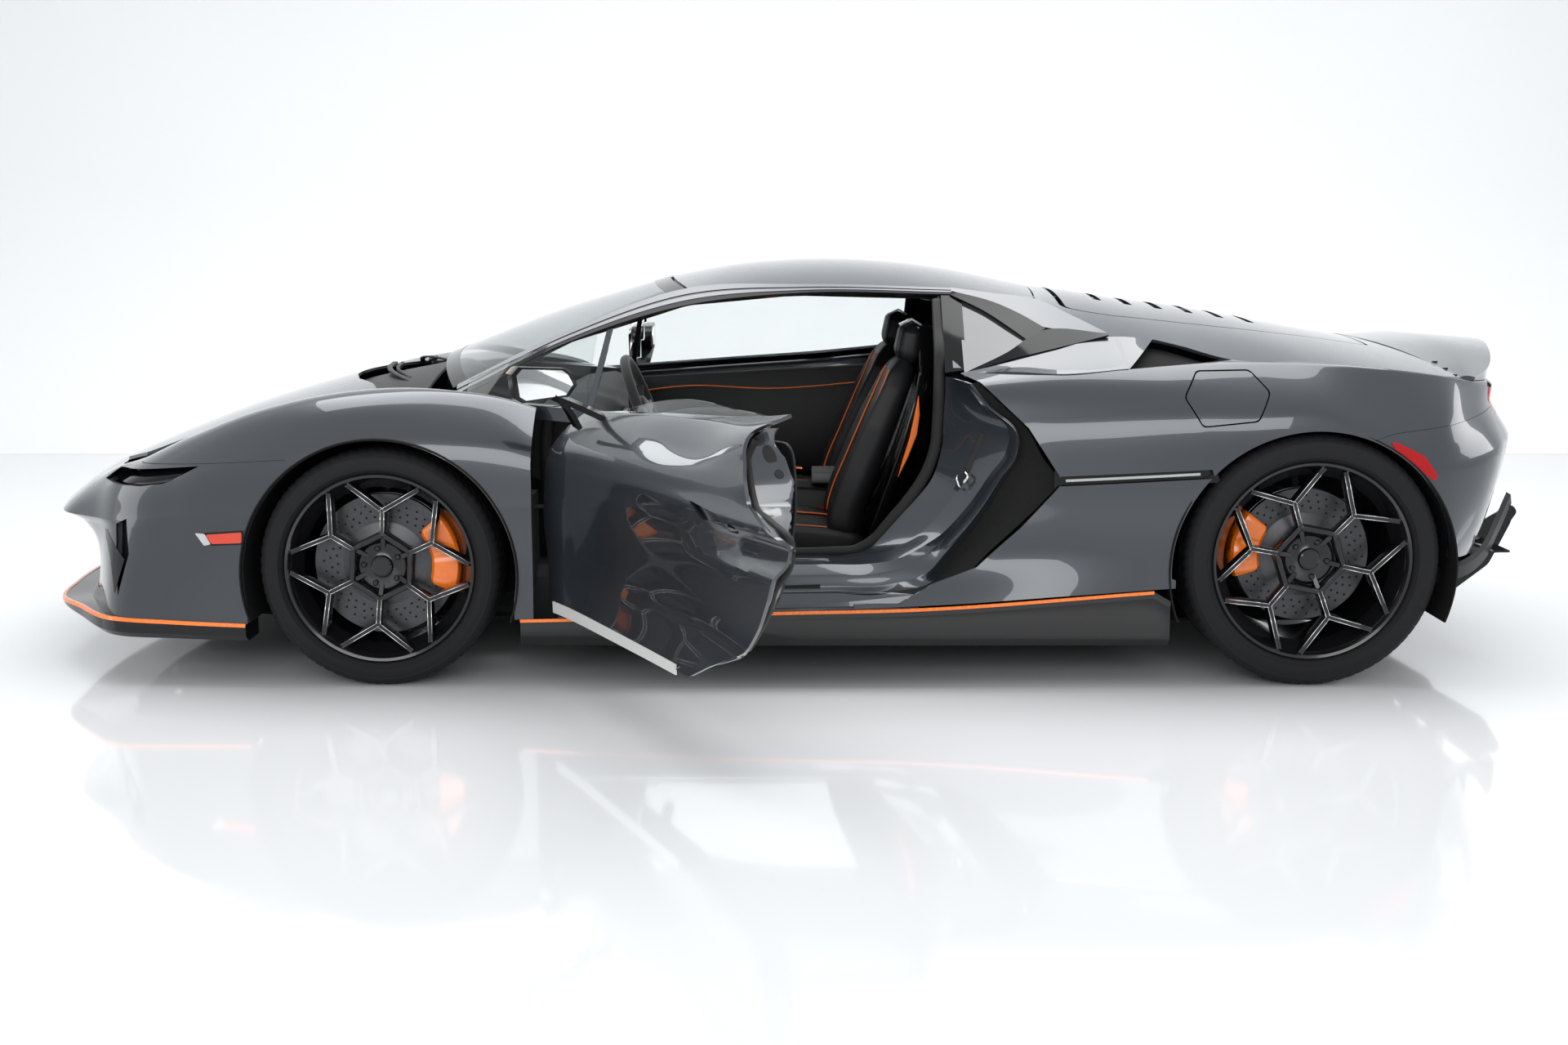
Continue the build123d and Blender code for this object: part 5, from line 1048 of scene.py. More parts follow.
PANE = np.array([
    [(front(190), -742, 806), (front(190), -700, 842)],
    [(front(441), -790, 782), (front(441), -640, 952)],
    [(front(519), -784, 788), (front(519), -618, 978)],
    [(front(809), -776, 808), (front(809), -560, 1066)],
    [(front(1215), -770, 828), (front(1215), -541, 1110)],
    [(rear(-1205), -771, 842), (rear(-1205), -539, 1112)],
    [(rear(-1011), -784, 878), (rear(-1011), -539, 1106)],
    [(rear(-721), -742, 936), (rear(-721), -600, 1040)],
], float)


def pane_grid(low, high, rows=120, cols=24):
    """The side glass plane: shares of its height from the belt, 0, to the roof seal, 1."""
    line = through(PANE, rows)
    share = np.linspace(low, high, cols)[None, :, None]
    return line[:, :1] + (line[:, 1:] - line[:, :1]) * share


DOOR_PANE = [
    (DIVIDER_FOOT + 12, 700), (DIVIDER_FOOT + 12, 775), (DIVIDER_TOP + 14, 1000), (DIVIDER_TOP + 14, 1200),
    (PILLAR_B - 16, 1200), (PILLAR_B - 16, 700),
]
LOWERED = [
    (DIVIDER_FOOT + 12, 796), (front(760), 832), (front(900), 851), (front(1060), 858), (front(1250), 856),
    (rear(-1150), 846), (rear(-1060), 820),
]
lowered_edge = np.concatenate([[[DIVIDER_FOOT + 12, 730]], spline(LOWERED, 60), [[rear(-1060), 730]]])

for side in ("left", "right"):
    for piece, slot, material in door_pieces() + mirror_pieces():
        piece.name = f"{piece.name.split('.')[0]}_{side}"
        if side == "left":
            turned_about(piece, DOOR_AXIS, DOOR_REST)
        else:
            flipped = mirrored(piece, piece.name + "_side")
            bpy.data.objects.remove(piece)
            piece = flipped
        if piece.modifiers.get("shade") is None:
            weighted(piece)
        settle(piece, f"door_{side}", slot, material, f"door_{side}")

GLASS = 4.0
glass = panel("door_glass_lowered", pane_grid(-0.20, 0.5), (0, -1, 0.5), [left_cutter(lowered_edge, 0)],
              thickness=GLASS)
settle(turned_about(glass, DOOR_AXIS, DOOR_REST), "door_left", "side_glass", WINDOW, "door_glass_left")
glass = panel("door_glass_raised", pane_grid(-0.20, 0.955), (0, -1, 0.5), [left_cutter(DOOR_PANE, 0)],
    thickness=GLASS)
settle(mirrored(glass, "door_glass_up"), "door_right", "side_glass", WINDOW, "door_glass_right")
bpy.data.objects.remove(glass)

# ---- flanks, skirts and tail
QUARTER_ABOVE = hind([
    (100, 691), (120, 701), (212, 730), (395, 753), (600, 781), (760, 793), (1000, 793), (1000, 1300),
    (-1400, 1300), (-1400, 100), (100, 100),
])
BUMPER_BELOW = hind([(120, 700), (212, 729), (395, 752), (600, 780), (760, 792), (1000, 792),
    (1000, 100), (120, 100)])
SIDE_SLOT = hind([(-721, 577), (-721, 606), (-300, 630), (-290, 604)])
INTAKE = hind([(-519, 902), (-422, 978), (-209, 927)])
TAIL_PANEL_Y = 652.0
LAMP_HEX = [(-690, 800), (-655, 832), (-540, 836), (-500, 806), (-535, 762), (-660, 757)]
SKIRT = fore([
    (398, 120, 974, 148, 976, 196), (613, 120, 984, 155, 986, 203), (1130, 120, 988, 160, 990, 221),
]) + hind([
    (-1132, 120, 988, 156, 990, 231), (-451, 120, 984, 148, 988, 281), (-402, 120, 984, 146, 984, 252),
])
under_skirt = [(row[0], row[5]) for row in SKIRT] + [(rear(-402), 0), (front(398), 0)]


def lamp_hole():
    return tail_cutter(grown(LAMP_HEX, 2.0))



QUARTER_ROWS = np.concatenate([FLANK_ROWS[3:], TAIL_ROWS])
FUEL_FLAP = [(1075, 897), (1223, 900), (1269, 843), (1230, 767), (1079, 751), (1033, 829)]
quarter_grid = skin(QUARTER_ROWS, np.linspace(0, len(QUARTER_ROWS) - 1, 226),
    np.linspace(0, 5, 58), REAR_SHARP)
beside_tail = hind([(300, -TAIL_PANEL_Y), (1000, -TAIL_PANEL_Y), (1000, 50), (300, 50)])
quarter = panel("rear_quarter_left", quarter_grid, (0, -1, 0.5), [left_cutter(QUARTER_ABOVE, 50)],
    [rear_arch(), door_hole(), left_cutter(under_skirt), left_cutter(SIDE_SLOT, -880),
    left_cutter(INTAKE, -640), plan_cutter(beside_tail, 0), lamp_hole(),
    left_cutter(rounded(grown(FUEL_FLAP, 4.0), 12.0, 5))])
both_hands(quarter, "rear_quarter", "root", "paint", PAINT, "rear_quarters")

tail_rows = whole(REAR_ROWS[::-1])
bumper_grid = skin(tail_rows, np.linspace(4, len(tail_rows) - 5, 230), np.linspace(0, 5, 51), REAR_SHARP)
bumper = panel("rear_bumper_skin", bumper_grid, (1, 0, 0), [prism(BUMPER_BELOW, "y", -SIDE, SIDE)],
    [rear_arch(), lamp_hole(), tail_cutter(far_side(grown(LAMP_HEX, 2.0))),
    tail_cutter(circle(-130, 402, 46), 500, 900), tail_cutter(circle(130, 402, 46), 500, 900)])
settle(bumper, "root", "paint", PAINT, "rear_bumper")
tail_grid = skin(tail_rows, np.linspace(5, len(tail_rows) - 6, 150), np.linspace(2.5, 5, 31), REAR_SHARP)
above_bumper = hind([(300, 794), (1000, 794), (1000, TALL), (300, TALL)])
tail = panel("tail_panel_skin", tail_grid, (1, 0, 0),
    [prism(above_bumper, "y", 1 - TAIL_PANEL_Y, TAIL_PANEL_Y - 1)],
    [lamp_hole(), tail_cutter(far_side(grown(LAMP_HEX, 2.0)))])
settle(tail, "root", "gloss_black", GLOSS_BLACK, "tail_panel")

for side, name in ((-1, "left"), (1, "right")):
    x, y0, y1, z0, z1 = (np.array([row[k] for row in SKIRT], float) for k in (0, 2, 4, 3, 5))
    low, inner = np.full(6, 120.0), np.full(6, 870.0)
    section = ((inner, low), (y0 - 10, low), (y0, z0), (y1 - 3, z1 - 24), (y1, z1 - 2), (y1 - 30, z1 - 2),
               (inner, z1 - 60))
    rings = np.stack([np.stack([x, side * v, w], -1) for v, w in section], 1)
    fine = np.concatenate([smooth_line(rings[:5], np.linspace(0, 4, 60), knots=x[:5]), rings[5:]])
    settle(weighted(lofted(f"side_skirt_{name}", fine)), "root", "gloss_black", GLOSS_BLACK, "side_skirts")
    line = np.stack([x, side * (y1 + 0.6), z1 - 4.5], -1)
    line = smooth_line(line[:5], np.linspace(0, 4, 60), knots=x[:5])
    pinstripe = carried(f"skirt_pinstripe_{name}", line,
        [(-3, -4.4), (2.4, -4.4), (2.4, 4.4), (-3, 4.4)], smooth=False)
    settle(pinstripe, "root", "caliper", ORANGE)


# ---- roof, screen, pillars and side glass
SCREEN = [
    (front(174), 686, 832, front(64), 899), (front(519), 604, 996, front(415), 1034),
    (front(862), 484, 1110, front(780), 1143),
]
HEIGHT = 1199.6
ROOF = [
    (front(866), 494, 1117, front(790), 1146), (front(1030), 510, 1127, front(1000), 1183),
    (front(1215), 522, 1131, front(1215), HEIGHT), (rear(-1205), 521, 1127, rear(-1205), 1195),
    (rear(-1011), 517, 1120, rear(-1011), 1174), (rear(-745), 486, 1087, rear(-722), 1117)]
CANT = np.array([
    [(front(186), -716, 812), (front(186), -682, 840)],
    [(front(519), -630, 974), (front(519), -598, 1000)],
    [(front(862), -560, 1080), (front(862), -500, 1116)],
    [(front(1215), -545, 1112), (front(1215), -524, 1130)],
    [(rear(-1002), -543, 1106), (rear(-1002), -520, 1119)],
], float)

screen = shell_object("windscreen_pane", crown(SCREEN, 60, 61), 5.0, (-0.5, 0, 1))
settle(weighted(screen), "root", "windscreen_glass", SCREEN_GLASS, "windscreen")
roof = shell_object("roof_skin", crown(ROOF, 70, 61), 16.0, (0, 0, 1))
settle(weighted(roof), "root", "paint", PAINT, "roof")
# The ends of the screen's glass are masked by a black band, which stands just proud of it.
for low, high, name in ((0.0, 0.12, "screen_band_low"), (1.86, 2.0, "screen_band_high")):
    band = crowned(smooth_line(SCREEN, np.linspace(low, high, 6)),
        np.linspace(-0.995, 0.995, 61)) + (-0.6, 0, 0.8)
    settle(weighted(shell_object(name, band, 1.5, (-0.5, 0, 1))), "root", "gloss_black", GLOSS_BLACK)

cant_line = through(CANT, 110)
# Bands of the rail over the door: name, shares of its height from and to, stand, finish, slot.
CANT_BANDS = [
    ("cant_outer", -0.06, 0.40, 2.4, PAINT, "paint"),
    ("cant_drip", 0.40, 0.56, 0.6, GLOSS_BLACK, "gloss_black"),
    ("cant_frame", 0.56, 0.86, 1.8, PAINT, "paint"),
    ("cant_seal", 0.86, 1.22, 0.5, SEAL, "black_plastic"),
]
for name, low, high, proud, material, slot in CANT_BANDS:
    top, seal = cant_line[:, 1], cant_line[:, 0]
    grid = between(top + (seal - top) * low, top + (seal - top) * high, 7)
    grid = facing(grid, (0, -1, 0.6))
    piece = shell_object(name + "_left", grid + grid_normals(grid) * proud, 5.0, (0, -1, 0.6))
    settle(weighted(piece), "root", slot, material)
    settle(mirrored(piece, name + "_right"), "root", slot, material)


REAR_PANE = [(PILLAR_B + 30, 872), (PILLAR_B + 30, 1100), (rear(-725), 990), (rear(-960), 880)]
FRONT_PANE = [(front(214), 806), (DIVIDER_FOOT - 12, 780), (DIVIDER_TOP - 10, 1200), (front(300), 1200)]
glass = panel("rear_quarter_glass", pane_grid(-0.1, 1.0), (0, -1, 0.5), [left_cutter(REAR_PANE, 0)],
    thickness=GLASS)
both_hands(glass, "rear_quarter_glass", "root", "side_glass", DARK_WINDOW, "quarter_windows")
glass = panel("front_quarter_glass", pane_grid(0.02, 1.0), (0, -1, 0.5), [left_cutter(FRONT_PANE, 0)],
    thickness=GLASS)
both_hands(glass, "front_quarter_glass", "root", "side_glass", WINDOW, "quarter_windows")

# ---- deck, engine cover and ducktail
DECK_MIDDLE = hind([(-540, 1092), (-420, 1073), (-209, 1046), (0, 1010), (212, 972), (395, 942)])
DECK = [(rear(-738), 482, 1084, rear(-715), 1113)]
DECK += [(station[0], station[3][-1][0] - 1, station[3][-1][1], x, z)
         for station, (x, z) in zip(FLANK[6:], DECK_MIDDLE)]
DECK += [(rear(470), 770, 869, rear(520), 928)]
KINK_LINE = [(0, 371), (300, 390), (600, 425), (760, 453)]
kink_fine = spline(KINK_LINE, 24)
KINK = np.concatenate([[(rear(x), -y) for y, x in kink_fine], [(rear(2000), -1200), (rear(2000), 1200)],
    [(rear(x), y) for y, x in kink_fine[:0:-1]]])
LID = hind([
    (-640, 0), (-640, -455), (-500, -480), (0, -470), (300, -420), (330, 0), (300, 420), (0, 470),
    (-500, 480), (-640, 455),
])
lid_outline = rounded(LID[1:5] + LID[5:], 24.0)
lid_hole = rounded([(x - 12 if x < rear(-600) else x + 2 if x > rear(250) else x, y)
    for x, y in LID[1:]], 24.0)
deck_grid = crown(DECK, 150, 101)
deck = panel("rear_deck_skin", deck_grid, (0, 0, 1), (),
    [plan_cutter(KINK), plan_cutter(grown(lid_hole, GAP))])
settle(deck, "root", "paint", PAINT, "rear_deck")
# The cover carries two rows of louvre slots; a black tray under them paints the shade of the bay beneath.
LOUVRES = [(rear(-520 + 96 * k), 150 + 6 * k) for k in range(6)]
slots = []
for x, half in LOUVRES:
    for side in (-1, 1):
        low, high = sorted((side * 46, side * (46 + half * 1.35)))
        slots.append(plan_cutter(rounded([(x, low), (x + 26, low), (x + 26, high), (x, high)], 9.0, 4)))
cover = panel("engine_cover_skin", deck_grid, (0, 0, 1), [plan_cutter(lid_outline)], slots)
settle(cover, "engine_cover", "paint", PAINT, "engine_cover")
under = deck_grid[10:-14:4, 12:-12:4] - np.array([0, 0, 30.0])
tray = shell_object("louvre_shade_tray", under, 4.0, (0, 0, 1))
carve(tray, [plan_cutter(grown(lid_outline, -16.0))])
tray.name = "louvre_shade_tray"
settle(weighted(tray), "engine_cover", "black_plastic", SATIN_BLACK)

# Where the spoiler leaves the deck, and its section: height, then (x, z) of the top, lip and underside.
DUCKTAIL = [
    (946, 560, 952, 790, 938, 705, 855.8, 640, 924), (937, 560, 944, 725, 925, 672, 853.6, 600, 915),
    (905, 520, 904, 608, 884, 604, 851.2, 560, 884), (876, 480, 875, 512, 871, 508, 862, 490, 866)]
tail_rings = []
for (y, kink_x), (z0, x1, z1, x2, z2, x3, z3, x4, z5) in zip(KINK_LINE, DUCKTAIL):
    tail_rings.append([(rear(x), -y, z) for x, z in ((kink_x + 1, z0), ((kink_x + x1) / 2, (z0 + z1) / 2 - 4),
        (x1, z1), ((x1 + x2) / 2, (z1 + z2) / 2 + 2), (x2, z2), (x2 - 3, z2 - 8), (x3, z3), (x4, z3),
        (kink_x + 1, z5))])
ducktail = lofted("ducktail", through(whole(np.array(tail_rings)), 90))
settle(weighted(ducktail, 24), "root", "paint", PAINT, "spoiler")
# Three holes in the ducktail's top are drawn as gloss black plugs that paint the shade inside them.
for name, x, y, z in (("a", 1854, 600, 905), ("b", 1857, 680, 891), ("c", 1859, 752, 877.5)):
    vent = carried("tail_vent", [(x, -y, z - 12), (x, -y, z + 1.4)],
        round_profile(1.0, 16) * (5.0, 9.0), up=(1, 0, 0))
    both_hands(vent, f"tail_vent_{name}", "root", "gloss_black", GLOSS_BLACK)

# Tail lamps: red hexagonal lenses set in the corner where the tail panel meets the quarters.
lamp_rows = skin(tail_rows, np.linspace(11.5, 15.5, 90), np.linspace(1.5, 5, 40), REAR_SHARP)
lamp = panel("tail_lamp", lamp_rows, (1, 0, 0), [tail_cutter(LAMP_HEX)], thickness=6.0)
both_hands(lamp, "tail_lamp", "root", "lamp_red", LENS_RED, "tail_lamps")


# ---- rear pillar and door opening
def patch(name, first, second, thickness, proud):
    """A ruled surface between two splines through points (x behind the rear axle, |y|, z), as a thin shell."""
    grid = facing(between(spline(aft(first), 30), spline(aft(second), 30), 9), ASIDE)
    return weighted(shell_object(name, grid + grid_normals(grid) * proud, thickness, ASIDE))


ASIDE = (0, -1, 0.6)
BUTTRESS_LOW = [(-1002, 547, 1108), (-880, 586, 1062), (-745, 630, 1011), (-650, 666, 998), (-556, 699, 990)]
BUTTRESS_TOP = [(-1002, 521, 1121), (-880, 508, 1105), (-745, 494, 1087), (-650, 588, 1044), (-556, 692, 996)]
# Pieces of the rear pillar: name, lower line, upper line, thickness, stand over the line, slot, finish, node.
PILLAR_PIECES = [
    ("buttress", BUTTRESS_LOW, BUTTRESS_TOP, 8.0, 2.0, "paint", PAINT, ["c_pillars"]),
    ("buttress_arm", [(-1006, 556, 1100), (-907, 606, 1052), (-837, 658, 1006), (-790, 695, 972)],
        [(-1000, 548, 1110), (-875, 578, 1077), (-801, 610, 1044), (-731, 658, 1004)], 5.0, 5.0,
        "gloss_black", GLOSS_BLACK, []),
    ("buttress_wedge", [(-977, 788, 884), (-860, 752, 915), (-707, 726, 950), (-552, 708, 986)],
        [(-970, 784, 890), (-860, 738, 936), (-733, 668, 1000), (-552, 698, 991)], 5.0, 5.0, "gloss_black",
        GLOSS_BLACK, []),
    ("quarter_shoulder", [(-985, 796, 883), (-860, 836, 892), (-707, 868, 888), (-520, 866, 903)],
        [(-972, 784, 886), (-860, 752, 914), (-707, 726, 949), (-520, 702, 984)], 6.0, 1.0,
        "paint", PAINT, []),
    ("pillar_cover", [(-1034, 750, 880), (-1034, 668, 978), (-1034, 556, 1096)],
        [(-972, 752, 888), (-972, 668, 982), (-972, 548, 1094)], 10.0, 6.0, "gloss_black", GLOSS_BLACK, []),
]
for name, first, second, thickness, proud, slot, material, nodes in PILLAR_PIECES:
    both_hands(patch(name, first, second, thickness, proud), name, "root", slot, material, *nodes)

both_hands(weighted(shell_object("shut_face", shut_grid, 4.0, (0, -1, 0.4)), 22), "shut_face", "root",
    "paint", PAINT)
throat = weighted(shell_object("intake_throat", duct, 4.0, (0, -1, 0.2)))
both_hands(throat, "intake_throat", "root", "black_plastic", MATT_BLACK)
lip_lines = through(SHUT[9:, 5:7], 30)
lip = weighted(shell_object("sill_lip", between(lip_lines[:, 0], lip_lines[:, 1], 5), 4.0, (0, -1, 0.4)))
both_hands(lip, "sill_lip", "root", "paint", PAINT)
# The sill's painted hem turns over the skirt's upper edge.
HEM = np.array([(-1120, 233), (-1350, 227), (-1700, 218.5), (-2150, 204.5)], float)
hem = np.stack([SHUT[9:, 6]] + [np.stack([HEM[:, 0] + REAR_AXLE_X, np.full(4, y), HEM[:, 1] + up], -1) for y,
    up in ((-954.0, 2.0), (-984.0, 0.0))], 1)
hem_piece = weighted(shell_object("sill_hem", through(hem, 30), 2.0, (0, -0.3, 1)))
both_hands(hem_piece, "sill_hem", "root", "paint", PAINT)
SEAL_PATH = [
    (-1044, 556, 1086), (-1046, 640, 1004), (-1048, 712, 930), (-1050, 738, 860), (-1053, 741, 745),
    (-1060, 741, 661), (-1086, 741, 585), (-1138, 741, 505), (-1192, 741, 440), (-1240, 741, 385),
    (-1290, 741, 356), (-1360, 741, 350), (-1700, 741, 350), (-2100, 741, 350), (-2176, 741, 362),
    (-2196, 742, 410), (-2206, 744, 560), (-2204, 750, 700), (-2192, 762, 776),
]
opening_seal = carried("opening_seal", spline(aft(SEAL_PATH), 150),
    round_profile(1.0, 14) * (17.0, 9.0), up=(0, 1, 0))
both_hands(opening_seal, "opening_seal", "root", "black_plastic", SEAL)
# A flat strip runs down the shut face behind the striker, half sunk in the face.
flat_face = shut_grid.reshape(-1, 3)
STRIP_LINE = [(rear(x), flat_face[np.argmin(np.hypot(flat_face[:, 0] - rear(x), flat_face[:, 2] - z)), 1]
    - 1.5, z) for x, z in ((-928, 712), (-948, 660), (-975, 590), (-1004, 545))]
strip = carried("striker_strip", spline(STRIP_LINE, 24), oblong(7, 3), up=(0, 1, 0), smooth=False)
both_hands(strip, "striker_strip", "root", "black_plastic", SATIN_BLACK)
for name, path in STRIKER.items():
    wire = carried("striker", spline(aft(path), 18), round_profile(STRIKER_RADIUS, 10))
    both_hands(wire, f"striker_{name}", "root", "suspension_metal", CHROME)
# A slot in the sill is drawn as a dark bar that paints the shade inside it.
slot_line = spline(aft([(-1960, 890, 270), (-1500, 891, 271), (-1400, 890, 274)]), 20)
both_hands(carried("sill_slot", slot_line, oblong(3, 7), smooth=False), "sill_slot", "root",
    "gloss_black", SEAL)

# ---- cabin
SEAT_Y = 370.0


def squared(sides, across_power, out_power):
    """A circle drawn out towards an oblong: each cosine and sine keeps its sign and takes a power."""
    angle = np.linspace(0, 2 * np.pi, sides, endpoint=False)
    c, s = np.cos(angle), np.sin(angle)
    return np.sign(c) * np.abs(c) ** across_power, np.sign(s) * np.abs(s) ** out_power


CUSHION_ROWS, SEAM_SHARE, SEAM_DEPTH = 60, 0.56, 5.0


def cushion(path, half, depth, bolster, power=0.42, end=0.16):
    """A stuffed form: crowned sections along a path, each raised into bolsters at both sides.

    path holds (x, z) of the middle line and the lie of its face, half the half width and depth the
    thickness of each station; the section is a rounded oblong whose face rises with the fourth power
    of the distance from the middle, with a seam sunk at a share of the width, and both ends close in
    a quarter round.
    """
    where = np.linspace(0, len(path) - 1, CUSHION_ROWS)
    line = smooth_line(path, where)
    width, thick, rise = (smooth_line(np.array(row, float)[:, None], where)[:, 0] for row in (half,
        depth, bolster))
    share = np.linspace(0, 1, CUSHION_ROWS)
    close = np.sqrt(np.clip(1 - (1 - np.minimum(share, 1 - share) / end).clip(0) ** 2, 0.0004, 1))[:, None]
    along = np.gradient(line, axis=0)
    along /= np.linalg.norm(along, axis=1, keepdims=True)
    normal = np.stack([-along[:, 1], along[:, 0]], -1)
    across, out = squared(72, power, 0.6)
    seam = (np.abs(across / SEAM_SHARE) - 1 < 0.07) * (np.abs(np.abs(across)
        - SEAM_SHARE) < 0.04) * (out > 0.2)
    raised = (thick[:, None] * 0.5 * out * close + rise[:, None] * across ** 4 * (0.65 + 0.35 * out) * close
              - SEAM_DEPTH * seam)
    side = width[:, None] * across * (0.72 + 0.28 * close)
    rings = np.stack([line[:, :1] + normal[:, :1] * raised, side, line[:, 1:] + normal[:, 1:] * raised], -1)
    return rings, line, normal, width, thick, rise


BACK_PATH = [(88, 330), (98, 420), (150, 560), (205, 700), (250, 820), (280, 905)]
BACK_HALF, BACK_DEPTH, BACK_BOLSTER = [196, 205, 213, 212, 178, 108], [105, 100, 92, 86, 80, 76], [30, 44,
    52, 46, 26, 8]
BASE_PATH = [(-392, 338), (-300, 346), (-120, 332), (60, 318), (160, 300)]
BASE_HALF, BASE_DEPTH, BASE_BOLSTER = [192, 208, 212, 206, 190], [84, 104, 112, 112, 110], [12,
    36, 50, 46, 30]
HEAD_PATH = [(280, 880), (289, 930), (296, 980), (300, 1010)]
HEAD_HALF, HEAD_DEPTH, HEAD_BOLSTER = [98, 112, 106, 82], [76, 84, 78, 62], [4, 8, 6, 2]


def crest(parts, share, low, high, stand=1.5):
    """A line along a cushion's face at a share of its half width, from one part of its length to another."""
    _, line, normal, width, thick, rise = parts
    pick = slice(int(low * len(line)), int(high * len(line)))
    out = thick[pick] * 0.5 * (1 - abs(share) ** 6) + rise[pick] * share ** 4 + stand
    return np.stack([line[pick, 0] + normal[pick, 0] * out, width[pick] * share,
        line[pick, 1] + normal[pick, 1] * out], -1)


# The orange leaf on a seat's outer bolster, and the stations of the shell behind it: x, z, half width.
LEAF = np.array([(308, 800), (312, 740), (304, 680), (278, 612), (247, 548), (262, 606), (282, 672),
    (296, 740)], float)
SHELL = [
    (150, 240, 180), (214, 420, 196), (262, 560, 206), (308, 700, 205), (340, 820, 176), (352, 905, 108),
    (346, 1000, 84),
]
for name, y, outer in (("left", -SEAT_Y, -1), ("right", SEAT_Y, 1)):
    back = cushion(BACK_PATH, BACK_HALF, BACK_DEPTH, BACK_BOLSTER)
    base = cushion(BASE_PATH, BASE_HALF, BASE_DEPTH, BASE_BOLSTER)
    head = cushion(HEAD_PATH, HEAD_HALF, HEAD_DEPTH, HEAD_BOLSTER, power=0.6, end=0.3)
    for label, parts, fill in (("back", back, 0.8), ("base", base, 0.8), ("head", head, 0.9)):
        piece = lofted(f"seat_{label}_{name}", parts[0] + (0, y, 0))
        settle(weighted(piece, 60), "root", "seat_leather", LEATHER, "seats")
    pipes = []
    for parts, shares, low, high in ((back, (-0.62, 0.62, -0.9, 0.9), 0.14, 0.9),
            (base, (-0.62, 0.62), 0.12, 0.86)):
        for share in shares:
            line = crest(parts, share, low, high) + (0, y, 0)
            pipes.append(carried("pipe", line[::2], round_profile(2.6, 8), up=(0, 1, 0)))
    settle(joined(f"seat_piping_{name}", pipes), "root", "caliper", ORANGE_LEATHER)
    leaf_piece = lofted(f"bolster_leaf_{name}",
        [np.insert(LEAF, 1, y + outer * depth, axis=1) for depth in (188.0, 208.0)])
    settle(crisp(leaf_piece, 40, bevel=0.003), "root", "caliper", ORANGE_LEATHER)
    across, out = squared(28, 0.5, 0.6)
    wrap = 34 * np.abs(across) ** 8
    shell_rings = [np.stack([x + 16 * out - wrap, y + wide * across, np.full(28, z)], -1) for x, z,
        wide in SHELL]
    settle(weighted(lofted(f"seat_shell_{name}", spline(shell_rings, 40)), 60), "root",
        "gloss_black", GLOSS_BLACK)
    clip_y, buckle_y = y - 40 * outer, y - 226 * outer
    clip = carried(f"headrest_clip_{name}", [(330, clip_y, 1000), (300, clip_y, 1018), (262, clip_y, 1000)],
                   oblong(22, 3), smooth=False)
    settle(clip, "root", "suspension_metal", SILVER)
    buckle = carried(f"buckle_{name}", [(10, buckle_y, 352), (34, buckle_y, 392)],
        oblong(9, 12), smooth=False)
    settle(buckle, "root", "lamp_red", LENS_RED)

# Dash: a hooded top carried across the car, its section swelling before the wheel.
DASH = fore([
    (356, 560), (356, 728), (440, 768), (530, 778), (620, 752), (652, 724), (640, 668), (604, 618),
    (520, 560), (470, 524),
])
dash_rows = []
for y in np.linspace(-638, 638, 61):
    swell = 16 * math.exp(-((y + 370) / 130) ** 2) + 5 * math.exp(-(y / 120) ** 2)
    dash_rows.append([(x, y, z + swell * (1 if z > 700 and x > front(420) else 0)) for x, z in DASH])
dash = crisp(lofted("dash", dash_rows), 50, bevel=0.012, segments=3)
settle(dash, "root", "cabin_trim", LEATHER, "dashboard")
# Console: its top falls away rearward between two upright sides.
CONSOLE = [(600, 560), (760, 520), (900, 470), (1060, 452), (1250, 448), (1400, 430)]
console_rows = [[(front(x), -104, 152), (front(x), -106, z - 40), (front(x), -88, z), (front(x), 88, z),
    (front(x), 106, z - 40), (front(x), 104, 152)] for x, z in CONSOLE]
settle(crisp(lofted("console", spline(console_rows, 40)), 40, bevel=0.01, segments=3), "root",
    "cabin_trim", LEATHER)
screen_rings = [[(front(x), -96, z), (front(x + 20), -96, z - 50), (front(x + 20), 96, z - 50),
    (front(x), 96, z)] for x, z in ((622, 590), (634, 596))]
console_screen = crisp(lofted("console_screen", screen_rings, False), bevel=0.002)
settle(console_screen, "root", "gloss_black", GLOSS_BLACK)
across, out = squared(40, 0.4, 0.7)
pad_rings = [np.stack([np.full(40, x), 78 * across, 478 + 24 * out], -1) for x in np.linspace(-6, 136, 16)]
armrest_pad = lofted("armrest_pad", pad_rings)
settle(weighted(armrest_pad, 50), "root", "cabin_trim", GREY_PAD)

# Steering wheel: a flat-bottomed rim leaned towards the driver, with a hub, three spokes and stalks.
WHEEL_MIDDLE = np.array([front(720), -370.0, 730.0])
WHEEL_AXIS = np.array([-0.93, 0, -0.36]) / np.linalg.norm([0.93, 0.36])
WHEEL_UP = np.cross(WHEEL_AXIS, (0, 1.0, 0))
WHEEL_UP *= math.copysign(1, WHEEL_UP[2])


def on_wheel(radius, angle, out=0.0):
    """Points of the steering wheel's plane by radius and angle, moved along its axis by a distance."""
    radius, angle = np.broadcast_arrays(np.asarray(radius, float), np.asarray(angle, float))
    return (WHEEL_MIDDLE + (radius * np.cos(angle))[..., None] * np.array([0, 1.0, 0])
            + (radius * np.sin(angle))[..., None] * WHEEL_UP - WHEEL_AXIS * out)


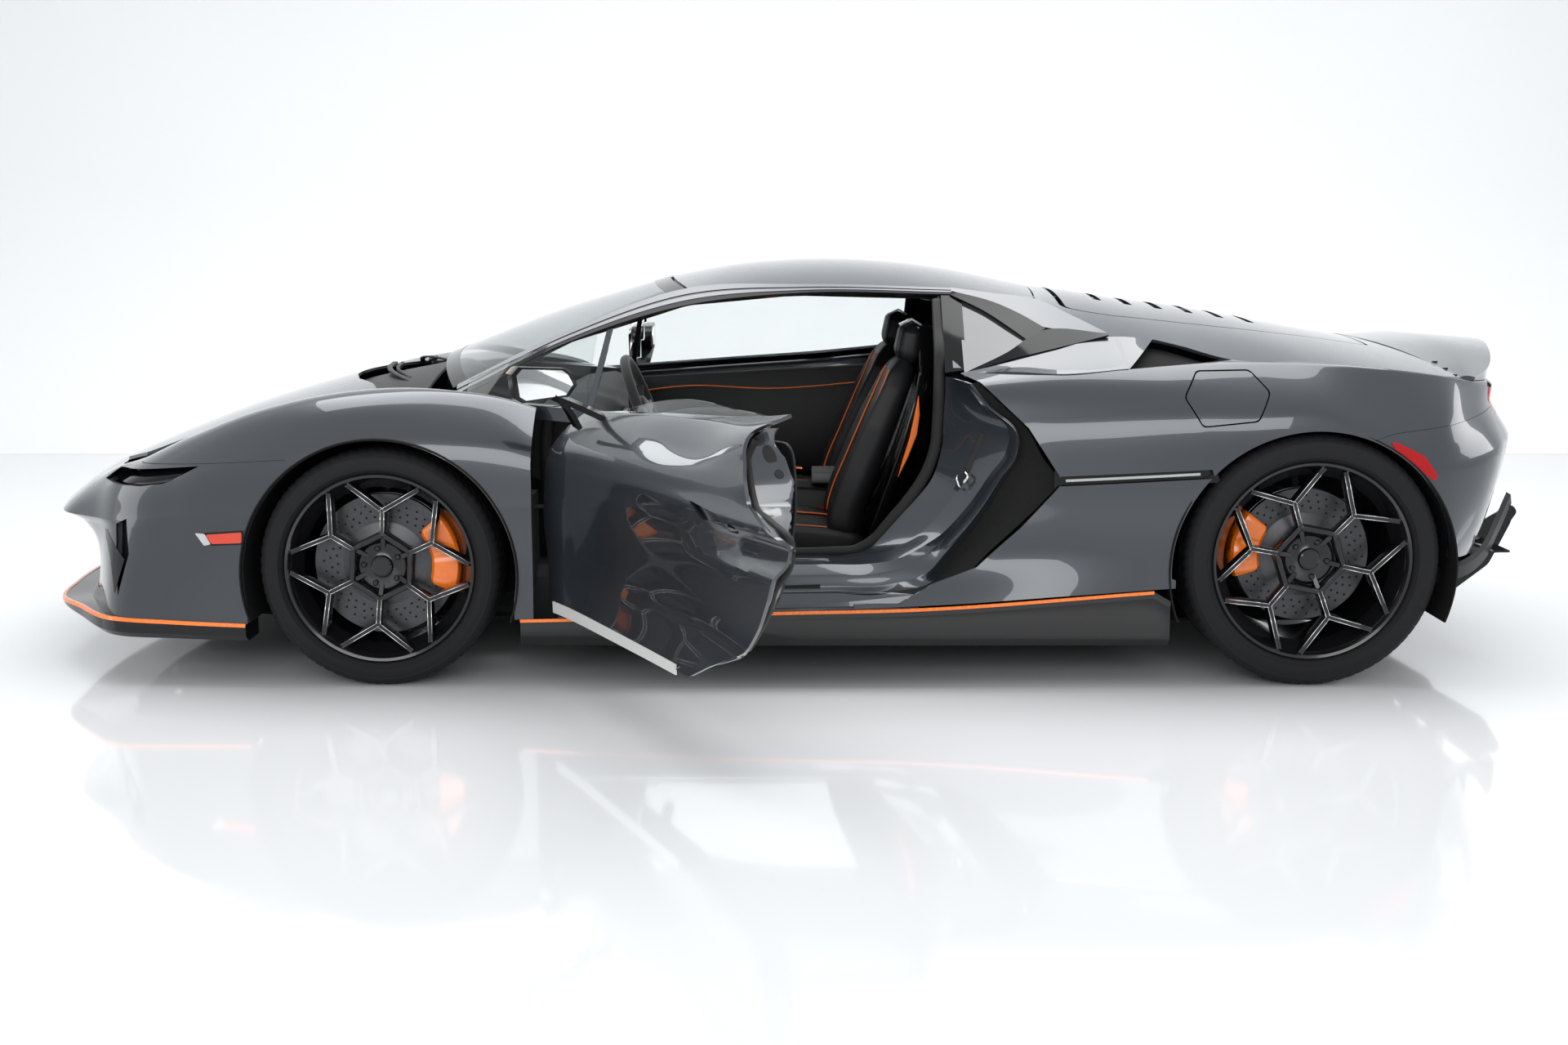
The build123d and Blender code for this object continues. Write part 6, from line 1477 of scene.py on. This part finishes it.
rim_angle = np.linspace(0, 2 * np.pi, 96, endpoint=False)
rim_radius = 176 - 22 * np.exp(-((rim_angle - 1.5 * np.pi) / 0.42) ** 4)
rim_line = on_wheel(rim_radius, rim_angle)
spin = np.linspace(0, 2 * np.pi, 16, endpoint=False)
outward_line = on_wheel(1.0, rim_angle) - WHEEL_MIDDLE
tube = rim_line[:, None] + (np.cos(spin)[None, :, None] * outward_line[:, None] * 13.5
    - np.sin(spin)[None, :, None] * WHEEL_AXIS * 15.5)
wheel_rim = make_object("steering_rim", tube.reshape(-1, 3), quads(96, 16, True, True))
outward_fix(wheel_rim)
hub_angle = np.linspace(0, 2 * np.pi, 28, endpoint=False)
hub_parts = [wheel_rim, lofted("hub", [on_wheel(r, hub_angle, out) for r,
    out in ((30, -40), (46, -30), (56, -6), (50, 10), (34, 16))])]
for angle in (0.05, math.pi - 0.05, 1.5 * math.pi):
    hub_parts.append(carried("spoke", on_wheel([40, 90, 168], angle, 2.0), oblong(9, 13),
        up=np.cross(WHEEL_AXIS, on_wheel(1.0, angle) - WHEEL_MIDDLE)))
for side in (-1, 1):
    paddle = WHEEL_MIDDLE + WHEEL_AXIS * 34 + [[0, side * 60, 10], [0, side * 104, 40], [0, side * 118, 84]]
    hub_parts.append(carried("paddle", paddle, oblong(3, 14), up=(1, 0, 0.2)))
hub_parts.append(carried("column", [WHEEL_MIDDLE + WHEEL_AXIS * 20, WHEEL_MIDDLE + WHEEL_AXIS * 120],
    round_profile(34, 20)))
settle(weighted(joined("steering_wheel_dressed", hub_parts), 40), "root", "cabin_trim", SUEDE,
    "steering_wheel")

# Door cards: a padded inner face on each door, with a grab strap and an orange line.
CARD = hind([
    (-1135, 800), (-1118, 640), (-1155, 520), (-1220, 400),
]) + fore([
    (560, 372), (520, 470), (505, 640), (520, 745),
])
for side in ("left", "right"):
    rings = [np.insert(rounded(CARD, 60.0, 6), 1, -depth, axis=1) for depth in (724.0, 716.0, 708.0)]
    middle = rings[0].mean(axis=0)
    rings[2] = middle + (rings[2] - middle) * (0.94, 1, 0.94)
    card = crisp(lofted("door_card", rings), 40, bevel=0.004)
    pull = carried("door_pull", spline([(front(700), -706, 600), (front(820), -690, 618),
        (front(1000), -690, 610), (front(1120), -706, 580)], 30), round_profile(1.0, 12) * (9.0, 16.0))
    line = carried("door_line", spline([(front(560), -707, 690), (front(800), -706, 716),
        (front(1100), -706, 706), (rear(-1120), -707, 740)], 40), round_profile(2.2, 8))
    for piece, slot, material in ((card, "cabin_trim", LEATHER), (pull, "cabin_trim", GREY_PAD),
        (line, "caliper", ORANGE_LEATHER)):
        label = piece.name
        if side == "left":
            piece.name = label + "_left"
            settle(turned_about(piece, DOOR_AXIS, DOOR_REST), "door_left", slot, material)
        else:
            settle(mirrored(piece, label + "_right"), "door_right", slot, material)
            bpy.data.objects.remove(piece)


# ---- lamps, markers, flaps and grilles
def inset_panel(name, surface, cutter, offset, thickness, outward):
    """A piece of a body surface trimmed by a cutter and moved outward by an offset, or inward if it is negative."""
    grid = facing(surface, outward)
    return panel(name, grid + grid_normals(grid) * offset, outward, [cutter], thickness=thickness)


nose_side = skin(CLIP_ROWS, np.linspace(3.5, 8, 70), np.linspace(0.5, 4.5, 34), CLIP_SHARP)
flank_side = skin(QUARTER_ROWS, np.linspace(0, 9.4, 150), np.linspace(0.3, 5, 44), REAR_SHARP)
MARKER = fore([(-497, 438), (-388, 448), (-389, 417), (-480, 412)])
CHEVRON = fore([(-530, 441), (-500, 440), (-482, 411), (-502, 406)])
REAR_MARKER = hind([(200, 708), (222, 704), (298, 668), (341, 610), (330, 596), (280, 632), (215, 682)])
SLOT_BLADE = hind([(-705, 589), (-705, 596), (-330, 619), (-330, 612)])
for name, surface, outline, offset, thickness, slot, material in (("marker_bezel", nose_side,
        grown(MARKER, 5.0), 0.8, 8.0, "gloss_black", GLOSS_BLACK),
        ("side_marker", nose_side, rounded(MARKER, 6.0, 4), 2.5, 12.0, "lamp_red", LENS_AMBER),
        ("marker_chevron", nose_side, rounded(CHEVRON, 3.0, 3), 2.0, 12.0, "suspension_metal", CHROME),
        ("rear_marker", flank_side, rounded(REAR_MARKER, 6.0, 4), 2.0, 12.0, "lamp_red", LENS_RED),
        ("fuel_flap", flank_side, rounded(FUEL_FLAP, 12.0, 5), 0.0, 9.0, "paint", PAINT),
        ("slot_liner", flank_side, grown(SIDE_SLOT, 14.0), -24.0, 5.0, "gloss_black", GLOSS_BLACK),
        ("slot_blade", flank_side, SLOT_BLADE, -12.0, 10.0, "paint", SILVER),
        ("intake_liner", flank_side, grown(INTAKE, 16.0), -30.0, 5.0, "black_plastic", MATT_BLACK)):
    piece = inset_panel(name, surface, left_cutter(outline, LAMP_INBOARD), offset, thickness, (0, -1, 0.4))
    both_hands(piece, name, "root", slot, material)

nose_front = skin(both, np.linspace(5.2, 16.8, 150), np.linspace(0.4, 5, 40), CLIP_SHARP)
for k, sign in enumerate((1, -1)):
    outline = grown([(sign * y, z) for y, z in MOUTH], 34.0)
    liner_piece = inset_panel(f"mouth_liner_{k}", nose_front, prism(outline, "x", front(-1250), front(-700)),
        -46.0, 5.0, (-1, 0, 0.2))
    settle(liner_piece, "root", "black_plastic", MATT_BLACK)
    for j, z in enumerate((268, 306, 344)):
        bar = [(front(-1096 + 0.36 * abs(y) * (abs(y) / 520) ** 1.2), sign * y,
            z) for y in np.linspace(-575, -135, 14)]
        settle(carried(f"mouth_slat_{k}_{j}", bar, oblong(11, 2.5), smooth=False), "root",
            "gloss_black", GLOSS_BLACK)
CORNER_MASK = fore([(-896, 424), (-832, 428), (-752, 356), (-787, 257), (-812, 350), (-836, 392)])
corner_mask = inset_panel("corner_mask", nose_side, left_cutter(CORNER_MASK, LAMP_INBOARD), 0.8,
    3.0, (0, -1, 0.2))
both_hands(corner_mask, "corner_mask", "root", "gloss_black", GLOSS_BLACK)
corner_side = skin(CLIP_ROWS, np.linspace(3.8, 6, 50), np.linspace(0.5, 3.0, 24), CLIP_SHARP)
corner_liner = inset_panel("corner_liner", corner_side, left_cutter(grown(CORNER_SLOT, 20.0)), -34.0,
    5.0, (0, -1, 0.2))
both_hands(corner_liner, "corner_liner", "root", "black_plastic", MATT_BLACK)
for name, x in (("a", -800), ("b", -776)):
    slat = carried("corner_slat", [(front(x), -800, 300), (front(x - 2), -804, 370), (front(x), -796, 448)],
                   oblong(2, 10), up=(1, 0, 0), smooth=False)
    both_hands(slat, f"corner_slat_{name}", "root", "paint", SILVER)

# Wipers: each path runs from the pivot along the arm, in car axes.
WIPERS = {
    "near": [(front(40), -420, 792), (front(-60), -280, 812), (front(-150), -60, 826),
        (front(-170), 120, 832)],
    "far": [(front(46), 60, 840), (front(-70), 200, 846), (front(-130), 380, 822), (front(-140), 470, 806)],
}
for name, path in WIPERS.items():
    path = np.array(path, float)
    arm = carried("wiper_arm", spline(path + (0, 0, 16), 30), oblong(8, 3), smooth=False)
    pivot = carried("wiper_pivot", path[0] + [(0, 0, -20), (0, 0, 26)], round_profile(15, 18), up=(1, 0, 0))
    blade = carried("wiper_blade", spline(path[1:] + (26, 0, 12), 24), oblong(4, 7), smooth=False)
    settle(joined(f"wiper_{name}", [arm, pivot, blade]), "root", "black_plastic", SATIN_BLACK)

# The number plate's plinth and a blank plate on it.
plinth = [[(rear(700), y, 502), (rear(800), y, 502), (rear(800), y, 654),
    (rear(778), y, 654)] for y in (-162, 162)]
settle(crisp(lofted("plate_plinth", plinth, False), bevel=0.003), "root", "paint", GLOSS_BLACK)
plate = [[(rear(800), y, 522), (rear(802.5), y, 522), (rear(802.5), y, 636),
    (rear(800), y, 636)] for y in (-150, 150)]
settle(crisp(lofted("blank_plate", plate, False), bevel=0.001), "root", "black_plastic", SATIN_BLACK)

# Diffuser: a rising floor, four blades and a swept edge under each corner of the tail.
DIFFUSER_FLOOR = [(395, 122), (480, 186), (560, 262), (640, 330), (700, 334)]
floor_line = spline([(rear(x), 0, z) for x, z in DIFFUSER_FLOOR], 24)
sheet = np.stack([floor_line + (0, y, 0) for y in np.linspace(-632, 632, 41)], 1)
sheet = facing(sheet, (0, 0, 1))
pieces = [shell_object("diffuser_sheet", sheet, 6.0, (0, 0, 1))]
BLADES = {
    260: [(430, 142), (560, 152), (800, 292), (868, 396), (846, 420), (770, 372), (690, 340), (640, 332),
        (560, 262), (470, 180)],
    470: [(430, 142), (560, 152), (700, 262), (764, 400), (756, 462), (730, 430), (690, 350), (640, 332),
        (560, 262), (470, 180)],
}
for y, outline in BLADES.items():
    ring = rounded([(rear(x), z) for x, z in outline], 14.0, 4)
    for side in (-1, 1):
        pieces.append(lofted("blade", [np.insert(ring, 1, side * y + d, axis=1) for d in (-5.0, 5.0)], False))
settle(weighted(joined("diffuser_dressed", pieces), 30), "root", "gloss_black", GLOSS_BLACK, "diffuser")
edge_line = spline(aft([(392, 872, 306), (470, 822, 312), (590, 690, 336), (680, 560, 396), (752, 468, 474)]),
    44)
edge = carried("tail_edge", edge_line, [(-8, -18), (6, -26), (8, 10), (-4, 20)], smooth=False)
both_hands(edge, "tail_edge", "root", "black_plastic", SATIN_BLACK)


# ---- wheels
SPOKES, FORK_SHARE, HEX_SHARE, TIP_SPREAD = 6, 0.61, 0.35, 23.5
# caliper holds the angle where it starts and its sweep, in degrees.
WHEELS = {
    "front": dict(hub=FRONT_HUB, radius=343.2, width=255.0, flange=271.0, rim_width=232.0, disc=205.0,
        turn=86.0, caliper=(-22, 64)),
    "rear": dict(hub=REAR_HUB, radius=364.2, width=325.0, flange=284.0, rim_width=300.0, disc=195.0,
        turn=48.7, caliper=(142, 56)),
}
TREAD_BLOCKS, TYRE_COUNT = 72, 288


def ribs(name, hub, lines, top_half, base_half, depth, aside=0.0):
    """Bars in a wheel's plane: each line runs (r, angle, out) to (r, angle, out), tapered across its depth.

    out is how far the bar's face stands outboard of the wheel's middle plane, aside moves a bar across itself.
    """
    pieces = []
    for (r0, a0, out0), (r1, a1, out1) in lines:
        ends = np.array([(hub[0] + r0 * math.cos(a0), hub[1] - out0, hub[2] + r0 * math.sin(a0)),
            (hub[0] + r1 * math.cos(a1), hub[1] - out1, hub[2] + r1 * math.sin(a1))])
        along = (ends[1] - ends[0]) * (1, 0, 1)
        along /= np.linalg.norm(along)
        across = np.cross(along, (0, 1.0, 0))
        rings = []
        for end in ends + across * aside:
            rings.append([end - across * top_half, end + across * top_half, end + across * (base_half - 1.5)
                + (0, 6.0, 0), end + across * base_half + (0, depth, 0),
                end - across * base_half + (0, depth, 0), end - across * (base_half - 1.5) + (0, 6.0, 0)])
        pieces.append(lofted("bar", rings, False))
    return joined(name, pieces)


def rim_pieces(size):
    """The rim of a left wheel and bright lines along its spokes, which are painted highlights standing for
    reflections on the spokes' bevels.
    """
    hub, flange = size["hub"], size["flange"]
    half, seat, well = size["rim_width"] / 2, flange - 17, flange - 34
    step = 2 * math.pi / SPOKES
    turn = math.radians(size["turn"])
    fork, corner = flange * FORK_SHARE, flange * HEX_SHARE
    face = half - 8
    barrel = turned("rim_barrel", hub, [
        (flange, -half), (flange, -half + 7), (flange - 7, -half + 10), (seat, -half + 14),
            (seat - 3, -half + 44),
        (well, -half + 64), (well, half - 40), (seat, half - 14), (flange - 7, half - 10), (flange, half - 7),
        (flange, half), (flange - 9, half), (seat - 10, half - 12), (well - 9, half - 42),
            (well - 9, -half + 60),
        (seat - 13, -half + 40), (flange - 15, -half + 12), (flange - 9, -half + 3)], 144)
    tip, spread = flange - 14, math.radians(TIP_SPREAD)
    lines = []
    for k in range(SPOKES):
        angle = turn + k * step
        lines.append(((corner - 4, angle, face - 16), (fork + 3, angle, face - 5)))
        for way in (-1, 1):
            lines.append(((fork, angle, face - 5), (tip, angle + way * spread, face + 1)))
    bars = ribs("rim_spokes", hub, lines, 5.6, 9.5, 34.0)
    # Bright metal strips along both sides of each spoke paint the highlights of its bevels.
    glint_lines = [tuple((r, a, out + 0.9) for r, a, out in line) for line in lines]
    edges = joined("rim_edge_highlights", [ribs("edge", hub, glint_lines, 1.0, 1.3, 8.0, aside)
        for aside in (-5.4, 5.4)])
    ring = ribs("rim_ring", hub, [((corner, turn + k * step, face - 16),
        (corner, turn + (k + 1) * step, face - 16)) for k in range(SPOKES)], 6.5, 10.5, 30.0)
    webs = ribs("rim_webs", hub, [((50, turn + k * step, face - 38), (corner, turn + k * step, face - 20))
        for k in range(SPOKES)], 7.0, 10.0, 34.0)
    centre = turned("rim_centre", hub, [
        (0.5, -face + 22), (24, -face + 22), (29, -face + 25), (31, -face + 34), (40, -face + 37),
            (66, -face + 38),
        (74, -face + 43), (79, -face + 58), (79, -face + 76), (0.5, -face + 76)], 72, wrap=False)
    bolts = []
    for k in range(5):
        angle = turn + 0.3 + k * 2 * math.pi / 5
        spot = hub + (53 * math.cos(angle), 0, 53 * math.sin(angle))
        bolts.append(turned("bolt", spot, [(0.5, -face + 31), (6, -face + 31), (9.5, -face + 34),
            (9.5, -face + 44), (0.5, -face + 44)], 6, wrap=False))
    rim = joined("rim_detail", [barrel, bars, ring, webs, centre, *bolts])
    return crisp(rim, 28.0, bevel=0.0014, segments=1, limit=50.0), edges


def tyre_piece(size):
    """A tyre: its section turned about the hub, with four grooves round it and slanted cuts across its shoulders."""
    hub, flange = size["hub"], size["flange"]
    seat, half = flange - 17, size["rim_width"] / 2
    radius, bulge, bead = size["radius"], size["width"] / 2, half - 8.5
    sidewall = [(seat + 2, bead - 4), (flange + 2, bead + 0.5), (flange + 4, bead + 5),
        (flange + 9, bulge - 5.5), (flange + 14, bulge - 2), (flange + 15, bulge - 0.2),
        (flange + 18, bulge - 0.2), (flange + 19, bulge - 1.2), (flange + 30, bulge - 0.4),
        (radius - 30, bulge - 2.6), (radius - 24, bulge - 5), (radius - 22, bulge - 4.6),
        (radius - 12, bulge - 11), (radius - 6, bulge - 18), (radius - 2.2, bulge - 27)]
    tread = np.linspace(bulge - 32, -(bulge - 32), 31)
    crown_drop = 2.0 * (tread / bulge) ** 4
    outer = np.concatenate([[(r, -y) for r, y in sidewall], np.stack([radius - 0.3 - crown_drop, -tread], -1),
        [(r, y) for r, y in sidewall[::-1]]])
    inner = np.array([(radius - 16, bulge - 44), (radius - 24, bulge - 18), (flange + 22, bulge - 12),
        (flange + 2, bead - 12), (seat + 2, bead - 16)])
    outline = np.concatenate([outer, inner[::-1], inner * (1, -1)])
    angle = np.arange(TYRE_COUNT) * 2 * math.pi / TYRE_COUNT
    r = np.broadcast_to(outline[None, :, 0], (TYRE_COUNT, len(outline))).copy()
    y = np.broadcast_to(outline[None, :, 1], r.shape)
    first, last = len(sidewall), len(sidewall) + len(tread)
    across = y[:, first:last] / bulge
    around = (angle[:, None] * TREAD_BLOCKS / (2 * math.pi) + np.abs(across) * 1.7) % 1.0
    round_cut = (np.abs(np.abs(across) - 0.16) < 0.035) | (np.abs(np.abs(across) - 0.48) < 0.035)
    cross_cut = (around < 0.22) & (np.abs(across) > 0.3)
    r[:, first:last] -= 5.5 * round_cut + 3.6 * (cross_cut & ~round_cut)
    rest = np.concatenate([np.arange(first - 3, first), np.arange(last, last + 3)])
    shoulder = (angle[:, None] * TREAD_BLOCKS / (2 * math.pi) + 1.7 * np.abs(y[:, rest]) / bulge) % 1.0 < 0.22
    r[:, rest] -= 2.4 * shoulder
    grid = np.stack([hub[0] + r * np.cos(angle)[:, None], hub[1] + y, hub[2] + r * np.sin(angle)[:, None]],
        -1)
    tyre = make_object("tyre_tread", grid.reshape(-1, 3),
        quads(*grid.shape[:2], wrap_rows=True, wrap_cols=True))
    outward_fix(tyre)
    tyre.data.set_sharp_from_angle(angle=math.radians(38))
    return tyre


def disc_pieces(size):
    """A disc with its hat, and its three rings of drilled holes as sunk dark caps, which paint the shade inside the
    holes.
    """
    hub, low, high, reach = size["hub"], -28.0, 8.0, size["disc"]
    hat = turned("disc_ring", hub, [
        (reach - 1.5, low), (reach, low + 1.5), (reach, -14), (reach - 6, -12), (reach - 6, -8), (reach, -6),
        (reach, high - 1.5), (reach - 1.5, high), (118, high), (118, low + 4), (84, -36),
            (34, -36), (34, -44),
        (86, -44), (120, low), (124, low)], 120)
    holes = []
    for k in range(36):
        for row, distance in enumerate((138, 156, 174)):
            spin, far = (k + row / 3 + 0.1) * 2 * math.pi / 36, distance + 4 * (k % 2)
            spot = hub + (far * math.cos(spin), 0, far * math.sin(spin))
            holes.append(turned("hole", spot, [(0.4, low - 0.25), (3.6, low - 0.25), (3.6, low + 1),
                (0.4, low + 1)], 8, wrap=False))
    hat.data.set_sharp_from_angle(angle=math.radians(30))
    return hat, joined("disc_hole_shade_caps", holes)


def caliper_piece(size):
    """A caliper's body carried round the disc's edge, narrowed at both ends and slightly waisted."""
    hub, reach = size["hub"], size["disc"]
    start, sweep = (math.radians(v) for v in size["caliper"])
    share = np.linspace(0, 1, 26)
    ease = np.minimum(1.0, np.minimum(share, 1 - share) / 0.10) ** 0.5
    waist = 1 - 0.10 * np.exp(-((share - 0.5) / 0.09) ** 2)
    profile = np.array([(-70, -30), (-66, -52), (-58, -59), (-6, -59), (8, -56), (15, -46), (16, 0), (15, 40),
        (8, 49), (-6, 51), (-66, 51), (-70, 46), (-70, 14), (4, 14), (5, 12), (5, -32), (4, -34), (-66, -34)],
        float)
    angle = start + share * sweep
    lean = reach + profile[None, :, 0] * (0.86 + 0.14 * ease[:, None])
    side = profile[None, :, 1] * np.where(profile[None, :, 1] < -40,
        (0.90 + 0.10 * ease[:, None]) * waist[:, None], 1.0)
    rings = np.stack([hub[0] + lean * np.cos(angle)[:, None], hub[1] + side,
        hub[2] + lean * np.sin(angle)[:, None]], -1)
    return crisp(lofted("caliper_body", rings), 34.0, bevel=0.002)


for end, size in WHEELS.items():
    rim, edges = rim_pieces(size)
    tyre = tyre_piece(size)
    disc, disc_hole_shade_caps = disc_pieces(size)
    for piece, word, slot, material in ((rim, "rim", "rim_black", RIM), (edges, "rim", "rim_black", CHROME),
        (tyre, "tyre", "tyre", RUBBER), (disc, "disc", "brake_disc", DISC_METAL_SHADED),
        (disc_hole_shade_caps, "disc", "brake_disc", SEAL)):
        left = f"wheel_{end}_left"
        label = piece.name
        piece.name = f"{label}_{end}_left"
        settle(piece, left, slot, material, f"{word}_{end}_left")
        settle(mirrored(piece, f"{label}_{end}_right"), f"wheel_{end}_right", slot, material,
            f"{word}_{end}_right")
    body = caliper_piece(size)
    if end == "front":
        body.name = "caliper_body_front_left"
        settle(body, "knuckle_left", "caliper", ORANGE, "caliper_front_left")
        settle(mirrored(body, "caliper_body_front_right"), "knuckle_right", "caliper", ORANGE,
            "caliper_front_right")
    else:
        both_hands(body, "caliper_body_rear", "root", "caliper", ORANGE, "rear_calipers")


# ---- CAD pieces kept as they are
CAD_FINISH = {
    "arch_liners": MATT_BLACK, "underfloor": MATT_BLACK, "tub": COMPOSITE, "engine_block": CAST,
    "exhaust_pipes": STEEL, "knuckle_left": CAST, "knuckle_right": CAST, "rear_carriers": CAST,
    "suspension_arms": CAST, "luggage_tub": CARPET, "rear_window": DARK_WINDOW, "roof_frame": PAINT,
}
for name, obj in NODES.items():
    if not obj.hide_render:
        obj.data.materials.clear()
        obj.data.materials.append(CAD_FINISH.get(name, SATIN_BLACK))

# ---- stage, light and camera
STUDIO = 26000.0


def stage_sheet(name, line, material):
    """A staged sheet: a line of (y, z) points carried straight across the studio."""
    line = np.asarray(line, float)
    grid = np.stack([np.insert(line, 0, x, axis=1) for x in np.linspace(-STUDIO, STUDIO, 9)])
    grid = facing(grid, (0, -0.5, 1))
    sheet = make_object(name, grid.reshape(-1, 3), quads(*grid.shape[:2]))
    sheet.data.materials.append(material)


stage_sheet("floor", [(-STUDIO, 0), (0, 0), (STUDIO, 0)], FLOOR)
# The back wall rises from the floor in a quarter round and is clear from behind, so that it hides nothing there.
ROUND = np.linspace(0.06, math.pi / 2, 18)
stage_sheet("back_wall", [(4200 + 1600 * math.sin(a), 1601 - 1600 * math.cos(a)) for a in ROUND]
    + [(5800, 9000)], WALL)
wall_tree = WALL.node_tree
side_node = wall_tree.nodes.new("ShaderNodeNewGeometry")
clear_node = wall_tree.nodes.new("ShaderNodeMapRange")
clear_node.inputs["To Min"].default_value, clear_node.inputs["To Max"].default_value = 1.0, 0.0
wired(wall_tree, [(side_node, "Backfacing", clear_node, "Value"),
    (clear_node, "Result", wall_tree.nodes["Principled BSDF"], "Alpha")])

world = bpy.data.worlds.new("studio")
bpy.context.scene.world = world
world.use_nodes = True
sky = world.node_tree.nodes["Background"].inputs
sky["Color"].default_value, sky["Strength"].default_value = (0.94, 0.955, 0.97, 1), 0.9


def soft_light(name, place, aim, size, power):
    """A soft oblong lamp at a place, aimed at a spot, both in car millimetres; its size is in metres."""
    data = bpy.data.lights.new(name, "AREA")
    data.shape = "RECTANGLE"
    data.size, data.size_y = size
    data.energy = power
    lamp_object = bpy.data.objects.new(name, data)
    bpy.context.scene.collection.objects.link(lamp_object)
    start = (np.array(place) + SHIFT) * MM
    direction = (np.array(aim) + SHIFT) * MM - start
    lamp_object.location = start
    lamp_object.rotation_euler = Vector(direction).to_track_quat("-Z", "Y").to_euler()


soft_light("ceiling", (0, 500, 4800), (0, 0, 0), (7.5, 3.4), 330)
soft_light("near_wall", (-600, -7600, 2900), (0, 0, 400), (7.5, 2.2), 210)
soft_light("front_wall", (-6800, -1200, 2300), (0, 0, 500), (3.2, 2.2), 45)
soft_light("rear_wall", (6800, -800, 2400), (0, 0, 600), (3.2, 2.2), 90)

# The lens's focal length in pixels of a frame 1920 wide, and the camera's tilt down in degrees.
FOCAL, TILT = 2193.0, 9.44
camera_data = bpy.data.cameras.new("camera")
camera_data.sensor_width = 36.0
camera_data.lens = camera_data.sensor_width * FOCAL / 1920.0
camera = bpy.data.objects.new("camera", camera_data)
bpy.context.scene.collection.objects.link(camera)
camera.location = (np.array([-100.0, -5985.0, 1310.0]) + SHIFT) * MM
camera.rotation_euler = (math.radians(90 - TILT), 0, 0)
bpy.context.scene.camera = camera
bpy.context.scene.view_settings.view_transform = "Standard"
